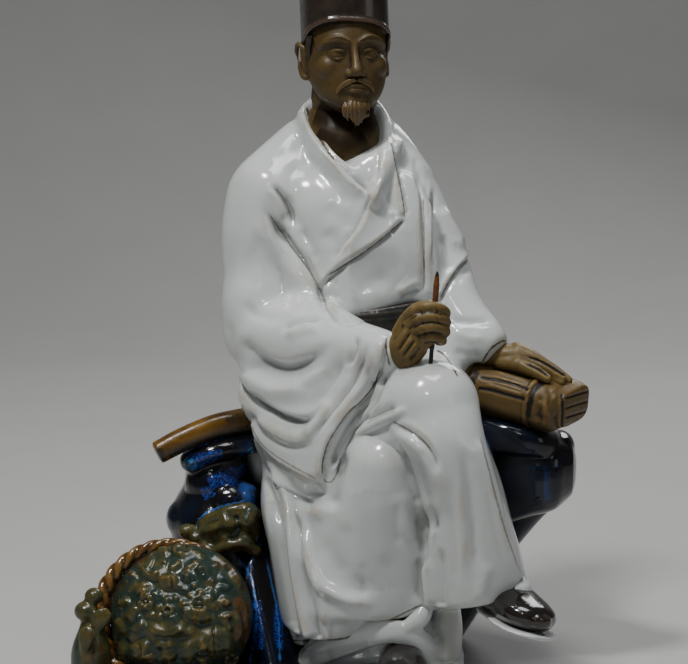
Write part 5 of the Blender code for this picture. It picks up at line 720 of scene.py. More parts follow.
def hat_clay():
    """A tall stiff cap: squarish plan, its rim high in front and low behind."""
    c = Clay()
    secs = []
    for k, (h, grow) in enumerate(((0, 1.0), (0.35, 1.0), (0.7, 1.0), (0.93, 1.0), (1.0, 0.97))):
        tilt = RIM_TILT * (1 - h)
        mid = HD(0, 1.0 + 0.6 * h, 4.2 + h * 32.8)
        secs.append((mid, HV(18.5 * grow, 0, -1.6 * (1 - h)), HV(0, 21.0 * grow / max(math.cos(tilt), 0.5) * math.cos(tilt), -22.2 * grow * math.tan(tilt))))
    c.loft(secs, steps=6, segs=64, cap=(0.05, 0.1), power=2.7, name="cap")
    rim = []
    for t in np.linspace(0.5 * np.pi - 0.1, 2.5 * np.pi + 0.1, 53):
        cs, sn = math.cos(t), math.sin(t)
        k = 2 / 2.7
        x = np.sign(cs) * abs(cs) ** k * 18.4
        y = np.sign(sn) * abs(sn) ** k * 20.9
        rim.append(HD(x, 1.0 + y, 5.2 - y * math.tan(RIM_TILT) - 0.083 * x))
    c.limb(rim, [(0.9, 1.2)] * len(rim), side=HV(0, 0.45, 0.9), steps=1, segs=10, cap=0.1, name="rim")
    return c


def hair_clay():
    """Hair under the cap, over the temples and down to the nape."""
    c = Clay()
    c.loft([(HD(0, 3, 10), HV(17.6, 0, 0), HV(0, 19.6, 0)), (HD(0, 6.2, 2), HV(17.9, 0, 0), HV(0, 17.6, 0)), (HD(0, 8.8, -5), HV(17.2, 0, 0), HV(0, 14.6, 0)),
            (HD(0, 10.6, -12), HV(13.6, 0, 0), HV(0, 9.4, 0)), (HD(0, 11.4, -18), HV(9.6, 0, 0), HV(0, 5.0, 0))], cap=(0.1, 0.6), name="hair")
    for s in (-1, 1):
        c.loft([(HD(s * 17.0, -6.5, 8), HV(1.2, 0, 0), HV(0, 5.6, 0)), (HD(s * 17.1, -3.6, 2.0), HV(0.8, 0, 0), HV(0, 3.4, 0)), (HD(s * 16.9, -1.6, -2.5), HV(0.5, 0, 0), HV(0, 1.2, 0))], cap=0.5, name="temple")
    return c


# ---------------------------------------------------------------- hands
def right_hand_clay(gap=0.0):
    c = Clay()
    c.limb([W(384, 360, -55), W(393, 355, -62), W(404, 345.5, -67), W(414, 336, -70), W(422, 329, -71)], [(5.6, 5.8), (6.0, 6.0), (6.2, 6.9), (5.8, 7.9), (4.4, 8.0)], name="palm")
    c.limb([W(395, 363, -63), W(410, 359, -68), W(421, 349, -70)], [3.4, 3.8, 3.0], name="heel")
    rows = [((406, 317, -70.5), (416, 309.5, -74.5), (429, 306.8, -77), (440, 308.8, -76), (445.5, 313, -72.5), (442.5, 316, -68.5)),
            ((408, 324, -72), (419, 318.5, -76), (432, 316.6, -78), (442, 319.3, -76), (446, 322.8, -72), (441.5, 325, -68)),
            ((411, 332, -72), (421, 328, -76), (433, 326.6, -77.8), (442.5, 329, -75.8), (445.5, 332, -72), (441, 333.5, -68)),
            ((414, 341, -71), (424, 337.5, -74.4), (433, 336.8, -76), (440, 338.4, -74.3), (442.5, 341, -71), (438.5, 342, -67.6))]
    for i, pts in enumerate(rows):
        r = (2.35, 2.35, 2.25, 2.0)[i]
        c.limb([W(*p) for p in pts], [r * 0.95, r * 1.06, r * 1.04, r * 1.02, r * 0.98, r * 0.85], segs=16, name="finger")
        c.ball(W(pts[1][0], pts[1][1], pts[1][2] - 0.3), (r * 1.13,) * 3, name="knuckle")
        c.limb([W(*pts[1]) + (0, 1.2, 0), W(pts[0][0] - 6, pts[0][1] + 9 + 2 * i, -67)], [r * 0.8, r * 0.5], segs=12, name="tendon")
    c.limb([W(400, 333, -67), W(407, 320, -69), W(417, 309, -71), W(430, 304.8, -72)], [3.6, 3.3, 2.8, 2.2], name="thumb")
    return c


# ---------------------------------------------------------------- left hand, laid on the books
def left_hand_clay():
    c = Clay()
    c.limb([W(482, 354, -16), W(496, 355, -18), W(510, 355.5, -20), W(524, 358.5, -21.5), W(534, 362, -23)], [(7.0, 5.4), (7.6, 5.2), (8.0, 5.2), (7.6, 4.8), (6.4, 4.0)], side=(0.15, 0.2, 1), name="palm")
    rows = [((506, 354, -18), (528, 356, -20), (543, 364, -22), (557, 373, -24.5), (568, 380.5, -27.5)),
            ((506, 359, -22), (526, 362.5, -25), (540, 369.5, -27.5), (552, 376.5, -30), (561, 382, -32)),
            ((500, 361, -24), (518, 364.5, -28.5), (533, 370.5, -32.5), (547, 378.5, -35.5))]
    c.loft([(W(516, 357, -22), (0, 0, 6.6), (0, 6.0, 0)), (W(534, 362.5, -24.5), (0, 0, 5.6), (0, 6.0, 0)), (W(550, 371, -28), (0, 0, 3.6), (0, 5.0, 0)), (W(563, 378, -29.5), (0, 0, 2.4), (0, 3.8, 0))], cap=0.5, power=2.4, name="wedge")
    for i, pts in enumerate(rows):
        r = (3.0, 2.9, 2.9)[i]
        n = len(pts)
        c.limb([W(*p) for p in pts], [r * 1.1, r * 1.12, r * 1.0, r * 0.92, r * 0.75][:n - 1] + [r * 0.74], segs=16, name="finger")
        c.ball(W(pts[1][0], pts[1][1] - 0.4, pts[1][2] - 0.4), (r * 1.22, r * 1.12, r * 1.12), name="knuckle")
    return c


# ---------------------------------------------------------------- book bundle
BK = W(549, 438, -42)
BK_L = np.array([-38.5, 22, 7.5])
BK_W = np.array([17.5, 24.0, 3.5])
BK_H = np.array([1.0, -4.0, 20.5])


def BP(l, w, h):
    """A point of the book bundle: shares along its length (from the near end), width and height."""
    return BK + BK_L * l + BK_W * w + BK_H * h


def books_clay():
    c = Clay()
    # the soft volumes, showing at the near end
    c.loft([(BP(0.6, 0.56, 0.50), BK_W * 0.44, BK_H * 0.44), (BP(0.12, 0.56, 0.50), BK_W * 0.44, BK_H * 0.44), (BP(-0.03, 0.58, 0.48), BK_W * 0.41, BK_H * 0.385)], steps=3, segs=48, cap=(0.02, 0.14), power=3.6, name="volumes")
    # the slip cover: a pillowed wrap
    c.loft([(BP(1.08, 0.5, 0.48), BK_W * 0.44, BK_H * 0.40), (BP(0.98, 0.5, 0.49), BK_W * 0.50, BK_H * 0.49), (BP(0.65, 0.5, 0.5), BK_W * 0.54, BK_H * 0.54), (BP(0.38, 0.5, 0.5), BK_W * 0.53, BK_H * 0.53), (BP(0.27, 0.5, 0.5), BK_W * 0.505, BK_H * 0.50),
            (BP(0.17, 0.46, 0.48), BK_W * 0.49, BK_H * 0.515), (BP(0.07, 0.42, 0.46), BK_W * 0.42, BK_H * 0.48)],
           steps=5, segs=56, cap=(0.35, 0.35), power=3.0, name="cover")
    t = np.linspace(0, 2 * math.pi, 33)
    for at, wide, r in ((0.27, 0.515, 0.9), (0.95, 0.505, 0.9)):
        k = 2 / 3.2
        ring = [BP(at, 0.5 + wide * np.sign(math.cos(a)) * abs(math.cos(a)) ** k, 0.5 + (wide + 0.005) * np.sign(math.sin(a)) * abs(math.sin(a)) ** k) for a in t]
        c.limb(ring, [(r * 0.7, r * 1.3)] * 33, side=BK_L / np.linalg.norm(BK_L), steps=1, segs=10, cap=0.1, name="band")
    return c


# ---------------------------------------------------------------- rock, bar, basket
def rock_clay():
    c = Clay()
    c.ball((0, 26, 50), (52, 34, 52), name="mass")
    c.ball((-22, 20, 12), (62, 42, 20), name="foot")
    c.ball((10, 4, 8), (40, 40, 14), name="foot")
    # left shoulder of the rock with its ledge
    c.rings([(217, 452, 14, 14.5, 25), (217, 480, 12, 14.5, 27), (213, 508, 8, 18.5, 29), (222, 545, 6, 22, 30), (236, 600, 2, 25, 34), (240, 650, 0, 30, 38), (243, 676, 0, 32, 38)], cap=(0.25, 0.1), power=2.3, name="left_shoulder")
    c.limb([W(190, 461, -8), W(212, 450, -8), W(250, 442, -2), W(300, 432, 20)], [(7, 5.0), (9, 5.2), (9, 5.2), (9, 6)], name="ledge")
    c.ball(W(187, 518, 2), (9.4, 15, 9.5), name="knob")
    c.ball(W(214, 484, -2), (13, 14, 13), name="knob")
    c.loft([(W(211, 458, 0), (12, 0, 0), (0, 12, 0)), (W(213, 486, -1), (11, 0, 0), (0, 12, 0)), (W(209, 506, 0), (14, 0, 0), (0, 13, 0)), (W(208, 530, 0), (15, 0, 0), (0, 14, 0))], power=2.3, name="left_face")
    c.ball(W(232, 500, -8), (13, 12, 10), name="knob")
    # right overhang that carries the books
    c.loft([(W(430, 486, 26), (0, 0, 32), (0, 30, 0)), (W(486, 474, 8), (0, 0, 24), (0, 33, 0)), (W(524, 470, -4), (0, 0, 19), (0, 31, 0)), (W(550, 468, -8), (0, 0, 17), (0, 27, 0)), (W(563, 466, -8), (0, 0, 14), (0, 22, 0))], cap=(0.3, 0.4), power=2.9, name="overhang")
    c.loft([(W(478, 430, -18), (0, 0, 8), (0, 10, 0)), (W(506, 435, -24), (0, 0, 8), (0, 11, 0)), (W(538, 441, -26), (0, 0, 7), (0, 11, 0)), (W(556, 446, -18), (0, 0, 6.5), (0, 12, 0))], cap=0.7, power=2.6, name="brow")
    c.limb([W(546, 482, -8), W(524, 504, -4), W(502, 530, 4)], [10.5, 10, 10], name="under")
    c.ball(W(561, 474, -12), (6, 12, 7), name="boss")
    c.ball(W(560, 446, -10), (6.5, 14, 7), name="boss")
    c.limb([W(530, 484, -4), W(496, 506, 10), W(450, 560, 20), W(405, 620, 22), W(380, 668, 20)], [(13, 14), (17, 18), (21, 24), (24, 27), (28, 32)], name="stem")
    # plinth that everything stands on
    c.loft([((-36, -12, -10), (76, 0, 0), (0, 77, 0)), ((-36, -12, -5), (76, 0, 0), (0, 77, 0)), ((-36, -12, -1.2), (72, 0, 0), (0, 73, 0))], steps=4, segs=56, cap=(0.05, 0.03), power=2.6, name="plinth")
    c.loft([((22, -74, -10), (17, 0, 0), (0, 26, 0)), ((22, -74, -1.2), (15, 0, 0), (0, 24, 0))], segs=32, cap=(0.05, 0.06), power=2.4, name="plinth_toe")
    # low skirt of stone in front
    c.loft([(W(262, 610, -20), (0, 0, 30), (8, 14, 0)), (W(280, 640, -30), (0, 0, 18), (9, 16, 0)), (W(300, 668, -40), (0, 0, 9), (12, 16, 0))], cap=0.5, name="toe")
    c.limb([W(270, 560, -14), W(276, 600, -20), W(284, 650, -28)], [5, 6, 7], name="rib")
    c.limb([W(252, 560, -22), W(256, 600, -28), W(254, 650, -36)], [4, 5, 6], name="rib")
    return c


def bar_clay():
    c = Clay()
    c.limb([W(157.5, 453, -16), W(182, 440, -13), W(214, 427, -9), W(248, 420, -2), W(300, 412, 26), W(352, 414, 46), W(392, 424, 56)],
           [(4.6, 5.0), (4.8, 5.2), (5.0, 5.4), (5.2, 5.6), (5.2, 5.6), (5.0, 5.4), (4.8, 5.2)], side=(0, 0, 1), segs=24, cap=0.12, power=2.5, name="bar")
    return c


BASKET = W(174, 616, -40)
MOUTH = np.array([-0.16, -0.92, 0.36])  # way the basket's mouth faces
MOUTH /= np.linalg.norm(MOUTH)
MX = np.cross(MOUTH, (0, 0, 1.0)); MX /= np.linalg.norm(MX); MX = -MX if MX[0] < 0 else MX
MZ = np.cross(MX, MOUTH); MZ = -MZ if MZ[2] < 0 else MZ


def BM(x, z, out):
    """A point of the basket: across and up its mouth, and out of it."""
    return BASKET + MX * x + MZ * z + MOUTH * out


HEAP_X, HEAP_Z, HEAP_R, HEAP_H = 4.2, -0.6, 31.6, 19.0


def basket_clay():
    """A round coiled basket with a twisted rope round its mouth."""
    c = Clay()
    c.loft([(BM(-0.5, 0, 2), MX * 31.5, MZ * 31.5), (BM(-0.5, 0, -8), MX * 31.4, MZ * 31), (BM(0, 0, -20), MX * 27.2, MZ * 26.6), (BM(0, 0, -30), MX * 18.8, MZ * 17.8)], segs=48, cap=(0.1, 0.3), name="bowl")
    t = np.linspace(0, 2 * np.pi, 41)
    for out, r in ((-3.5, 31.8), (-7.5, 31.6), (-11.5, 30.8), (-15.5, 29.4), (-19.5, 27.6), (-23.5, 25), (-27.5, 21.6), (-31.5, 17)):
        c.limb([BM(-0.5 + r * math.cos(a), (r - 0.4) * math.sin(a), out) for a in t], [(1.5, 2.1)] * 41, side=MOUTH, steps=1, segs=10, cap=0.1, name="coil")
    n, turns, thick = 240, 10, 1.7
    for strand in range(3):
        rope = []
        for a in np.linspace(-0.05, 2 * math.pi + 0.05, n + 1):
            w = turns * a + strand * 2 * math.pi / 3
            swell = 0.86 + 0.34 * math.cos(a - 3.5)
            r = 31.0 + thick * swell * math.cos(w)
            rope.append((BM(-1.0 + r * math.cos(a), r * math.sin(a), 2.0 + 1.5 * math.cos(a - 3.5) + thick * swell * math.sin(w)), 1.9 * swell))
        c.limb([p for p, r in rope], [r for p, r in rope], side=MOUTH, steps=1, segs=8, cap=0.1, name="rope")
    return c


def leaf(c, at, along, normal, length, width, thick=1.3, curl=0.12, name="leaf"):
    """A pointed, broad-based leaf about a middle point."""
    along = np.asarray(along, float)
    along /= np.linalg.norm(along)
    normal = np.asarray(normal, float) - along * (np.asarray(normal, float) @ along)
    normal /= np.linalg.norm(normal)
    side = np.cross(along, normal)
    rows = [(0.0, 0.42), (0.1, 0.86), (0.3, 1.0), (0.55, 0.82), (0.78, 0.48), (0.93, 0.2), (1.0, 0.08)]
    c.loft([(at + along * (t - 0.45) * length + normal * length * curl * (0.25 - 2.4 * (t - 0.42) ** 2), side * width * 0.5 * w, normal * thick * (0.6 + 0.4 * w)) for t, w in rows],
           steps=3, segs=18, cap=0.5, power=1.8, name=name)
    return at, along, normal, side


def flower(c, at, normal, radius, petals=5, turn=0.0):
    normal = np.asarray(normal, float)
    normal /= np.linalg.norm(normal)
    a = np.cross(normal, (0.1, 0.2, 1.0))
    a /= np.linalg.norm(a)
    b = np.cross(normal, a)
    for k in range(petals):
        t = turn + 2 * math.pi * k / petals
        d = a * math.cos(t) + b * math.sin(t)
        c.ball(at + d * radius * 0.58, (radius * 0.4,) * 3, fine=2, name="petal")
    c.ball(at + normal * radius * 0.25, (radius * 0.32,) * 3, fine=2, name="eye")


def dome(x, z):
    """Height of the heap over the basket's mouth at x, z, and the way it faces."""
    qx, qz = (x - HEAP_X) / HEAP_R, (z - HEAP_Z) / HEAP_R
    r2 = min(qx * qx + qz * qz, 0.95)
    h = HEAP_H * (1 - r2) ** 0.5
    slope = HEAP_H * (1 - r2) ** -0.5 / HEAP_R
    normal = MOUTH + MX * min(max(slope * qx, -2.0), 2.0) + MZ * min(max(slope * qz, -2.0), 2.0)
    return h, normal / np.linalg.norm(normal)


def on_dome(u, v, lift=0.0):
    x, z = (u - 174) * 0.44, (616 - v) * 0.44
    h, n = dome(x, z)
    return BM(x, z, h + 0.6) + n * lift, n


# leaves in the basket: (u, v, direction on the drawing, length, width, lift)
LEAVES = [(156, 610, (-0.3, -1), 13, 10, 0.6), (148, 566, (-0.85, -0.4), 14, 9, 0.8), (212, 560, (0.9, 0.1), 12, 8, 0.6), (140, 588, (-0.6, -0.8), 14, 10, 0.8), (206, 584, (0.7, -0.6), 13, 9, 0.7),
          (128, 612, (-0.9, -0.4), 13, 9, 0.6), (200, 610, (0.3, -0.95), 17, 11, 1.1), (226, 596, (0.6, -0.8), 13, 8, 0.7), (186, 650, (0.2, -1), 15, 10, 0.8), (232, 622, (0.5, -0.8), 15, 8, 0.8),
          (150, 650, (-0.5, -0.85), 16, 11, 0.8), (128, 640, (-0.7, -0.7), 14, 9, 0.7), (240, 640, (0.4, -0.9), 14, 8, 0.7), (215, 655, (0.25, -0.95), 15, 10, 0.8), (170, 664, (0.0, -1), 15, 11, 0.8),
          (180, 546, (0.1, 1), 10, 7, 0.5), (200, 676, (0.2, -1), 13, 9, 0.6), (138, 674, (-0.5, -0.85), 13, 9, 0.6), (240, 600, (0.5, -0.9), 13, 7, 0.8), (236, 580, (0.7, -0.6), 11, 7, 0.7),
          (160, 552, (-0.5, 0.8), 10, 7, 0.5), (118, 630, (-0.95, 0.1), 11, 7, 0.5), (232, 668, (0.4, -0.9), 13, 8, 0.6), (190, 566, (0.6, -0.7), 9, 6, 0.6)]
BERRIES = [(203, 570, 3.3), (188, 560, 2.2), (180, 568, 1.8), (160, 572, 2.2), (196, 580, 1.7), (140, 570, 2.4), (150, 582, 2.0), (155, 600, 2.4), (184, 598, 2.0), (148, 612, 2.4), (216, 608, 2.2), (134, 600, 2.2), (178, 616, 2.4),
           (126, 626, 2.2), (160, 640, 2.2), (206, 640, 2.2), (142, 660, 2.4), (172, 606, 2.0)]


def rosette(c, u, v, size, count, turn):
    """Small leaves spread round a bud, close to the heap."""
    at, n = on_dome(u, v, 0.2)
    for k in range(count):
        t = turn + 2 * math.pi * k / count
        d = MX * math.cos(t) + MZ * math.sin(t)
        leaf(c, at + d * size * 0.5 + n * 0.3, d, n, size, size * 0.72, thick=1.5, curl=0.12)
    c.ball(at + n * 1.6, (1.4, 1.4, 1.4), fine=2, name="eye")


def herbs_clay(fine=True):
    """The heap of leaves, fruit and flowers that fills the basket."""
    c = Clay()
    levels = [(BM(HEAP_X, HEAP_Z, -8), MX * 27, MZ * 27)]
    for r in (0.985, 0.93, 0.82, 0.66, 0.46, 0.24):
        levels.append((BM(HEAP_X, HEAP_Z, HEAP_H * (1 - r * r) ** 0.5), MX * HEAP_R * r, MZ * HEAP_R * r))
    c.loft(levels, steps=3, segs=48, cap=(0.2, 0.15), name="heap")
    rng = np.random.RandomState(11)
    for u, v, d, length, width, lift in LEAVES:
        at, n = on_dome(u, v, lift - 0.5)
        at, along, n, side = leaf(c, at, MX * d[0] + MZ * d[1], n + rng.uniform(-0.06, 0.06, 3), length * 0.9, width * 1.1, thick=1.6, curl=0.14)
        c.limb([at - along * length * 0.36 + n * 1.0, at + n * 1.6, at + along * length * 0.38], [0.5, 0.7, 0.45], segs=8, name="vein")
    for u, v, r in BERRIES:
        at, n = on_dome(u, v, r * 0.3)
        c.ball(at, (r * 0.85,) * 3, fine=2, name="berry")
    for u, v, size, count in ((150, 632, 8.5, 5), (188, 632, 9, 6), (222, 634, 7.5, 5), (222, 574, 7, 5), (138, 574, 7, 5), (170, 592, 7, 5), (208, 600, 7.5, 5), (126, 606, 6.5, 5), (174, 556, 6, 5), (200, 660, 8, 5), (164, 664, 8, 5)):
        rosette(c, u, v, size, count, 0.013 * u + 0.01 * v)
    return c


def sprays_clay():
    c = Clay()
    # at the left of the basket: a gourd bottle with small fruit over it
    c.limb([W(92, 676, -48), W(91, 650, -50), W(92, 628, -50)], [(9, 9), (8.4, 8.6), (5.6, 6)], name="gourd")
    c.ball(W(86, 611, -50), (5.2, 5.4, 4.4), name="gourd")
    c.ball(W(94, 596, -48), (4.2, 4.6, 3.7), name="gourd")
    leaf(c, W(100, 622, -54), (-0.5, -0.1, -1), (0.1, -1, 0.1), 14, 8)
    leaf(c, W(86, 640, -58), (-0.2, -0.1, -1), (-0.4, -1, 0.1), 13, 8)
    # on the rock above: a crumpled leaf with curled edges
    c.ball(W(229, 530, -20), (14.5, 8.5, 10), (0, -8, 0), name="leaf_body")
    c.ball(W(238, 534, -21), (9, 7, 8), name="leaf_body")
    c.limb([W(200, 524, -20), W(214, 517, -24), W(232, 511, -26), W(250, 509, -25), W(257, 515, -23)], [(2.0, 2.2), (2.4, 2.6), (2.8, 3), (2.8, 3), (2.2, 2.6)], name="leaf_edge")
    c.limb([W(250, 512, -27), W(246, 524, -28.5), W(244, 536, -27.5), W(252, 547, -26)], [(3.4, 3.4), (3.8, 3.6), (3.4, 3), (2.6, 2.2)], name="leaf_fold")
    c.limb([W(224, 514, -26), W(230, 526, -29), W(226, 538, -28)], [(2.8, 2.6), (3.4, 2.8), (2.4, 2.0)], name="leaf_fold")
    c.limb([W(202, 532, -24), W(214, 528, -27.5), W(226, 522, -28)], [(2.0, 1.8), (2.6, 2.0), (1.8, 1.6)], name="leaf_fold")
    c.limb([W(199, 541, -24), W(212, 551, -27), W(226, 546, -29), W(240, 543, -29), W(257, 550, -26)], [(1.8, 1.8), (2.2, 2.2), (2.0, 2.2), (2.2, 2.0), (2.2, 2.4)], name="leaf_edge")
    for u, v in ((246, 549), (251, 552), (256, 553)):
        c.ball(W(u, v, -27), (1.7, 1.9, 1.6), fine=2, name="bud")
    c.ball(W(187, 531, -22), (4.2, 4, 3.4), name="bud")
    c.ball(W(196, 538, -24), (3.0, 3, 2.6), name="bud")
    return c


# ---------------------------------------------------------------- shoes and belt
def shoe(c, heel, toe, up, width, height, name):
    heel, toe, up = (np.asarray(x, float) for x in (heel, toe, up))
    d = toe - heel
    length = np.linalg.norm(d)
    d /= length
    up = up - d * (up @ d)
    up /= np.linalg.norm(up)
    side = np.cross(d, up)
    rows = [(0.0, 0.80, 1.0, 0.0), (0.3, 0.90, 1.06, 0.0), (0.6, 1.0, 0.90, -0.06), (0.82, 0.97, 0.74, -0.10), (0.97, 0.74, 0.60, -0.12), (1.06, 0.40, 0.40, -0.12)]
    c.loft([(heel + d * length * t + up * height * lift, side * width * w, up * height * h) for t, w, h, lift in rows], cap=(0.6, 0.7), power=2.2, name=name)
    return heel, d, up, side, length


def sole(c, heel, d, up, side, length, width, height, thick, name="sole"):
    rows = [(-0.10, 0.62), (0.1, 0.92), (0.35, 1.0), (0.62, 1.14), (0.84, 1.14), (1.02, 0.90), (1.14, 0.45)]
    c.loft([(heel + d * length * t - up * (height + thick * 0.1), side * width * w, up * thick) for t, w in rows], cap=(0.3, 0.3), power=2.6, segs=24, name=name)


SHOES = [dict(heel=W(498, 594, -66), toe=W(539.5, 618.5, -95), up=(0.42, -0.40, 0.80), width=12.2, height=8.4),
         dict(heel=W(400, 656, -60), toe=W(405, 679, -94), up=(0, 0, 1), width=11.0, height=8.8)]


def shoes_clay():
    c = Clay()
    for s in SHOES:
        shoe(c, name="upper", **s)
    return c


def soles_clay():
    c = Clay()
    for s in SHOES:
        t = Clay()
        k = shoe(t, name="x", **s)
        sole(c, *k, s["width"] * 0.95, s["height"] * 0.84, 1.0)
    return c


def socks_clay():
    c = Clay()
    c.limb([W(500, 570, -62), W(508, 584, -70), W(517, 591, -77)], [9, 8.8, 6.6], name="sock")
    c.limb([W(392, 640, -55), W(396, 655, -62)], [11, 9], name="sock")
    return c


def trouser_clay():
    """Hem of the trousers over the left shoe, with its turned band, and the fold beside it."""
    c = Clay()
    band = [W(302, 668, -44), W(316, 655, -54), W(350, 641, -64), W(380, 632, -71), (W(406, 634, -72)), W(428, 648, -68), W(446, 670, -60)]
    c.limb(band, [(2.3, 4.4), (2.5, 5.2), (2.5, 5.4), (2.5, 5.4), (2.5, 5.2), (2.5, 5.2), (2.3, 5)], side=(0, 0, 1), steps=6, name="band")
    c.limb([W(310, 662, -40), W(340, 646, -48), W(384, 632, -55), W(420, 638, -53), W(438, 660, -48)], [7, 11, 14, 14, 12], name="hem")
    c.rings([(446, 604, -58, 6, 10), (446, 628, -58, 7, 10), (444, 654, -58, 7.5, 10)], cap=0.5, name="leg")
    c.limb([W(428, 600, -66), W(420, 618, -70), W(406, 628, -72)], [3.6, 4.2, 3.0], name="tongue")
    return c


def belt_clay():
    c = Clay()
    c.loft([(W(381, 335, 2.5), (32.6, 0, 1), (0, 32.3, 0)), (W(380, 324, 2.5), (32.2, 0, 2), (0, 31.9, 0)), (W(379, 312, 2.5), (31.6, 0, 3), (0, 31.5, 0)), (W(378, 300, 2.5), (30, 0, 4), (0, 30.5, 0))], segs=56, cap=(0.03, 0.03), name="belt")
    for k in range(5):  # ribs of the woven band
        c.loft([(W(380.6 - 0.5 * k, 331.5 - 6.2 * k, 2.5), (32.9 - 0.35 * k, 0, 1.2 + 0.5 * k), (0, 32.5 - 0.3 * k, 0)), (W(380.5 - 0.5 * k, 329 - 6.2 * k, 2.5), (32.9 - 0.35 * k, 0, 1.2 + 0.5 * k), (0, 32.5 - 0.3 * k, 0))], steps=2, segs=56, cap=(0.03, 0.03), name="rib")
    return c


BRUSH_TOP, BRUSH_END = W(437.5, 270, -73.5), W(430.5, 366, -71.5)


def brush_clay(grow=0.0):
    """The writing brush: a thin handle, a bound shoulder and a pointed tip of hair."""
    c = Clay()
    d = BRUSH_TOP - BRUSH_END
    length = np.linalg.norm(d)
    rows = [(0.0, 0.9), (0.03, 1.05), (0.17, 1.05), (0.21, 1.3), (0.5, 1.35), (0.80, 1.45), (0.855, 1.5), (0.87, 1.3), (0.93, 1.05), (0.985, 0.4)]
    c.limb([BRUSH_END + d * t for t, r in rows], [r * 0.88 + grow for t, r in rows], side=(1, 0, 0), steps=4, segs=16, cap=0.5, name="brush")
    return c


# ---------------------------------------------------------------- finer clay and its colours
SHIFT = Vector((5.401, 14.227, 7.0))   # mm, from the modelling frame to the row frame
NODE_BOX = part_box("figure")


def attribute(skin, key, values):
    skin.attr[key] = values


def cavity(skin, times=6):
    """How hollow (above 0) or proud (below 0) the surface is, over a small and a wide reach."""
    n = skin.normals()
    out = []
    base = skin.p.copy()
    q = base
    for reach in (times, times * 5):
        for _ in range(reach):
            q = q + 0.5 * (skin.mean(q) - q)
        out.append(((q - base) * n).sum(1))
    return out


def refined(skin, faces):
    """A lighter mesh with the same shape: many faces where it bends, few where it is flat."""
    skin.store()
    count = sum(len(p.vertices) - 2 for p in skin.mesh.polygons)
    me = skin.mesh
    faces = min(faces, int(count * 0.8))
    if count > faces:
        me = evaluated(me, ("DECIMATE", {"ratio": faces / count, "use_collapse_triangulate": True}))
    else:
        me = evaluated(me, ("TRIANGULATE", {}))
    return Skin(me)


def flatten(me):
    """Cuts off what lies below the base plane and closes the cut."""
    bm = bmesh.new()
    bm.from_mesh(me)
    bmesh.ops.bisect_plane(bm, geom=bm.verts[:] + bm.edges[:] + bm.faces[:], plane_co=(0, 0, 0), plane_no=(0, 0, 1), clear_inner=True)
    rim = [e for e in bm.edges if len(e.link_faces) == 1]
    if rim:
        bmesh.ops.triangle_fill(bm, use_beauty=True, edges=rim, normal=(0, 0, -1))
    bm.to_mesh(me)
    bm.free()


def place(name, skin, material, node="figure", sharp=None):
    cav, wide = cavity(skin)
    skin.attr["cav"] = cav
    skin.attr["wide"] = wide
    me = skin.store()
    me.transform(Matrix.Scale(0.001, 4) @ Matrix.Translation(SHIFT))
    if min(v.co.z for v in me.vertices) < 0.0:
        flatten(me)
    me.materials.clear()
    me.materials.append(material)
    me.shade_smooth()
    if sharp:
        me.set_sharp_from_angle(angle=math.radians(sharp))
    me.name = name
    ob = bpy.data.objects.new(name, me)
    bpy.context.scene.collection.objects.link(ob)
    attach(ob, "root")
    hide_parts(node)
    return ob


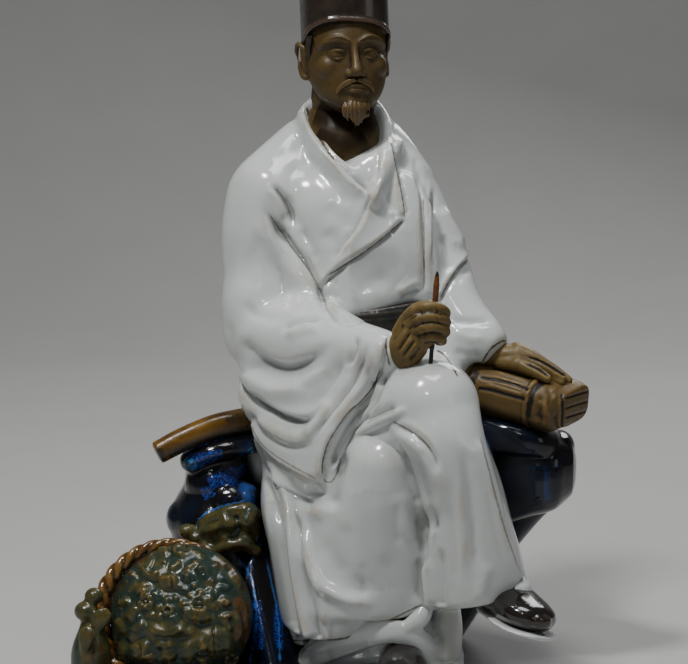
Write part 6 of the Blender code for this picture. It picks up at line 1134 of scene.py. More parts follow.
# ---------------------------------------------------------------- node helpers
class Nodes:
    """A material's node tree, written in short."""

    def __init__(self, name, colour, rough=0.3, metal=0.0):
        self.m = bpy.data.materials.new(name)
        self.m.use_nodes = True
        self.t = self.m.node_tree
        self.b = self.t.nodes["Principled BSDF"]
        self.b.inputs["Base Color"].default_value = (*colour, 1)
        self.b.inputs["Roughness"].default_value = rough
        self.b.inputs["Metallic"].default_value = metal
        self.m.diffuse_color = (*colour, 1)
        self.co = self.t.nodes.new("ShaderNodeTexCoord").outputs["Object"]

    def set(self, key, value):
        if isinstance(value, (int, float, tuple)):
            self.b.inputs[key].default_value = value
        else:
            self.t.links.new(value, self.b.inputs[key])
        return self

    def link(self, out, socket):
        if isinstance(out, (int, float)):
            socket.default_value = out
        elif isinstance(out, tuple):
            socket.default_value = out if len(out) == len(socket.default_value) else (*out, 1)
        else:
            self.t.links.new(out, socket)

    def attr(self, key):
        n = self.t.nodes.new("ShaderNodeAttribute")
        n.attribute_name = key
        return n.outputs["Fac"]

    def drawn(self, ragged=0.35, key="line"):
        """The crisp drawn lines held by the two line attributes."""
        away = self.math("ABSOLUTE", self.attr(key + "_at"))
        away = self.math("ADD", away, self.span(self.noise(420, 2), 0.25, 0.75, -ragged, ragged))
        return self.math("MULTIPLY", self.attr(key), self.span(away, 1.25, 0.75))

    def noise(self, scale, detail=3.0, rough=0.55, stretch=None, distortion=0.0, at=None):
        n = self.t.nodes.new("ShaderNodeTexNoise")
        n.inputs["Scale"].default_value = scale
        n.inputs["Detail"].default_value = detail
        n.inputs["Roughness"].default_value = rough
        n.inputs["Distortion"].default_value = distortion
        self.t.links.new(self.mapped(stretch) if stretch else (at or self.co), n.inputs["Vector"])
        return n.outputs["Fac"]

    def mapped(self, stretch):
        m = self.t.nodes.new("ShaderNodeMapping")
        m.inputs["Scale"].default_value = stretch
        self.t.links.new(self.co, m.inputs["Vector"])
        return m.outputs["Vector"]

    def cells(self, scale, feature="F1", stretch=None, randomness=1.0, out="Distance"):
        n = self.t.nodes.new("ShaderNodeTexVoronoi")
        n.feature = feature
        n.inputs["Scale"].default_value = scale
        n.inputs["Randomness"].default_value = randomness
        self.t.links.new(self.mapped(stretch) if stretch else self.co, n.inputs["Vector"])
        return n.outputs[out]

    def wave(self, scale, distortion=0.0, direction="X", stretch=None):
        n = self.t.nodes.new("ShaderNodeTexWave")
        n.bands_direction = direction
        n.inputs["Scale"].default_value = scale
        n.inputs["Distortion"].default_value = distortion
        self.t.links.new(self.mapped(stretch) if stretch else self.co, n.inputs["Vector"])
        return n.outputs["Fac"]

    def ramp(self, value, *stops, ease="LINEAR"):
        n = self.t.nodes.new("ShaderNodeValToRGB")
        n.color_ramp.interpolation = ease
        e = n.color_ramp.elements
        while len(e) < len(stops):
            e.new(0.5)
        for x, (at, col) in zip(e, sorted(stops, key=lambda s: s[0])):
            x.position = at
            x.color = (*col, 1) if isinstance(col, tuple) else (col, col, col, 1)
        self.t.links.new(value, n.inputs["Fac"])
        return n.outputs["Color"]

    def math(self, kind, a, b=0.0, clamp=False):
        n = self.t.nodes.new("ShaderNodeMath")
        n.operation = kind
        n.use_clamp = clamp
        self.link(a, n.inputs[0])
        self.link(b, n.inputs[1])
        return n.outputs[0]

    def span(self, value, lo, hi, a=0.0, b=1.0):
        n = self.t.nodes.new("ShaderNodeMapRange")
        n.interpolation_type = "SMOOTHSTEP"
        for k, x in zip(("From Min", "From Max", "To Min", "To Max"), (lo, hi, a, b)):
            n.inputs[k].default_value = x
        self.t.links.new(value, n.inputs["Value"])
        return n.outputs["Result"]

    def mix(self, fac, a, b, kind="MIX"):
        n = self.t.nodes.new("ShaderNodeMix")
        n.data_type = "RGBA"
        n.blend_type = kind
        n.clamp_factor = True
        self.link(fac, n.inputs[0])
        self.link(a, n.inputs[6])
        self.link(b, n.inputs[7])
        return n.outputs[2]

    def bump(self, height, strength, distance=0.0004):
        n = self.t.nodes.new("ShaderNodeBump")
        n.inputs["Strength"].default_value = strength
        n.inputs["Distance"].default_value = distance
        self.t.links.new(height, n.inputs["Height"])
        last = getattr(self, "last_bump", None)
        if last is not None:
            self.t.links.new(last, n.inputs["Normal"])
        self.last_bump = n.outputs["Normal"]
        self.t.links.new(n.outputs["Normal"], self.b.inputs["Normal"])
        return self


def white_glaze():
    """Thick glossy white glaze: darker and bluer in the hollows, partly where it pools and partly painted shade; greyer
    and browner painted shade where the robe and trousers turn from the light; warm and thin over edges, brown along
    drawn lines.
    """
    k = Nodes("white_glaze", (0.62, 0.64, 0.63), 0.1)
    cav, wide = k.attr("cav"), k.attr("wide")
    tone = k.ramp(k.noise(38, 4, 0.6), (0.3, (0.59, 0.625, 0.612)), (0.7, (0.665, 0.695, 0.683)))
    # darker and bluer in the hollows: partly glaze pooling, partly painted shade
    tone = k.mix(k.span(wide, 0.1, 2.0, 0.0, 0.85), tone, (0.40, 0.435, 0.43))
    tone = k.mix(k.span(cav, 0.05, 0.45, 0.0, 0.9), tone, (0.33, 0.35, 0.335))
    # painted shade: greyer where the frost attribute is painted, on the robe's belly, skirt, sleeve and under the left
    # arm, and between the trouser legs
    tone = k.mix(k.math("MULTIPLY", k.span(k.attr("frost_and_shade"), 0.02, 1.0), 0.95), tone, (0.41, 0.437, 0.430))
    thin = k.math("MULTIPLY", k.span(cav, -0.06, -0.24), k.span(k.noise(90, 3), 0.42, 0.6))
    tone = k.mix(k.math("MULTIPLY", thin, 0.5), tone, (0.50, 0.42, 0.30))
    speck = k.math("MULTIPLY", k.span(k.cells(260), 0.10, 0.04), k.span(k.noise(30, 2), 0.55, 0.7))
    tone = k.mix(k.math("MULTIPLY", speck, 0.5), tone, (0.30, 0.27, 0.22))
    # browner where washed: a thin brown tint along some edges, and painted shade in the knee hollow, under the left
    # cuff, in the sleeve's shadow and between the trouser legs
    tone = k.mix(k.math("MULTIPLY", k.span(k.attr("wash_and_shade"), 0.1, 0.9), 0.55), tone, (0.24, 0.18, 0.11))
    tone = k.mix(k.math("MULTIPLY", k.drawn(0.4), 0.9), tone, (0.075, 0.046, 0.024))
    k.set("Base Color", tone)
    k.set("Roughness", k.span(k.noise(120, 3), 0.3, 0.7, 0.13, 0.20))
    k.set("IOR", 1.52)
    k.set("Coat Weight", 0.35)
    k.set("Coat Roughness", 0.08)
    k.set("Subsurface Weight", 0.08)
    k.set("Subsurface Radius", (0.002, 0.002, 0.002))
    k.bump(k.noise(110, 2), 0.06, 0.0003)
    k.bump(k.noise(900, 2), 0.025, 0.0001)
    return k.m


def bare_clay(name="bare_clay", light=(0.140, 0.092, 0.026), dark=(0.016, 0.009, 0.004), gloss=0.50, wash_and_shade=(0.012, 0.008, 0.006)):
    """Unglazed brown clay with a slip sheen: painted shade darkens the hollows and the washed places, and what stands
    proud is rubbed light, partly wear and partly a painted highlight.
    """
    k = Nodes(name, light, gloss)
    cav, wide = k.attr("cav"), k.attr("wide")
    tone = k.ramp(k.noise(160, 5, 0.65), (0.3, tuple(c * 0.78 for c in light)), (0.7, tuple(min(c * 1.16, 1) for c in light)))
    tone = k.mix(k.span(k.noise(900, 3), 0.55, 0.75, 0.0, 0.35), tone, tuple(c * 0.45 for c in light))
    # painted shade: darker in the wide and the small hollows
    tone = k.mix(k.span(wide, 0.02, 0.55), tone, tuple(c * 0.42 for c in light))
    tone = k.mix(k.span(cav, 0.012, 0.13), tone, dark)
    # rubbed light on what stands proud: partly wear, partly a painted highlight
    worn_and_highlight = k.math("MULTIPLY", k.span(cav, -0.02, -0.14), k.span(k.noise(210, 4, 0.6), 0.36, 0.62, 0.35, 1.0))
    tone = k.mix(k.math("MULTIPLY", worn_and_highlight, 0.7), tone, tuple(min(c * 2.1, 1) for c in light))
    # painted shade: darkens towards the wash colour where painted, under the chin and along the underside of the book
    # bundle
    tone = k.mix(k.span(k.attr("wash_and_shade"), 0.1, 0.9, 0, 0.85), tone, wash_and_shade)
    tone = k.mix(k.drawn(0.3), tone, (0.008, 0.006, 0.005))
    k.set("Base Color", tone)
    k.set("Roughness", k.math("MAXIMUM", k.span(k.noise(300, 4), 0.3, 0.7, gloss - 0.1, gloss + 0.1), k.math("MULTIPLY", k.attr("wash_and_shade"), 0.75)))
    k.set("Specular IOR Level", k.span(k.attr("wash_and_shade"), 0.1, 0.9, 0.36, 0.06))
    k.set("Coat Weight", 0.12 if gloss < 0.41 else 0.05)
    k.set("Coat Roughness", 0.25)
    k.bump(k.noise(700, 4, 0.6), 0.22, 0.00025)
    k.bump(k.noise(2400, 2), 0.12, 0.0001)
    return k.m


def dark_glaze(name, colour, warm, rough=0.12):
    """Near black glossy glaze that breaks to brown on edges."""
    k = Nodes(name, colour, rough)
    cav = k.attr("cav")
    tone = k.ramp(k.noise(110, 4), (0.3, tuple(c * 0.7 for c in colour)), (0.75, tuple(c * 1.5 for c in colour)))
    tone = k.mix(k.span(cav, -0.02, -0.14, 0.0, 0.8), tone, warm)
    tone = k.mix(k.span(k.attr("wash_and_shade"), 0.1, 0.9), tone, tuple(min(c * 2.4, 1) for c in warm))
    tone = k.mix(k.drawn(), tone, warm)
    k.set("Base Color", tone)
    k.set("Roughness", k.span(k.noise(220, 3), 0.3, 0.7, rough - 0.03, rough + 0.08))
    k.set("Coat Weight", 0.6 if rough < 0.15 else 0.15)
    k.set("Coat Roughness", 0.06)
    k.bump(k.noise(260, 3), 0.14, 0.0002)
    return k.m


def blue_glaze():
    """Dark flowing glaze: black-brown body, cobalt runs and pale frosted speckle where it is thick, blue along the edges."""
    k = Nodes("rock_glaze", (0.012, 0.014, 0.045), 0.12)
    cav, wide = k.attr("cav"), k.attr("wide")
    flow = k.noise(26, 4, 0.6, stretch=(1, 1, 0.35), distortion=0.6)
    base = k.ramp(flow, (0.36, (0.008, 0.005, 0.004)), (0.5, (0.004, 0.005, 0.008)), (0.64, (0.004, 0.008, 0.022)), (0.76, (0.006, 0.014, 0.055)))
    frost_and_shade = k.attr("frost_and_shade")
    uneven = k.span(k.noise(52, 3, 0.6, stretch=(1, 1, 0.6)), 0.34, 0.66, -0.35, 0.35)
    patch = k.math("MAXIMUM", k.span(k.math("ADD", frost_and_shade, uneven), 0.35, 0.75), k.math("MULTIPLY", k.span(k.noise(44, 3, 0.55, stretch=(1, 1, 0.6)), 0.60, 0.72), 0.6))
    grain = k.span(k.noise(1500, 2, 0.7), 0.44, 0.60)
    grain2 = k.span(k.noise(760, 2, 0.7), 0.46, 0.62)
    base = k.mix(k.math("MULTIPLY", patch, grain), base, (0.028, 0.075, 0.44))
    pale = k.span(k.math("ADD", k.attr("wash_and_shade"), k.math("MULTIPLY", uneven, 0.6)), 0.35, 0.8)
    base = k.mix(k.math("MULTIPLY", k.math("MULTIPLY", pale, grain2), 0.9), base, (0.06, 0.27, 0.52))
    runs = k.math("MULTIPLY", k.span(k.noise(70, 3, 0.5, stretch=(1, 1, 0.12)), 0.60, 0.70), k.span(k.noise(24, 2), 0.45, 0.6))
    base = k.mix(k.math("MULTIPLY", runs, 0.7), base, (0.03, 0.11, 0.42))
    base = k.mix(k.math("MULTIPLY", k.span(cav, -0.10, -0.34, 0.0, 0.35), k.span(k.noise(60, 3), 0.48, 0.62)), base, (0.04, 0.13, 0.42))
    base = k.mix(k.math("MULTIPLY", k.drawn(0.7), k.span(k.noise(600, 2), 0.35, 0.55, 0.35, 1.0)), base, (0.045, 0.17, 0.50))
    base = k.mix(k.span(cav, 0.08, 0.4, 0.0, 0.8), base, (0.005, 0.005, 0.007))
    k.set("Base Color", base)
    k.set("Roughness", k.span(k.noise(200, 3), 0.3, 0.7, 0.10, 0.20))
    k.set("Specular IOR Level", 0.4)
    k.set("Coat Weight", 0.25)
    k.set("Coat Roughness", 0.06)
    k.bump(k.noise(70, 3), 0.35, 0.0012)
    k.bump(k.noise(120, 3), 0.25, 0.0006)
    k.bump(k.noise(800, 2), 0.12, 0.0002)
    return k.m


def herb_glaze(name="herb_glaze", deep=(0.004, 0.015, 0.018), mid=(0.028, 0.040, 0.018), high=(0.160, 0.092, 0.020)):
    """Translucent green glaze: pools dark blue-green, breaks to amber on everything that stands proud."""
    k = Nodes(name, mid, 0.12)
    cav, wide = k.attr("cav"), k.attr("wide")
    shade = k.noise(70, 4, 0.6)
    tone = k.ramp(shade, (0.34, tuple(c * 0.75 for c in mid)), (0.52, mid), (0.7, tuple(c * 1.25 for c in mid)))
    lift = k.math("ADD", k.span(cav, 0.03, -0.16), k.span(k.noise(90, 3), 0.3, 0.7, -0.35, 0.25))
    tone = k.mix(k.span(k.noise(34, 3, 0.6), 0.48, 0.62, 0.0, 0.8), tone, (0.080, 0.047, 0.012))
    tone = k.mix(k.span(lift, 0.35, 1.2), tone, high)
    tone = k.mix(k.span(cav, 0.0, 0.22), tone, deep)
    tone = k.mix(k.span(wide, 0.1, 1.1, 0, 0.8), tone, deep)
    k.set("Base Color", tone)
    k.set("Roughness", k.span(k.noise(200, 3), 0.3, 0.7, 0.12, 0.22))
    k.set("Coat Weight", 0.35)
    k.set("Coat Roughness", 0.08)
    k.bump(k.noise(180, 3), 0.2, 0.0004)
    return k.m


def heap_glaze(name="herb_glaze", gain=1.0, cover=0.0):
    """Translucent green glaze pooled blue-green between leaves that stand through it olive and gold."""
    k = Nodes(name, (0.03, 0.05, 0.03), 0.12)
    cav, wide = k.attr("cav"), k.attr("wide")
    uneven = k.span(k.noise(130, 4, 0.65), 0.3, 0.7, -0.22, 0.22)
    pool = k.ramp(k.noise(60, 4, 0.6), (0.3, tuple(c * gain for c in (0.013, 0.026, 0.020))), (0.55, tuple(c * gain for c in (0.022, 0.040, 0.029))), (0.75, tuple(c * gain for c in (0.034, 0.054, 0.044))))
    olive = k.ramp(k.noise(150, 4, 0.65), (0.32, (0.036, 0.042, 0.015)), (0.52, (0.070, 0.063, 0.019)), (0.70, (0.120, 0.086, 0.022)))
    loose = k.span(k.noise(62, 3, 0.6), 0.46 - cover, 0.62 - cover, 0.0, 0.75 + cover)
    tone = k.mix(k.span(k.math("ADD", k.math("MAXIMUM", k.attr("wash_and_shade"), loose), uneven), 0.15, 1.05), pool, olive)
    proud = k.math("ADD", k.span(cav, -0.02, -0.22), k.span(k.noise(110, 3), 0.3, 0.7, -0.45, 0.25))
    tone = k.mix(k.span(proud, 0.3, 1.2, 0, 0.7), tone, (0.165, 0.105, 0.028))
    brown = k.ramp(k.noise(170, 4, 0.7, stretch=(1, 1, 0.5)), (0.35, (0.022, 0.010, 0.004)), (0.55, (0.075, 0.034, 0.008)), (0.72, (0.15, 0.066, 0.012)))
    tone = k.mix(k.span(k.math("ADD", k.attr("frost_and_shade"), k.math("MULTIPLY", uneven, 1.4)), 0.3, 0.9, 0, 0.85), tone, brown)
    tone = k.mix(k.span(cav, 0.02, 0.22, 0, 0.8), tone, (0.006, 0.013, 0.012))
    tone = k.mix(k.span(wide, 0.15, 1.1, 0, 0.6), tone, (0.007, 0.015, 0.014))
    k.set("Base Color", tone)
    k.set("Roughness", k.span(k.noise(200, 3), 0.3, 0.7, 0.20, 0.34))
    k.set("Specular IOR Level", 0.4)
    k.set("Coat Weight", 0.12)
    k.set("Coat Roughness", 0.06)
    k.bump(k.noise(150, 4, 0.6), 0.22, 0.0010)
    k.bump(k.noise(420, 3), 0.2, 0.0004)
    return k.m


def amber_glaze():
    """Transparent amber glaze over the bar: orange where thin, brown in pools, darker towards the cut end."""
    k = Nodes("amber_glaze", (0.16, 0.060, 0.006), 0.12)
    cav = k.attr("cav")
    tone = k.ramp(k.noise(60, 4, 0.6, stretch=(1, 1, 2.5)), (0.32, (0.056, 0.025, 0.003)), (0.52, (0.125, 0.060, 0.005)), (0.7, (0.200, 0.100, 0.010)))
    tone = k.mix(k.span(k.noise(240, 4, 0.7), 0.58, 0.75, 0, 0.5), tone, (0.06, 0.03, 0.006))
    tone = k.mix(k.span(cav, 0.02, 0.2), tone, (0.04, 0.018, 0.005))
    tone = k.mix(k.span(k.attr("wash_and_shade"), 0.1, 0.9, 0, 0.93), tone, (0.016, 0.014, 0.008))
    tone = k.mix(k.drawn(), tone, (0.020, 0.018, 0.012))
    k.set("Base Color", tone)
    k.set("Roughness", k.span(k.noise(200, 3), 0.3, 0.7, 0.24, 0.38))
    k.set("Coat Weight", 0.15)
    k.set("Coat Roughness", 0.15)
    k.bump(k.noise(120, 4, 0.6), 0.4, 0.0006)
    k.bump(k.noise(500, 3), 0.15, 0.0002)
    return k.m


# ---------------------------------------------------------------- the pieces
BROWN_LINES = [  # thin brown lines where the white glaze runs off an edge: points, half width in pixels, strength
    ([(327, 276), (343, 266), (360, 255), (378, 242), (392, 230), (405, 219)], 0.75, 1.0),
    ([(405, 219), (402.5, 198), (397, 172), (391, 142), (389, 134)], 0.7, 0.8),
    ([(440, 299), (447, 285), (458, 268), (470, 256)], 0.8, 0.95),
    ([(323, 478), (322.5, 464), (327, 446), (336, 430), (348, 413), (362, 400), (374, 385), (381, 366)], 0.75, 0.95),
    ([(323, 478), (327, 482), (332, 481), (337, 473), (341, 460)], 0.8, 0.7),
    ([(392, 421), (410, 431), (424, 442), (433, 453)], 0.9, 0.7),
    ([(366, 424), (382, 416), (396, 411)], 0.6, 0.4),
    ([(268, 212), (280, 230), (294, 250), (309, 270), (321, 292), (328, 310)], 0.8, 0.65),
    ([(276, 188), (286, 203), (292, 220)], 0.7, 0.5),
    ([(283, 639.5), (310, 641), (345, 638), (368, 629), (392, 619), (425, 603)], 0.9, 0.85),
    ([(250, 424), (260, 442), (276, 456), (296, 468), (318, 480)], 0.8, 0.6),
    ([(437, 609), (465, 613.5), (490, 605), (510, 592), (526, 574)], 0.9, 0.8),
    ([(335.5, 161), (326, 148), (317, 133), (310, 118), (305.5, 106)], 1.3, 1.0),
    ([(423, 196), (424, 236), (424.5, 270)], 0.8, 0.6),
    ([(432, 192), (432.5, 214)], 0.6, 0.5),
    ([(436, 350), (443, 354), (450, 363), (458, 377)], 0.9, 1.0),
    ([(482, 363), (487, 354), (494, 346), (503, 341), (512, 342)], 1.0, 1.0),
    ([(387, 337), (386, 345), (388, 358), (390, 366)], 1.0, 0.9),
    ([(259, 478), (261, 510), (267, 540), (274, 575), (279, 610), (284, 634)], 0.8, 0.45),
    ([(524, 580), (514, 556), (502, 520), (491, 478), (481, 440)], 0.8, 0.55),
    # this faint line is painted shade in a crease of the sleeve
    ([(346, 326.5), (358, 325), (372, 316), (384, 309)], 0.7, 0.3),
]
# painted shade: greyer patches where the robe faces down or away from the light, on the belly, skirt, sleeve and under
# the left arm
ROBE_PAINTED_SHADE = [([(350, 258), (378, 262), (402, 280)], 26, 0.75), ([(352, 296), (380, 290)], 16, 0.5), ([(372, 490), (375, 540), (376, 590)], 40, 0.5), ([(345, 520), (345, 580)], 26, 0.35), ([(470, 470), (474, 520), (476, 580)], 22, 0.3),
             ([(276, 500), (283, 560), (292, 622)], 12, 0.75), ([(330, 352), (326, 380), (312, 408)], 12, 0.3), ([(408, 230), (412, 275)], 12, 0.4)]
# brown washes: a thin brown tint along some edges, and painted shade in the knee hollow, under the left cuff and in the
# sleeve's shadow on the skirt
ROBE_TINT_AND_SHADE = [([(500, 560), (491, 520), (486, 490)], 4, 0.35), ([(452, 352), (470, 366)], 5, 0.25), ([(300, 638), (340, 636), (372, 626)], 3, 0.25), ([(300, 500), (318, 508)], 4, 0.15),
             ([(430, 548), (428, 535)], 4, 0.3), ([(424, 170), (425, 270)], 3, 0.3)]


BOOK_LINES = [([(478, 377), (495, 380), (512, 384), (531, 391)], 1.3, 1.0), ([(476, 388), (490, 390), (508, 395), (527, 400)], 1.4, 1.0), ([(491, 368), (512, 373), (532, 379)], 0.9, 0.9),
              ([(484, 366), (490, 363), (500, 361)], 0.9, 0.9), ([(497, 364), (514, 367), (528, 372)], 0.7, 0.8), ([(519, 371), (530, 374), (541, 378)], 0.7, 0.8),
              ([(478, 371), (473, 380), (470, 392)], 2.8, 1.0), ([(552, 379), (541, 384), (534, 391), (530, 403), (527.5, 419)], 2.5, 1.0), ([(562, 393), (563, 410), (562, 430)], 1.0, 1.0),
              ([(566, 399), (576, 396), (588, 392)], 0.6, 0.8), ([(566, 409), (576, 405), (588, 402)], 0.6, 0.8), ([(566, 418), (576, 415), (586, 411)], 0.6, 0.8)]
# painted shade: dark along the underside of the book bundle and in its creases
BOOK_PAINTED_SHADE = [([(476, 408), (500, 418), (530, 428), (556, 436)], 8, 0.9), ([(534, 396), (540, 412), (548, 426)], 4, 0.35), ([(468, 385), (472, 400)], 4, 0.6)]
HAND_LINES = [([(528, 357), (540, 361), (553, 368), (566, 376.5)], 1.3, 1.0), ([(528, 364), (538, 369), (549, 376.5)], 1.3, 1.0), ([(484, 364), (487, 355), (493, 348), (501, 342)], 1.6, 1.0)]
GRIP_LINES = [([(387, 338), (387.5, 350), (389, 361), (394, 367)], 1.1, 0.9), ([(409, 320), (420, 314), (432, 312.5), (443, 315)], 0.8, 0.8), ([(413, 328), (423, 323.5), (434, 322), (443, 324.5)], 0.8, 0.9),
              ([(418, 336.5), (426, 333), (435, 332), (443, 334)], 0.8, 0.9), ([(424, 343), (433, 342), (440, 343)], 0.8, 0.8)]
BRUSH_LINES = [([(437, 266), (436.6, 277)], 5.0, 1.0), ([(430.6, 368), (432, 344)], 6.0, 1.0)]
ROCK_LINES = [([(178, 456), (192, 448), (212, 441), (232, 435), (250, 431)], 1.1, 1.0), ([(198, 521), (206, 513), (218, 508), (232, 504), (246, 500)], 1.0, 1.0),
              ([(236, 558), (246, 568), (253, 585), (256, 610), (254, 640), (250, 664)], 1.3, 0.8), ([(266, 560), (271, 580), (276, 604), (279, 630), (280, 664)], 1.0, 0.7),
              ([(484, 436), (489, 446), (494, 456)], 1.3, 0.9), ([(486, 452), (492, 470), (500, 492)], 1.2, 0.7)]
ROCK_WASH = [([(184, 460), (196, 468)], 6, 0.9), ([(250, 448), (258, 470), (258, 486)], 5, 0.8), ([(256, 520), (260, 545)], 4, 0.7), ([(236, 562), (244, 572)], 4, 0.5)]
ROCK_FROST = [([(190, 462), (205, 458), (224, 452)], 8, 1.0), ([(208, 482), (228, 476), (246, 468)], 9, 1.0), ([(202, 494), (214, 490)], 7, 0.9), ([(252, 484), (257, 520)], 3, 0.5), ([(226, 500), (240, 497)], 4, 0.3),
              ([(255, 600), (258, 650)], 5, 0.8), ([(278, 600), (280, 650)], 4, 0.8), ([(480, 440), (492, 466)], 6, 0.6)]


def spokes(u, v, out, count, turn, squash=0.9):
    """Strokes that spread from a middle point, like petals."""
    rows = []
    for k in range(count):
        t = turn + 2 * math.pi * k / count
        rows.append([(u + 0.28 * out * math.cos(t), v + 0.28 * out * squash * math.sin(t)), (u + 0.65 * out * math.cos(t), v + 0.65 * out * squash * math.sin(t)), (u + out * math.cos(t), v + out * squash * math.sin(t))])
    return rows


def ringed(u, v, r):
    return [(u + r * math.cos(t), v + r * 0.92 * math.sin(t)) for t in np.linspace(0.3, 6.2, 11)]


# relief of the heap: points, half width in pixels, height
HEAP_STROKES = [
    ([(158, 578), (168, 581), (178, 577)], 4.6, 2.3), ([(170, 575), (172, 583), (173, 591)], 5.6, 2.4), ([(161, 573), (157, 577), (158, 582)], 2.6, 1.0),
    ([(141, 561), (146, 571), (153, 576), (160, 571), (162, 563)], 3.6, 2.4), ([(146, 561), (154, 564)], 6.5, 1.4),
    ([(156, 548), (164, 551), (169, 557)], 3.2, 1.7), ([(168, 570), (176, 566), (181, 560)], 2.6, 1.6), ([(184, 570), (192, 566), (199, 561)], 2.6, 1.6),
    ([(188, 548), (196, 553), (204, 558)], 2.6, 1.2), ([(170, 545), (174, 543), (180, 543)], 2.4, 1.0),
    ([(118, 606), (124, 602), (131, 599)], 3.4, 1.9), ([(125, 621), (132, 613), (140, 604)], 4.2, 2.2), ([(116, 618), (121, 626), (124, 636)], 3.6, 1.6), ([(128, 592), (134, 586), (139, 583)], 3.0, 1.3),
    ([(198, 603), (188, 604), (178, 605)], 3.0, 1.7), ([(198, 602), (192, 597), (188, 593)], 2.6, 1.4), ([(199, 601), (200, 595), (202, 589)], 3.0, 1.8), ([(200, 602), (207, 600), (214, 600)], 3.0, 1.9),
    ([(200, 604), (209, 606), (218, 608)], 2.8, 1.5), ([(198, 606), (197, 614), (194, 624)], 5.4, 3.0), ([(201, 606), (205, 614), (208, 624)], 3.6, 2.2), ([(196, 606), (188, 612), (182, 616)], 3.0, 1.6),
    ([(146, 621), (151, 628), (160, 631), (172, 632), (180, 628), (185, 621)], 4.4, 2.6), ([(133, 633), (140, 626), (147, 622)], 3.6, 2.0), ([(164, 624), (172, 622), (180, 619)], 2.8, 1.0),
    ([(210, 626), (213, 640), (216, 658)], 9.0, 2.4), ([(224, 626), (228, 640), (228, 658)], 4.0, 1.6), ([(218, 607), (224, 601), (230, 607)], 3.4, 2.0), ([(221, 612), (226, 622), (231, 633)], 3.0, 1.8),
    ([(233, 610), (238, 628), (240, 650)], 3.4, 1.6), ([(214, 590), (222, 588), (230, 592)], 2.8, 1.1), ([(216, 577), (226, 580), (234, 590)], 2.8, 1.0), ([(228, 572), (236, 580), (241, 594)], 3.0, 1.2),
    ([(136, 640), (140, 650), (138, 662)], 9.5, 2.6), ([(155, 640), (164, 645), (176, 642)], 3.4, 1.8), ([(160, 654), (168, 656), (176, 660)], 6.0, 1.9), ([(184, 640), (190, 650), (190, 664)], 6.0, 2.0),
    ([(118, 640), (122, 652), (120, 664)], 4.2, 1.8), ([(150, 652), (152, 664)], 3.4, 1.6), ([(202, 656), (204, 668)], 4.0, 1.4), ([(137, 672), (160, 676), (190, 676), (216, 670)], 5.5, 1.6)]
HEAP_STROKES += [(p, 2.5, 1.7) for p in spokes(146, 602, 9, 5, 0.4)] + [(ringed(180, 551, 5), 1.9, 1.5), (ringed(145, 589, 4.2), 2.8, 1.6)] + [(p, 2.3, 1.2) for p in spokes(232, 660, 8, 5, 0.9)] + [(p, 2.3, 1.3) for p in spokes(168, 610, 6, 5, 0.1)]
HEAP_BUMPS = [((187, 578), 4.4, 3.0), ((203, 571), 7.4, 2.8), ((199, 570), 2.4, 1.0), ((145, 589), 5.5, 1.6), ((180, 551), 2.2, 1.3), ((167, 600), 3.2, 1.5), ((171, 618), 3.4, 1.6), ((159, 607), 2.8, 1.2), ((160, 616), 2.6, 1.2),
              ((146, 602), 2.2, 1.2), ((199, 603), 2.4, 1.5), ((212, 582), 2.8, 1.6), ((194, 586), 2.4, 1.3), ((132, 574), 3.0, 1.4), ((165, 563), 2.6, 1.6), ((176, 598), 2.4, 1.1), ((216, 566), 2.6, 1.2), ((229, 616), 3.0, 1.5),
              ((152, 615), 2.4, 1.1), ((139, 617), 2.4, 1.0), ((185, 610), 2.2, 1.0), ((226, 604), 2.2, 0.9), ((204, 648), 3.0, 1.0)]
HEAP_VEINS = [([(171, 573), (172, 582), (173, 590)], 1.3, -0.9), ([(213, 624), (214, 640), (216, 656)], 1.3, -0.8), ([(214, 634), (208, 642)], 1.0, -0.5), ([(214, 642), (221, 650)], 1.0, -0.5), ([(137, 641), (140, 650), (139, 661)], 1.3, -0.7),
              ([(146, 624), (158, 632), (172, 632), (183, 624)], 1.0, -0.5), ([(142, 563), (147, 570), (153, 574)], 1.1, -0.6), ([(198, 608), (197, 616), (195, 623)], 1.0, -0.5), ([(203, 568), (203, 575)], 1.4, -0.8)]
HEAP_WASH = [(p, w * 1.5, 0.9) for p, w, h in HEAP_STROKES if h > 1.1] + [([(c[0] - 1, c[1]), (c[0] + 1, c[1])], r * 0.9, 0.9) for c, r, h in HEAP_BUMPS if h > 1.1]
HEAP_BROWN = [([(238, 596), (244, 620), (246, 650)], 9, 0.95), ([(226, 616), (234, 626), (236, 640)], 6, 0.8), ([(150, 672), (190, 676), (230, 668)], 8, 0.8), ([(112, 600), (108, 625), (112, 655)], 5, 0.7), ([(216, 560), (236, 572), (246, 590)], 6, 0.5),
              ([(120, 590), (136, 566), (160, 548)], 3, 0.6), ([(222, 560), (236, 576), (243, 592)], 3.5, 0.7)]
HEAP_STROKES += [([(224, 561), (235, 574), (242, 590)], 2.6, 1.6), ([(240, 594), (245, 615), (246, 640)], 2.4, 1.4), ([(233, 596), (238, 618), (240, 644)], 2.2, 1.3), ([(208, 552), (220, 560), (230, 570)], 3.0, 1.4),
                 ([(121, 588), (130, 574), (142, 562)], 3.0, 1.3), ([(176, 586), (184, 590), (192, 590)], 3.0, 1.4), ([(206, 588), (212, 594), (220, 596)], 3.2, 1.4), ([(152, 590), (158, 596), (166, 593)], 3.2, 1.5),
                 ([(178, 560), (186, 554), (195, 552)], 2.8, 1.2), ([(126, 582), (134, 578), (140, 576)], 3.0, 1.3), ([(176, 626), (186, 632), (196, 632)], 3.2, 1.5), ([(130, 626), (132, 634), (128, 642)], 3.0, 1.3),
                 ([(150, 640), (146, 650), (148, 660)], 3.0, 1.4), ([(198, 636), (202, 646), (198, 656)], 3.4, 1.5), ([(166, 664), (176, 668), (186, 664)], 3.2, 1.4)]
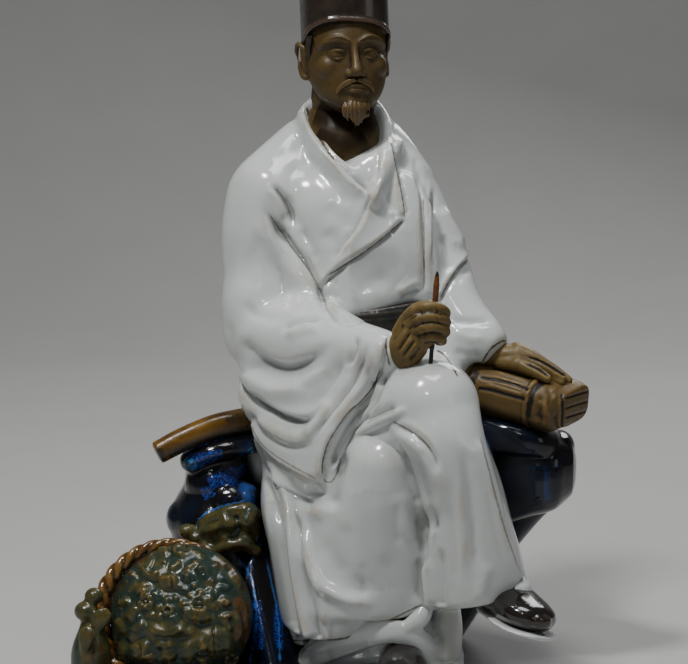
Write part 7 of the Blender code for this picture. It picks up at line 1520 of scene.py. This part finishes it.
SPRAY_WASH = [([(204, 522), (216, 512), (234, 506), (252, 505)], 4.5, 0.95), ([(204, 531), (216, 527), (228, 521)], 3.5, 0.95), ([(222, 526), (230, 535), (240, 542)], 3.5, 0.9), ([(252, 512), (250, 524), (246, 538)], 5, 0.9),
              ([(212, 552), (226, 547), (242, 545), (256, 549)], 4, 0.95), ([(186, 530), (197, 538)], 4, 0.9), ([(84, 612), (96, 598)], 7, 0.6), ([(84, 640), (86, 664)], 5, 0.6), ([(100, 620), (98, 640)], 3, 0.8)]
SPRAY_BROWN = [([(240, 545), (250, 550), (258, 552)], 4.5, 0.9), ([(222, 507), (240, 504), (254, 507)], 3, 0.5), ([(92, 626), (93, 664)], 2.5, 0.8), ([(100, 640), (101, 664)], 2.5, 0.8), ([(186, 528), (192, 536)], 4, 0.5)]


def heap_clay():
    c = Clay()
    levels = [(BM(HEAP_X, HEAP_Z, -8), MX * 27, MZ * 27)]
    for r in (0.985, 0.93, 0.82, 0.66, 0.46, 0.24):
        levels.append((BM(HEAP_X, HEAP_Z, HEAP_H * (1 - r * r) ** 0.5), MX * HEAP_R * r, MZ * HEAP_R * r))
    c.loft(levels, steps=3, segs=48, cap=(0.2, 0.15), name="heap")
    return c


def carve_heap(skin):
    tool = Tool(skin)
    for points, width, height in HEAP_STROKES:
        tool.fold(points, width * 1.3, height * 0.8, (0.3, 0.3))
    tool.look()
    for centre, r, height in HEAP_BUMPS:
        tool.bump(centre[0], centre[1], (r * 1.15, r * 1.15), height * 0.9)
    tool.look()
    for points, width, height in HEAP_VEINS:
        tool.fold(points, width, height, (0.2, 0.2))
    skin.smooth(2)


# painted shade: the neck dark under the chin
HEAD_PAINTED_SHADE = [([(316, 112), (345, 122), (376, 116)], 17, 0.95), ([(318, 132), (345, 142), (364, 134)], 15, 0.8)]


def carve_hand(skin):
    tool = Tool(skin)
    for points in ([(524, 355.5), (540, 361), (553, 368), (567, 377)], [(522, 361.5), (538, 369), (549, 376.5)]):
        tool.fold(points, 1.5, -0.9, (0.3, 0.1))


def carve_grip(skin):
    tool = Tool(skin)
    for points in ([(394, 352), (401, 340), (408, 328), (412, 321)], [(398, 356), (406, 345), (413, 336)], [(403, 359), (411, 350), (418, 342)]):
        tool.fold(points, 2.6, 0.55)
    for points in ([(397, 353), (404, 342), (411, 331)], [(401, 358), (409, 348), (416, 339)], [(391, 343), (398, 334), (405, 322)], [(408, 362), (416, 354), (422, 345)]):
        tool.fold(points, 1.8, -0.5)
    for points in ([(419, 308), (421, 312), (421, 316)], [(421, 318), (423, 322), (423, 326)], [(423, 328), (425, 332), (425, 336)], [(435, 306), (437, 310), (437, 315)], [(436, 317), (438, 321), (438, 325)]):
        tool.fold(points, 1.1, -0.22)


def carve_books(skin):
    tool = Tool(skin)
    for points, width, value in BOOK_LINES[:6]:
        tool.fold(points, width * 1.4, -0.6, (0.1, 0.1))
    for k in range(5):  # slats between the drawn lines
        tool.fold([(482 + 3 * k, 383 - 4.5 * k), (528 + k, 396 - 4.5 * k)], 1.6, 0.35)
    tool.fold([(561.5, 393), (562.5, 410), (561.5, 430)], 1.0, -0.7, (0.1, 0.1))
    for v in (394, 404, 413.5, 422):  # the volumes, one on another
        tool.fold([(564, v + 5), (576, v + 1), (589, v - 3)], 1.1, -0.55, (0.1, 0.01))
    for points in ([(536, 392), (541, 402), (540, 414), (546, 424)], [(546, 386), (551, 396), (549, 408), (553, 420)], [(534, 412), (540, 420), (541, 430)]):
        tool.fold(points, 3.4, -0.6)
    for points in ([(538, 400), (546, 408), (552, 420)], [(553, 392), (556, 404), (554, 418)]):
        tool.fold(points, 3.6, 0.6)




def build_robe():
    skin = pressed(robe_clay(), 0.95).smooth(26, hold=False)
    carve_robe(skin)
    skin.smooth(3)
    skin = refined(skin, 190000)
    skin.smooth(2)
    marked(skin, BROWN_LINES, ROBE_TINT_AND_SHADE, ROBE_PAINTED_SHADE)
    return place("robe", skin, white_glaze())


def marked(skin, lines=(), wash_and_shade=(), frost_and_shade=()):
    """Sets down the drawn lines and the soft washes of colour that the glazes show; some washes are painted shade."""
    n = len(skin.p)
    tool = Tool(skin)
    skin.attr["line"], skin.attr["line_at"] = np.zeros(n), np.full(n, 12.0)
    skin.attr["wash_and_shade"], skin.attr["frost_and_shade"] = np.zeros(n), np.zeros(n)
    for points, width, value in lines:
        tool.draw(points, width, value)
    for key, rows in (("wash_and_shade", wash_and_shade), ("frost_and_shade", frost_and_shade)):
        for points, width, value in rows:
            tool.paint(key, points, width, value, (0.001, 0.001))


def simple(name, clay, voxel, smooth, material, faces=120000, hold=True, carve=None, node="figure", lines=(), wash_and_shade=(), frost_and_shade=()):
    skin = pressed(clay, voxel, one=False).smooth(smooth, hold=hold)
    if carve:
        carve(skin)
    skin = refined(skin, faces)
    marked(skin, lines, wash_and_shade, frost_and_shade)
    return place(name, skin, material, node=node)


def build():
    f = 1.0
    build_robe()
    skin_clay = bare_clay()
    head_glaze = bare_clay("head_clay", (0.084, 0.053, 0.016), (0.012, 0.007, 0.004), 0.45)
    simple("head", head_clay(), 0.42 * f, 16, head_glaze, hold=False, wash_and_shade=HEAD_PAINTED_SHADE)
    simple("features", face_detail_clay(Clay()), 0.26 * f, 3, head_glaze, hold=False)
    simple("beard", beard_clay(), 0.30 * f, 1, bare_clay("beard_clay", (0.115, 0.072, 0.026), (0.014, 0.009, 0.005), 0.4))
    simple("cap", hat_clay(), 0.6 * f, 3, dark_glaze("cap_glaze", (0.028, 0.020, 0.015), (0.085, 0.048, 0.030), 0.2))
    simple("hair", hair_clay(), 0.7 * f, 2, bare_clay("hair_clay", (0.016, 0.010, 0.007), (0.005, 0.004, 0.003), 0.4))
    simple("right_hand", right_hand_clay(), 0.42 * f, 4, skin_clay, lines=GRIP_LINES, hold=False, carve=carve_grip)
    simple("left_hand", left_hand_clay(), 0.42 * f, 6, skin_clay, lines=HAND_LINES, hold=False, carve=carve_hand)
    simple("books", books_clay(), 0.5 * f, 2, bare_clay("book_clay", (0.118, 0.073, 0.022), (0.016, 0.009, 0.004), 0.5), carve=carve_books, lines=BOOK_LINES, wash_and_shade=BOOK_PAINTED_SHADE)
    simple("rock", rock_clay(), 1.0 * f, 4, blue_glaze(), lines=ROCK_LINES, wash_and_shade=ROCK_WASH, frost_and_shade=ROCK_FROST)
    simple("bar", bar_clay(), 0.8 * f, 3, amber_glaze(), wash_and_shade=BAR_WASH)
    simple("basket", basket_clay(), 0.7 * f, 3, herb_glaze("basket_glaze", (0.015, 0.008, 0.004), (0.085, 0.036, 0.009), (0.21, 0.105, 0.024)))
    simple("herbs", heap_clay(), 0.55 * f, 6, heap_glaze(), hold=False, carve=carve_heap, wash_and_shade=HEAP_WASH, frost_and_shade=HEAP_BROWN)
    simple("sprays", sprays_clay(), 0.6 * f, 9, heap_glaze("spray_glaze", 1.25, 0.16), hold=False, wash_and_shade=SPRAY_WASH, frost_and_shade=SPRAY_BROWN)
    simple("shoes", shoes_clay(), 0.6 * f, 2, dark_glaze("shoe_glaze", (0.012, 0.010, 0.008), (0.030, 0.020, 0.014), 0.13), wash_and_shade=[([(544, 614), (549, 621)], 2.5, 0.5)])
    simple("soles", soles_clay(), 0.6 * f, 2, white_glaze())
    simple("socks", socks_clay(), 0.6 * f, 2, white_glaze())
    # painted shade on the trousers: a darker, greyer column between the legs and an arc under the hem
    simple("trousers", trouser_clay(), 0.7 * f, 4, white_glaze(), hold=False, wash_and_shade=[([(447, 614), (448, 660)], 15, 0.5)], frost_and_shade=[([(447, 612), (448, 662)], 20, 1.0), ([(330, 662), (370, 650)], 14, 0.6)])
    simple("girdle", belt_clay(), 0.6 * f, 2, dark_glaze("girdle_glaze", (0.012, 0.012, 0.010), (0.045, 0.038, 0.026), 0.38))
    simple("writing_brush", brush_clay(), 0.3 * f, 1, bare_clay("brush_clay", (0.15, 0.052, 0.012), (0.04, 0.016, 0.006), 0.3), node="brush", lines=BRUSH_LINES)


BAR_WASH = [([(154, 451), (164, 461)], 8, 1.0), ([(170, 457), (200, 444), (230, 435), (250, 430)], 7, 0.95), ([(226, 421), (248, 416)], 9, 0.65), ([(170, 437), (190, 428), (214, 418)], 2, 0.4)]


# ---------------------------------------------------------------- floor, light and camera
def studio():
    me = bpy.data.meshes.new("floor")
    profile = [(-2.5, -0.0006), (0.9, -0.0006)] + [(0.9 + 0.7 * math.sin(a), 0.6994 - 0.7 * math.cos(a)) for a in np.linspace(0.12, math.pi / 2, 14)] + [(1.6, 3.2)]
    rows = [(x, y, z) for y, z in profile for x in (-3.5, 3.5)]
    me.from_pydata(rows, [], [[2 * i, 2 * i + 1, 2 * i + 3, 2 * i + 2] for i in range(len(profile) - 1)])
    me.shade_smooth()
    floor = bpy.data.objects.new("floor", me)
    bpy.context.scene.collection.objects.link(floor)
    k = Nodes("floor_paper", (0.50, 0.50, 0.49), 0.75)
    k.set("Base Color", k.ramp(k.noise(14, 4), (0.35, (0.445, 0.442, 0.434)), (0.65, (0.460, 0.457, 0.449))))
    me.materials.append(k.m)
    world = bpy.data.worlds.new("studio")
    bpy.context.scene.world = world
    world.use_nodes = True
    bg = world.node_tree.nodes["Background"]
    bg.inputs["Color"].default_value = (0.80, 0.84, 0.90, 1)
    bg.inputs["Strength"].default_value = 0.085

    def lamp(name, at, aim, watts, size, colour=(1, 1, 1), tall=None):
        data = bpy.data.lights.new(name, "AREA")
        data.energy, data.size, data.color = watts, size, colour
        if tall:
            data.shape, data.size_y = "RECTANGLE", tall
        ob = bpy.data.objects.new(name, data)
        ob.location = at
        ob.rotation_mode = "QUATERNION"
        ob.rotation_quaternion = (Vector(aim) - Vector(at)).to_track_quat("-Z", "Y")
        bpy.context.scene.collection.objects.link(ob)

    lamp("key", (-0.38, -0.42, 1.16), (0, 0, 0.17), 9.2, 0.16, (1.0, 0.99, 0.97))
    lamp("top", (0.12, -0.10, 1.20), (0, 0, 0.15), 5.6, 0.45)
    lamp("fill", (0.90, -0.75, 0.50), (0, 0, 0.14), 0.5, 0.4, (0.95, 0.97, 1.0))
    lamp("glint", (-0.20, -0.95, 0.95), (0, 0, 0.15), 0.9, 0.05)
    lamp("back", (0.35, 0.95, 0.80), (0, 0, 0.15), 4.0, 0.5)

    cam = bpy.data.cameras.new("camera")
    ob = bpy.data.objects.new("camera", cam)
    bpy.context.scene.collection.objects.link(ob)
    cam.sensor_width = 36.0
    cam.lens = 36.0 * FOCAL / 688.0
    cam.clip_start = 0.05
    ob.location = (Vector(EYE) + SHIFT) / 1000
    ob.rotation_mode = "QUATERNION"
    ob.rotation_quaternion = Vector(FWD).to_track_quat("-Z", "Y")
    bpy.context.scene.camera = ob


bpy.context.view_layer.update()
build()
studio()
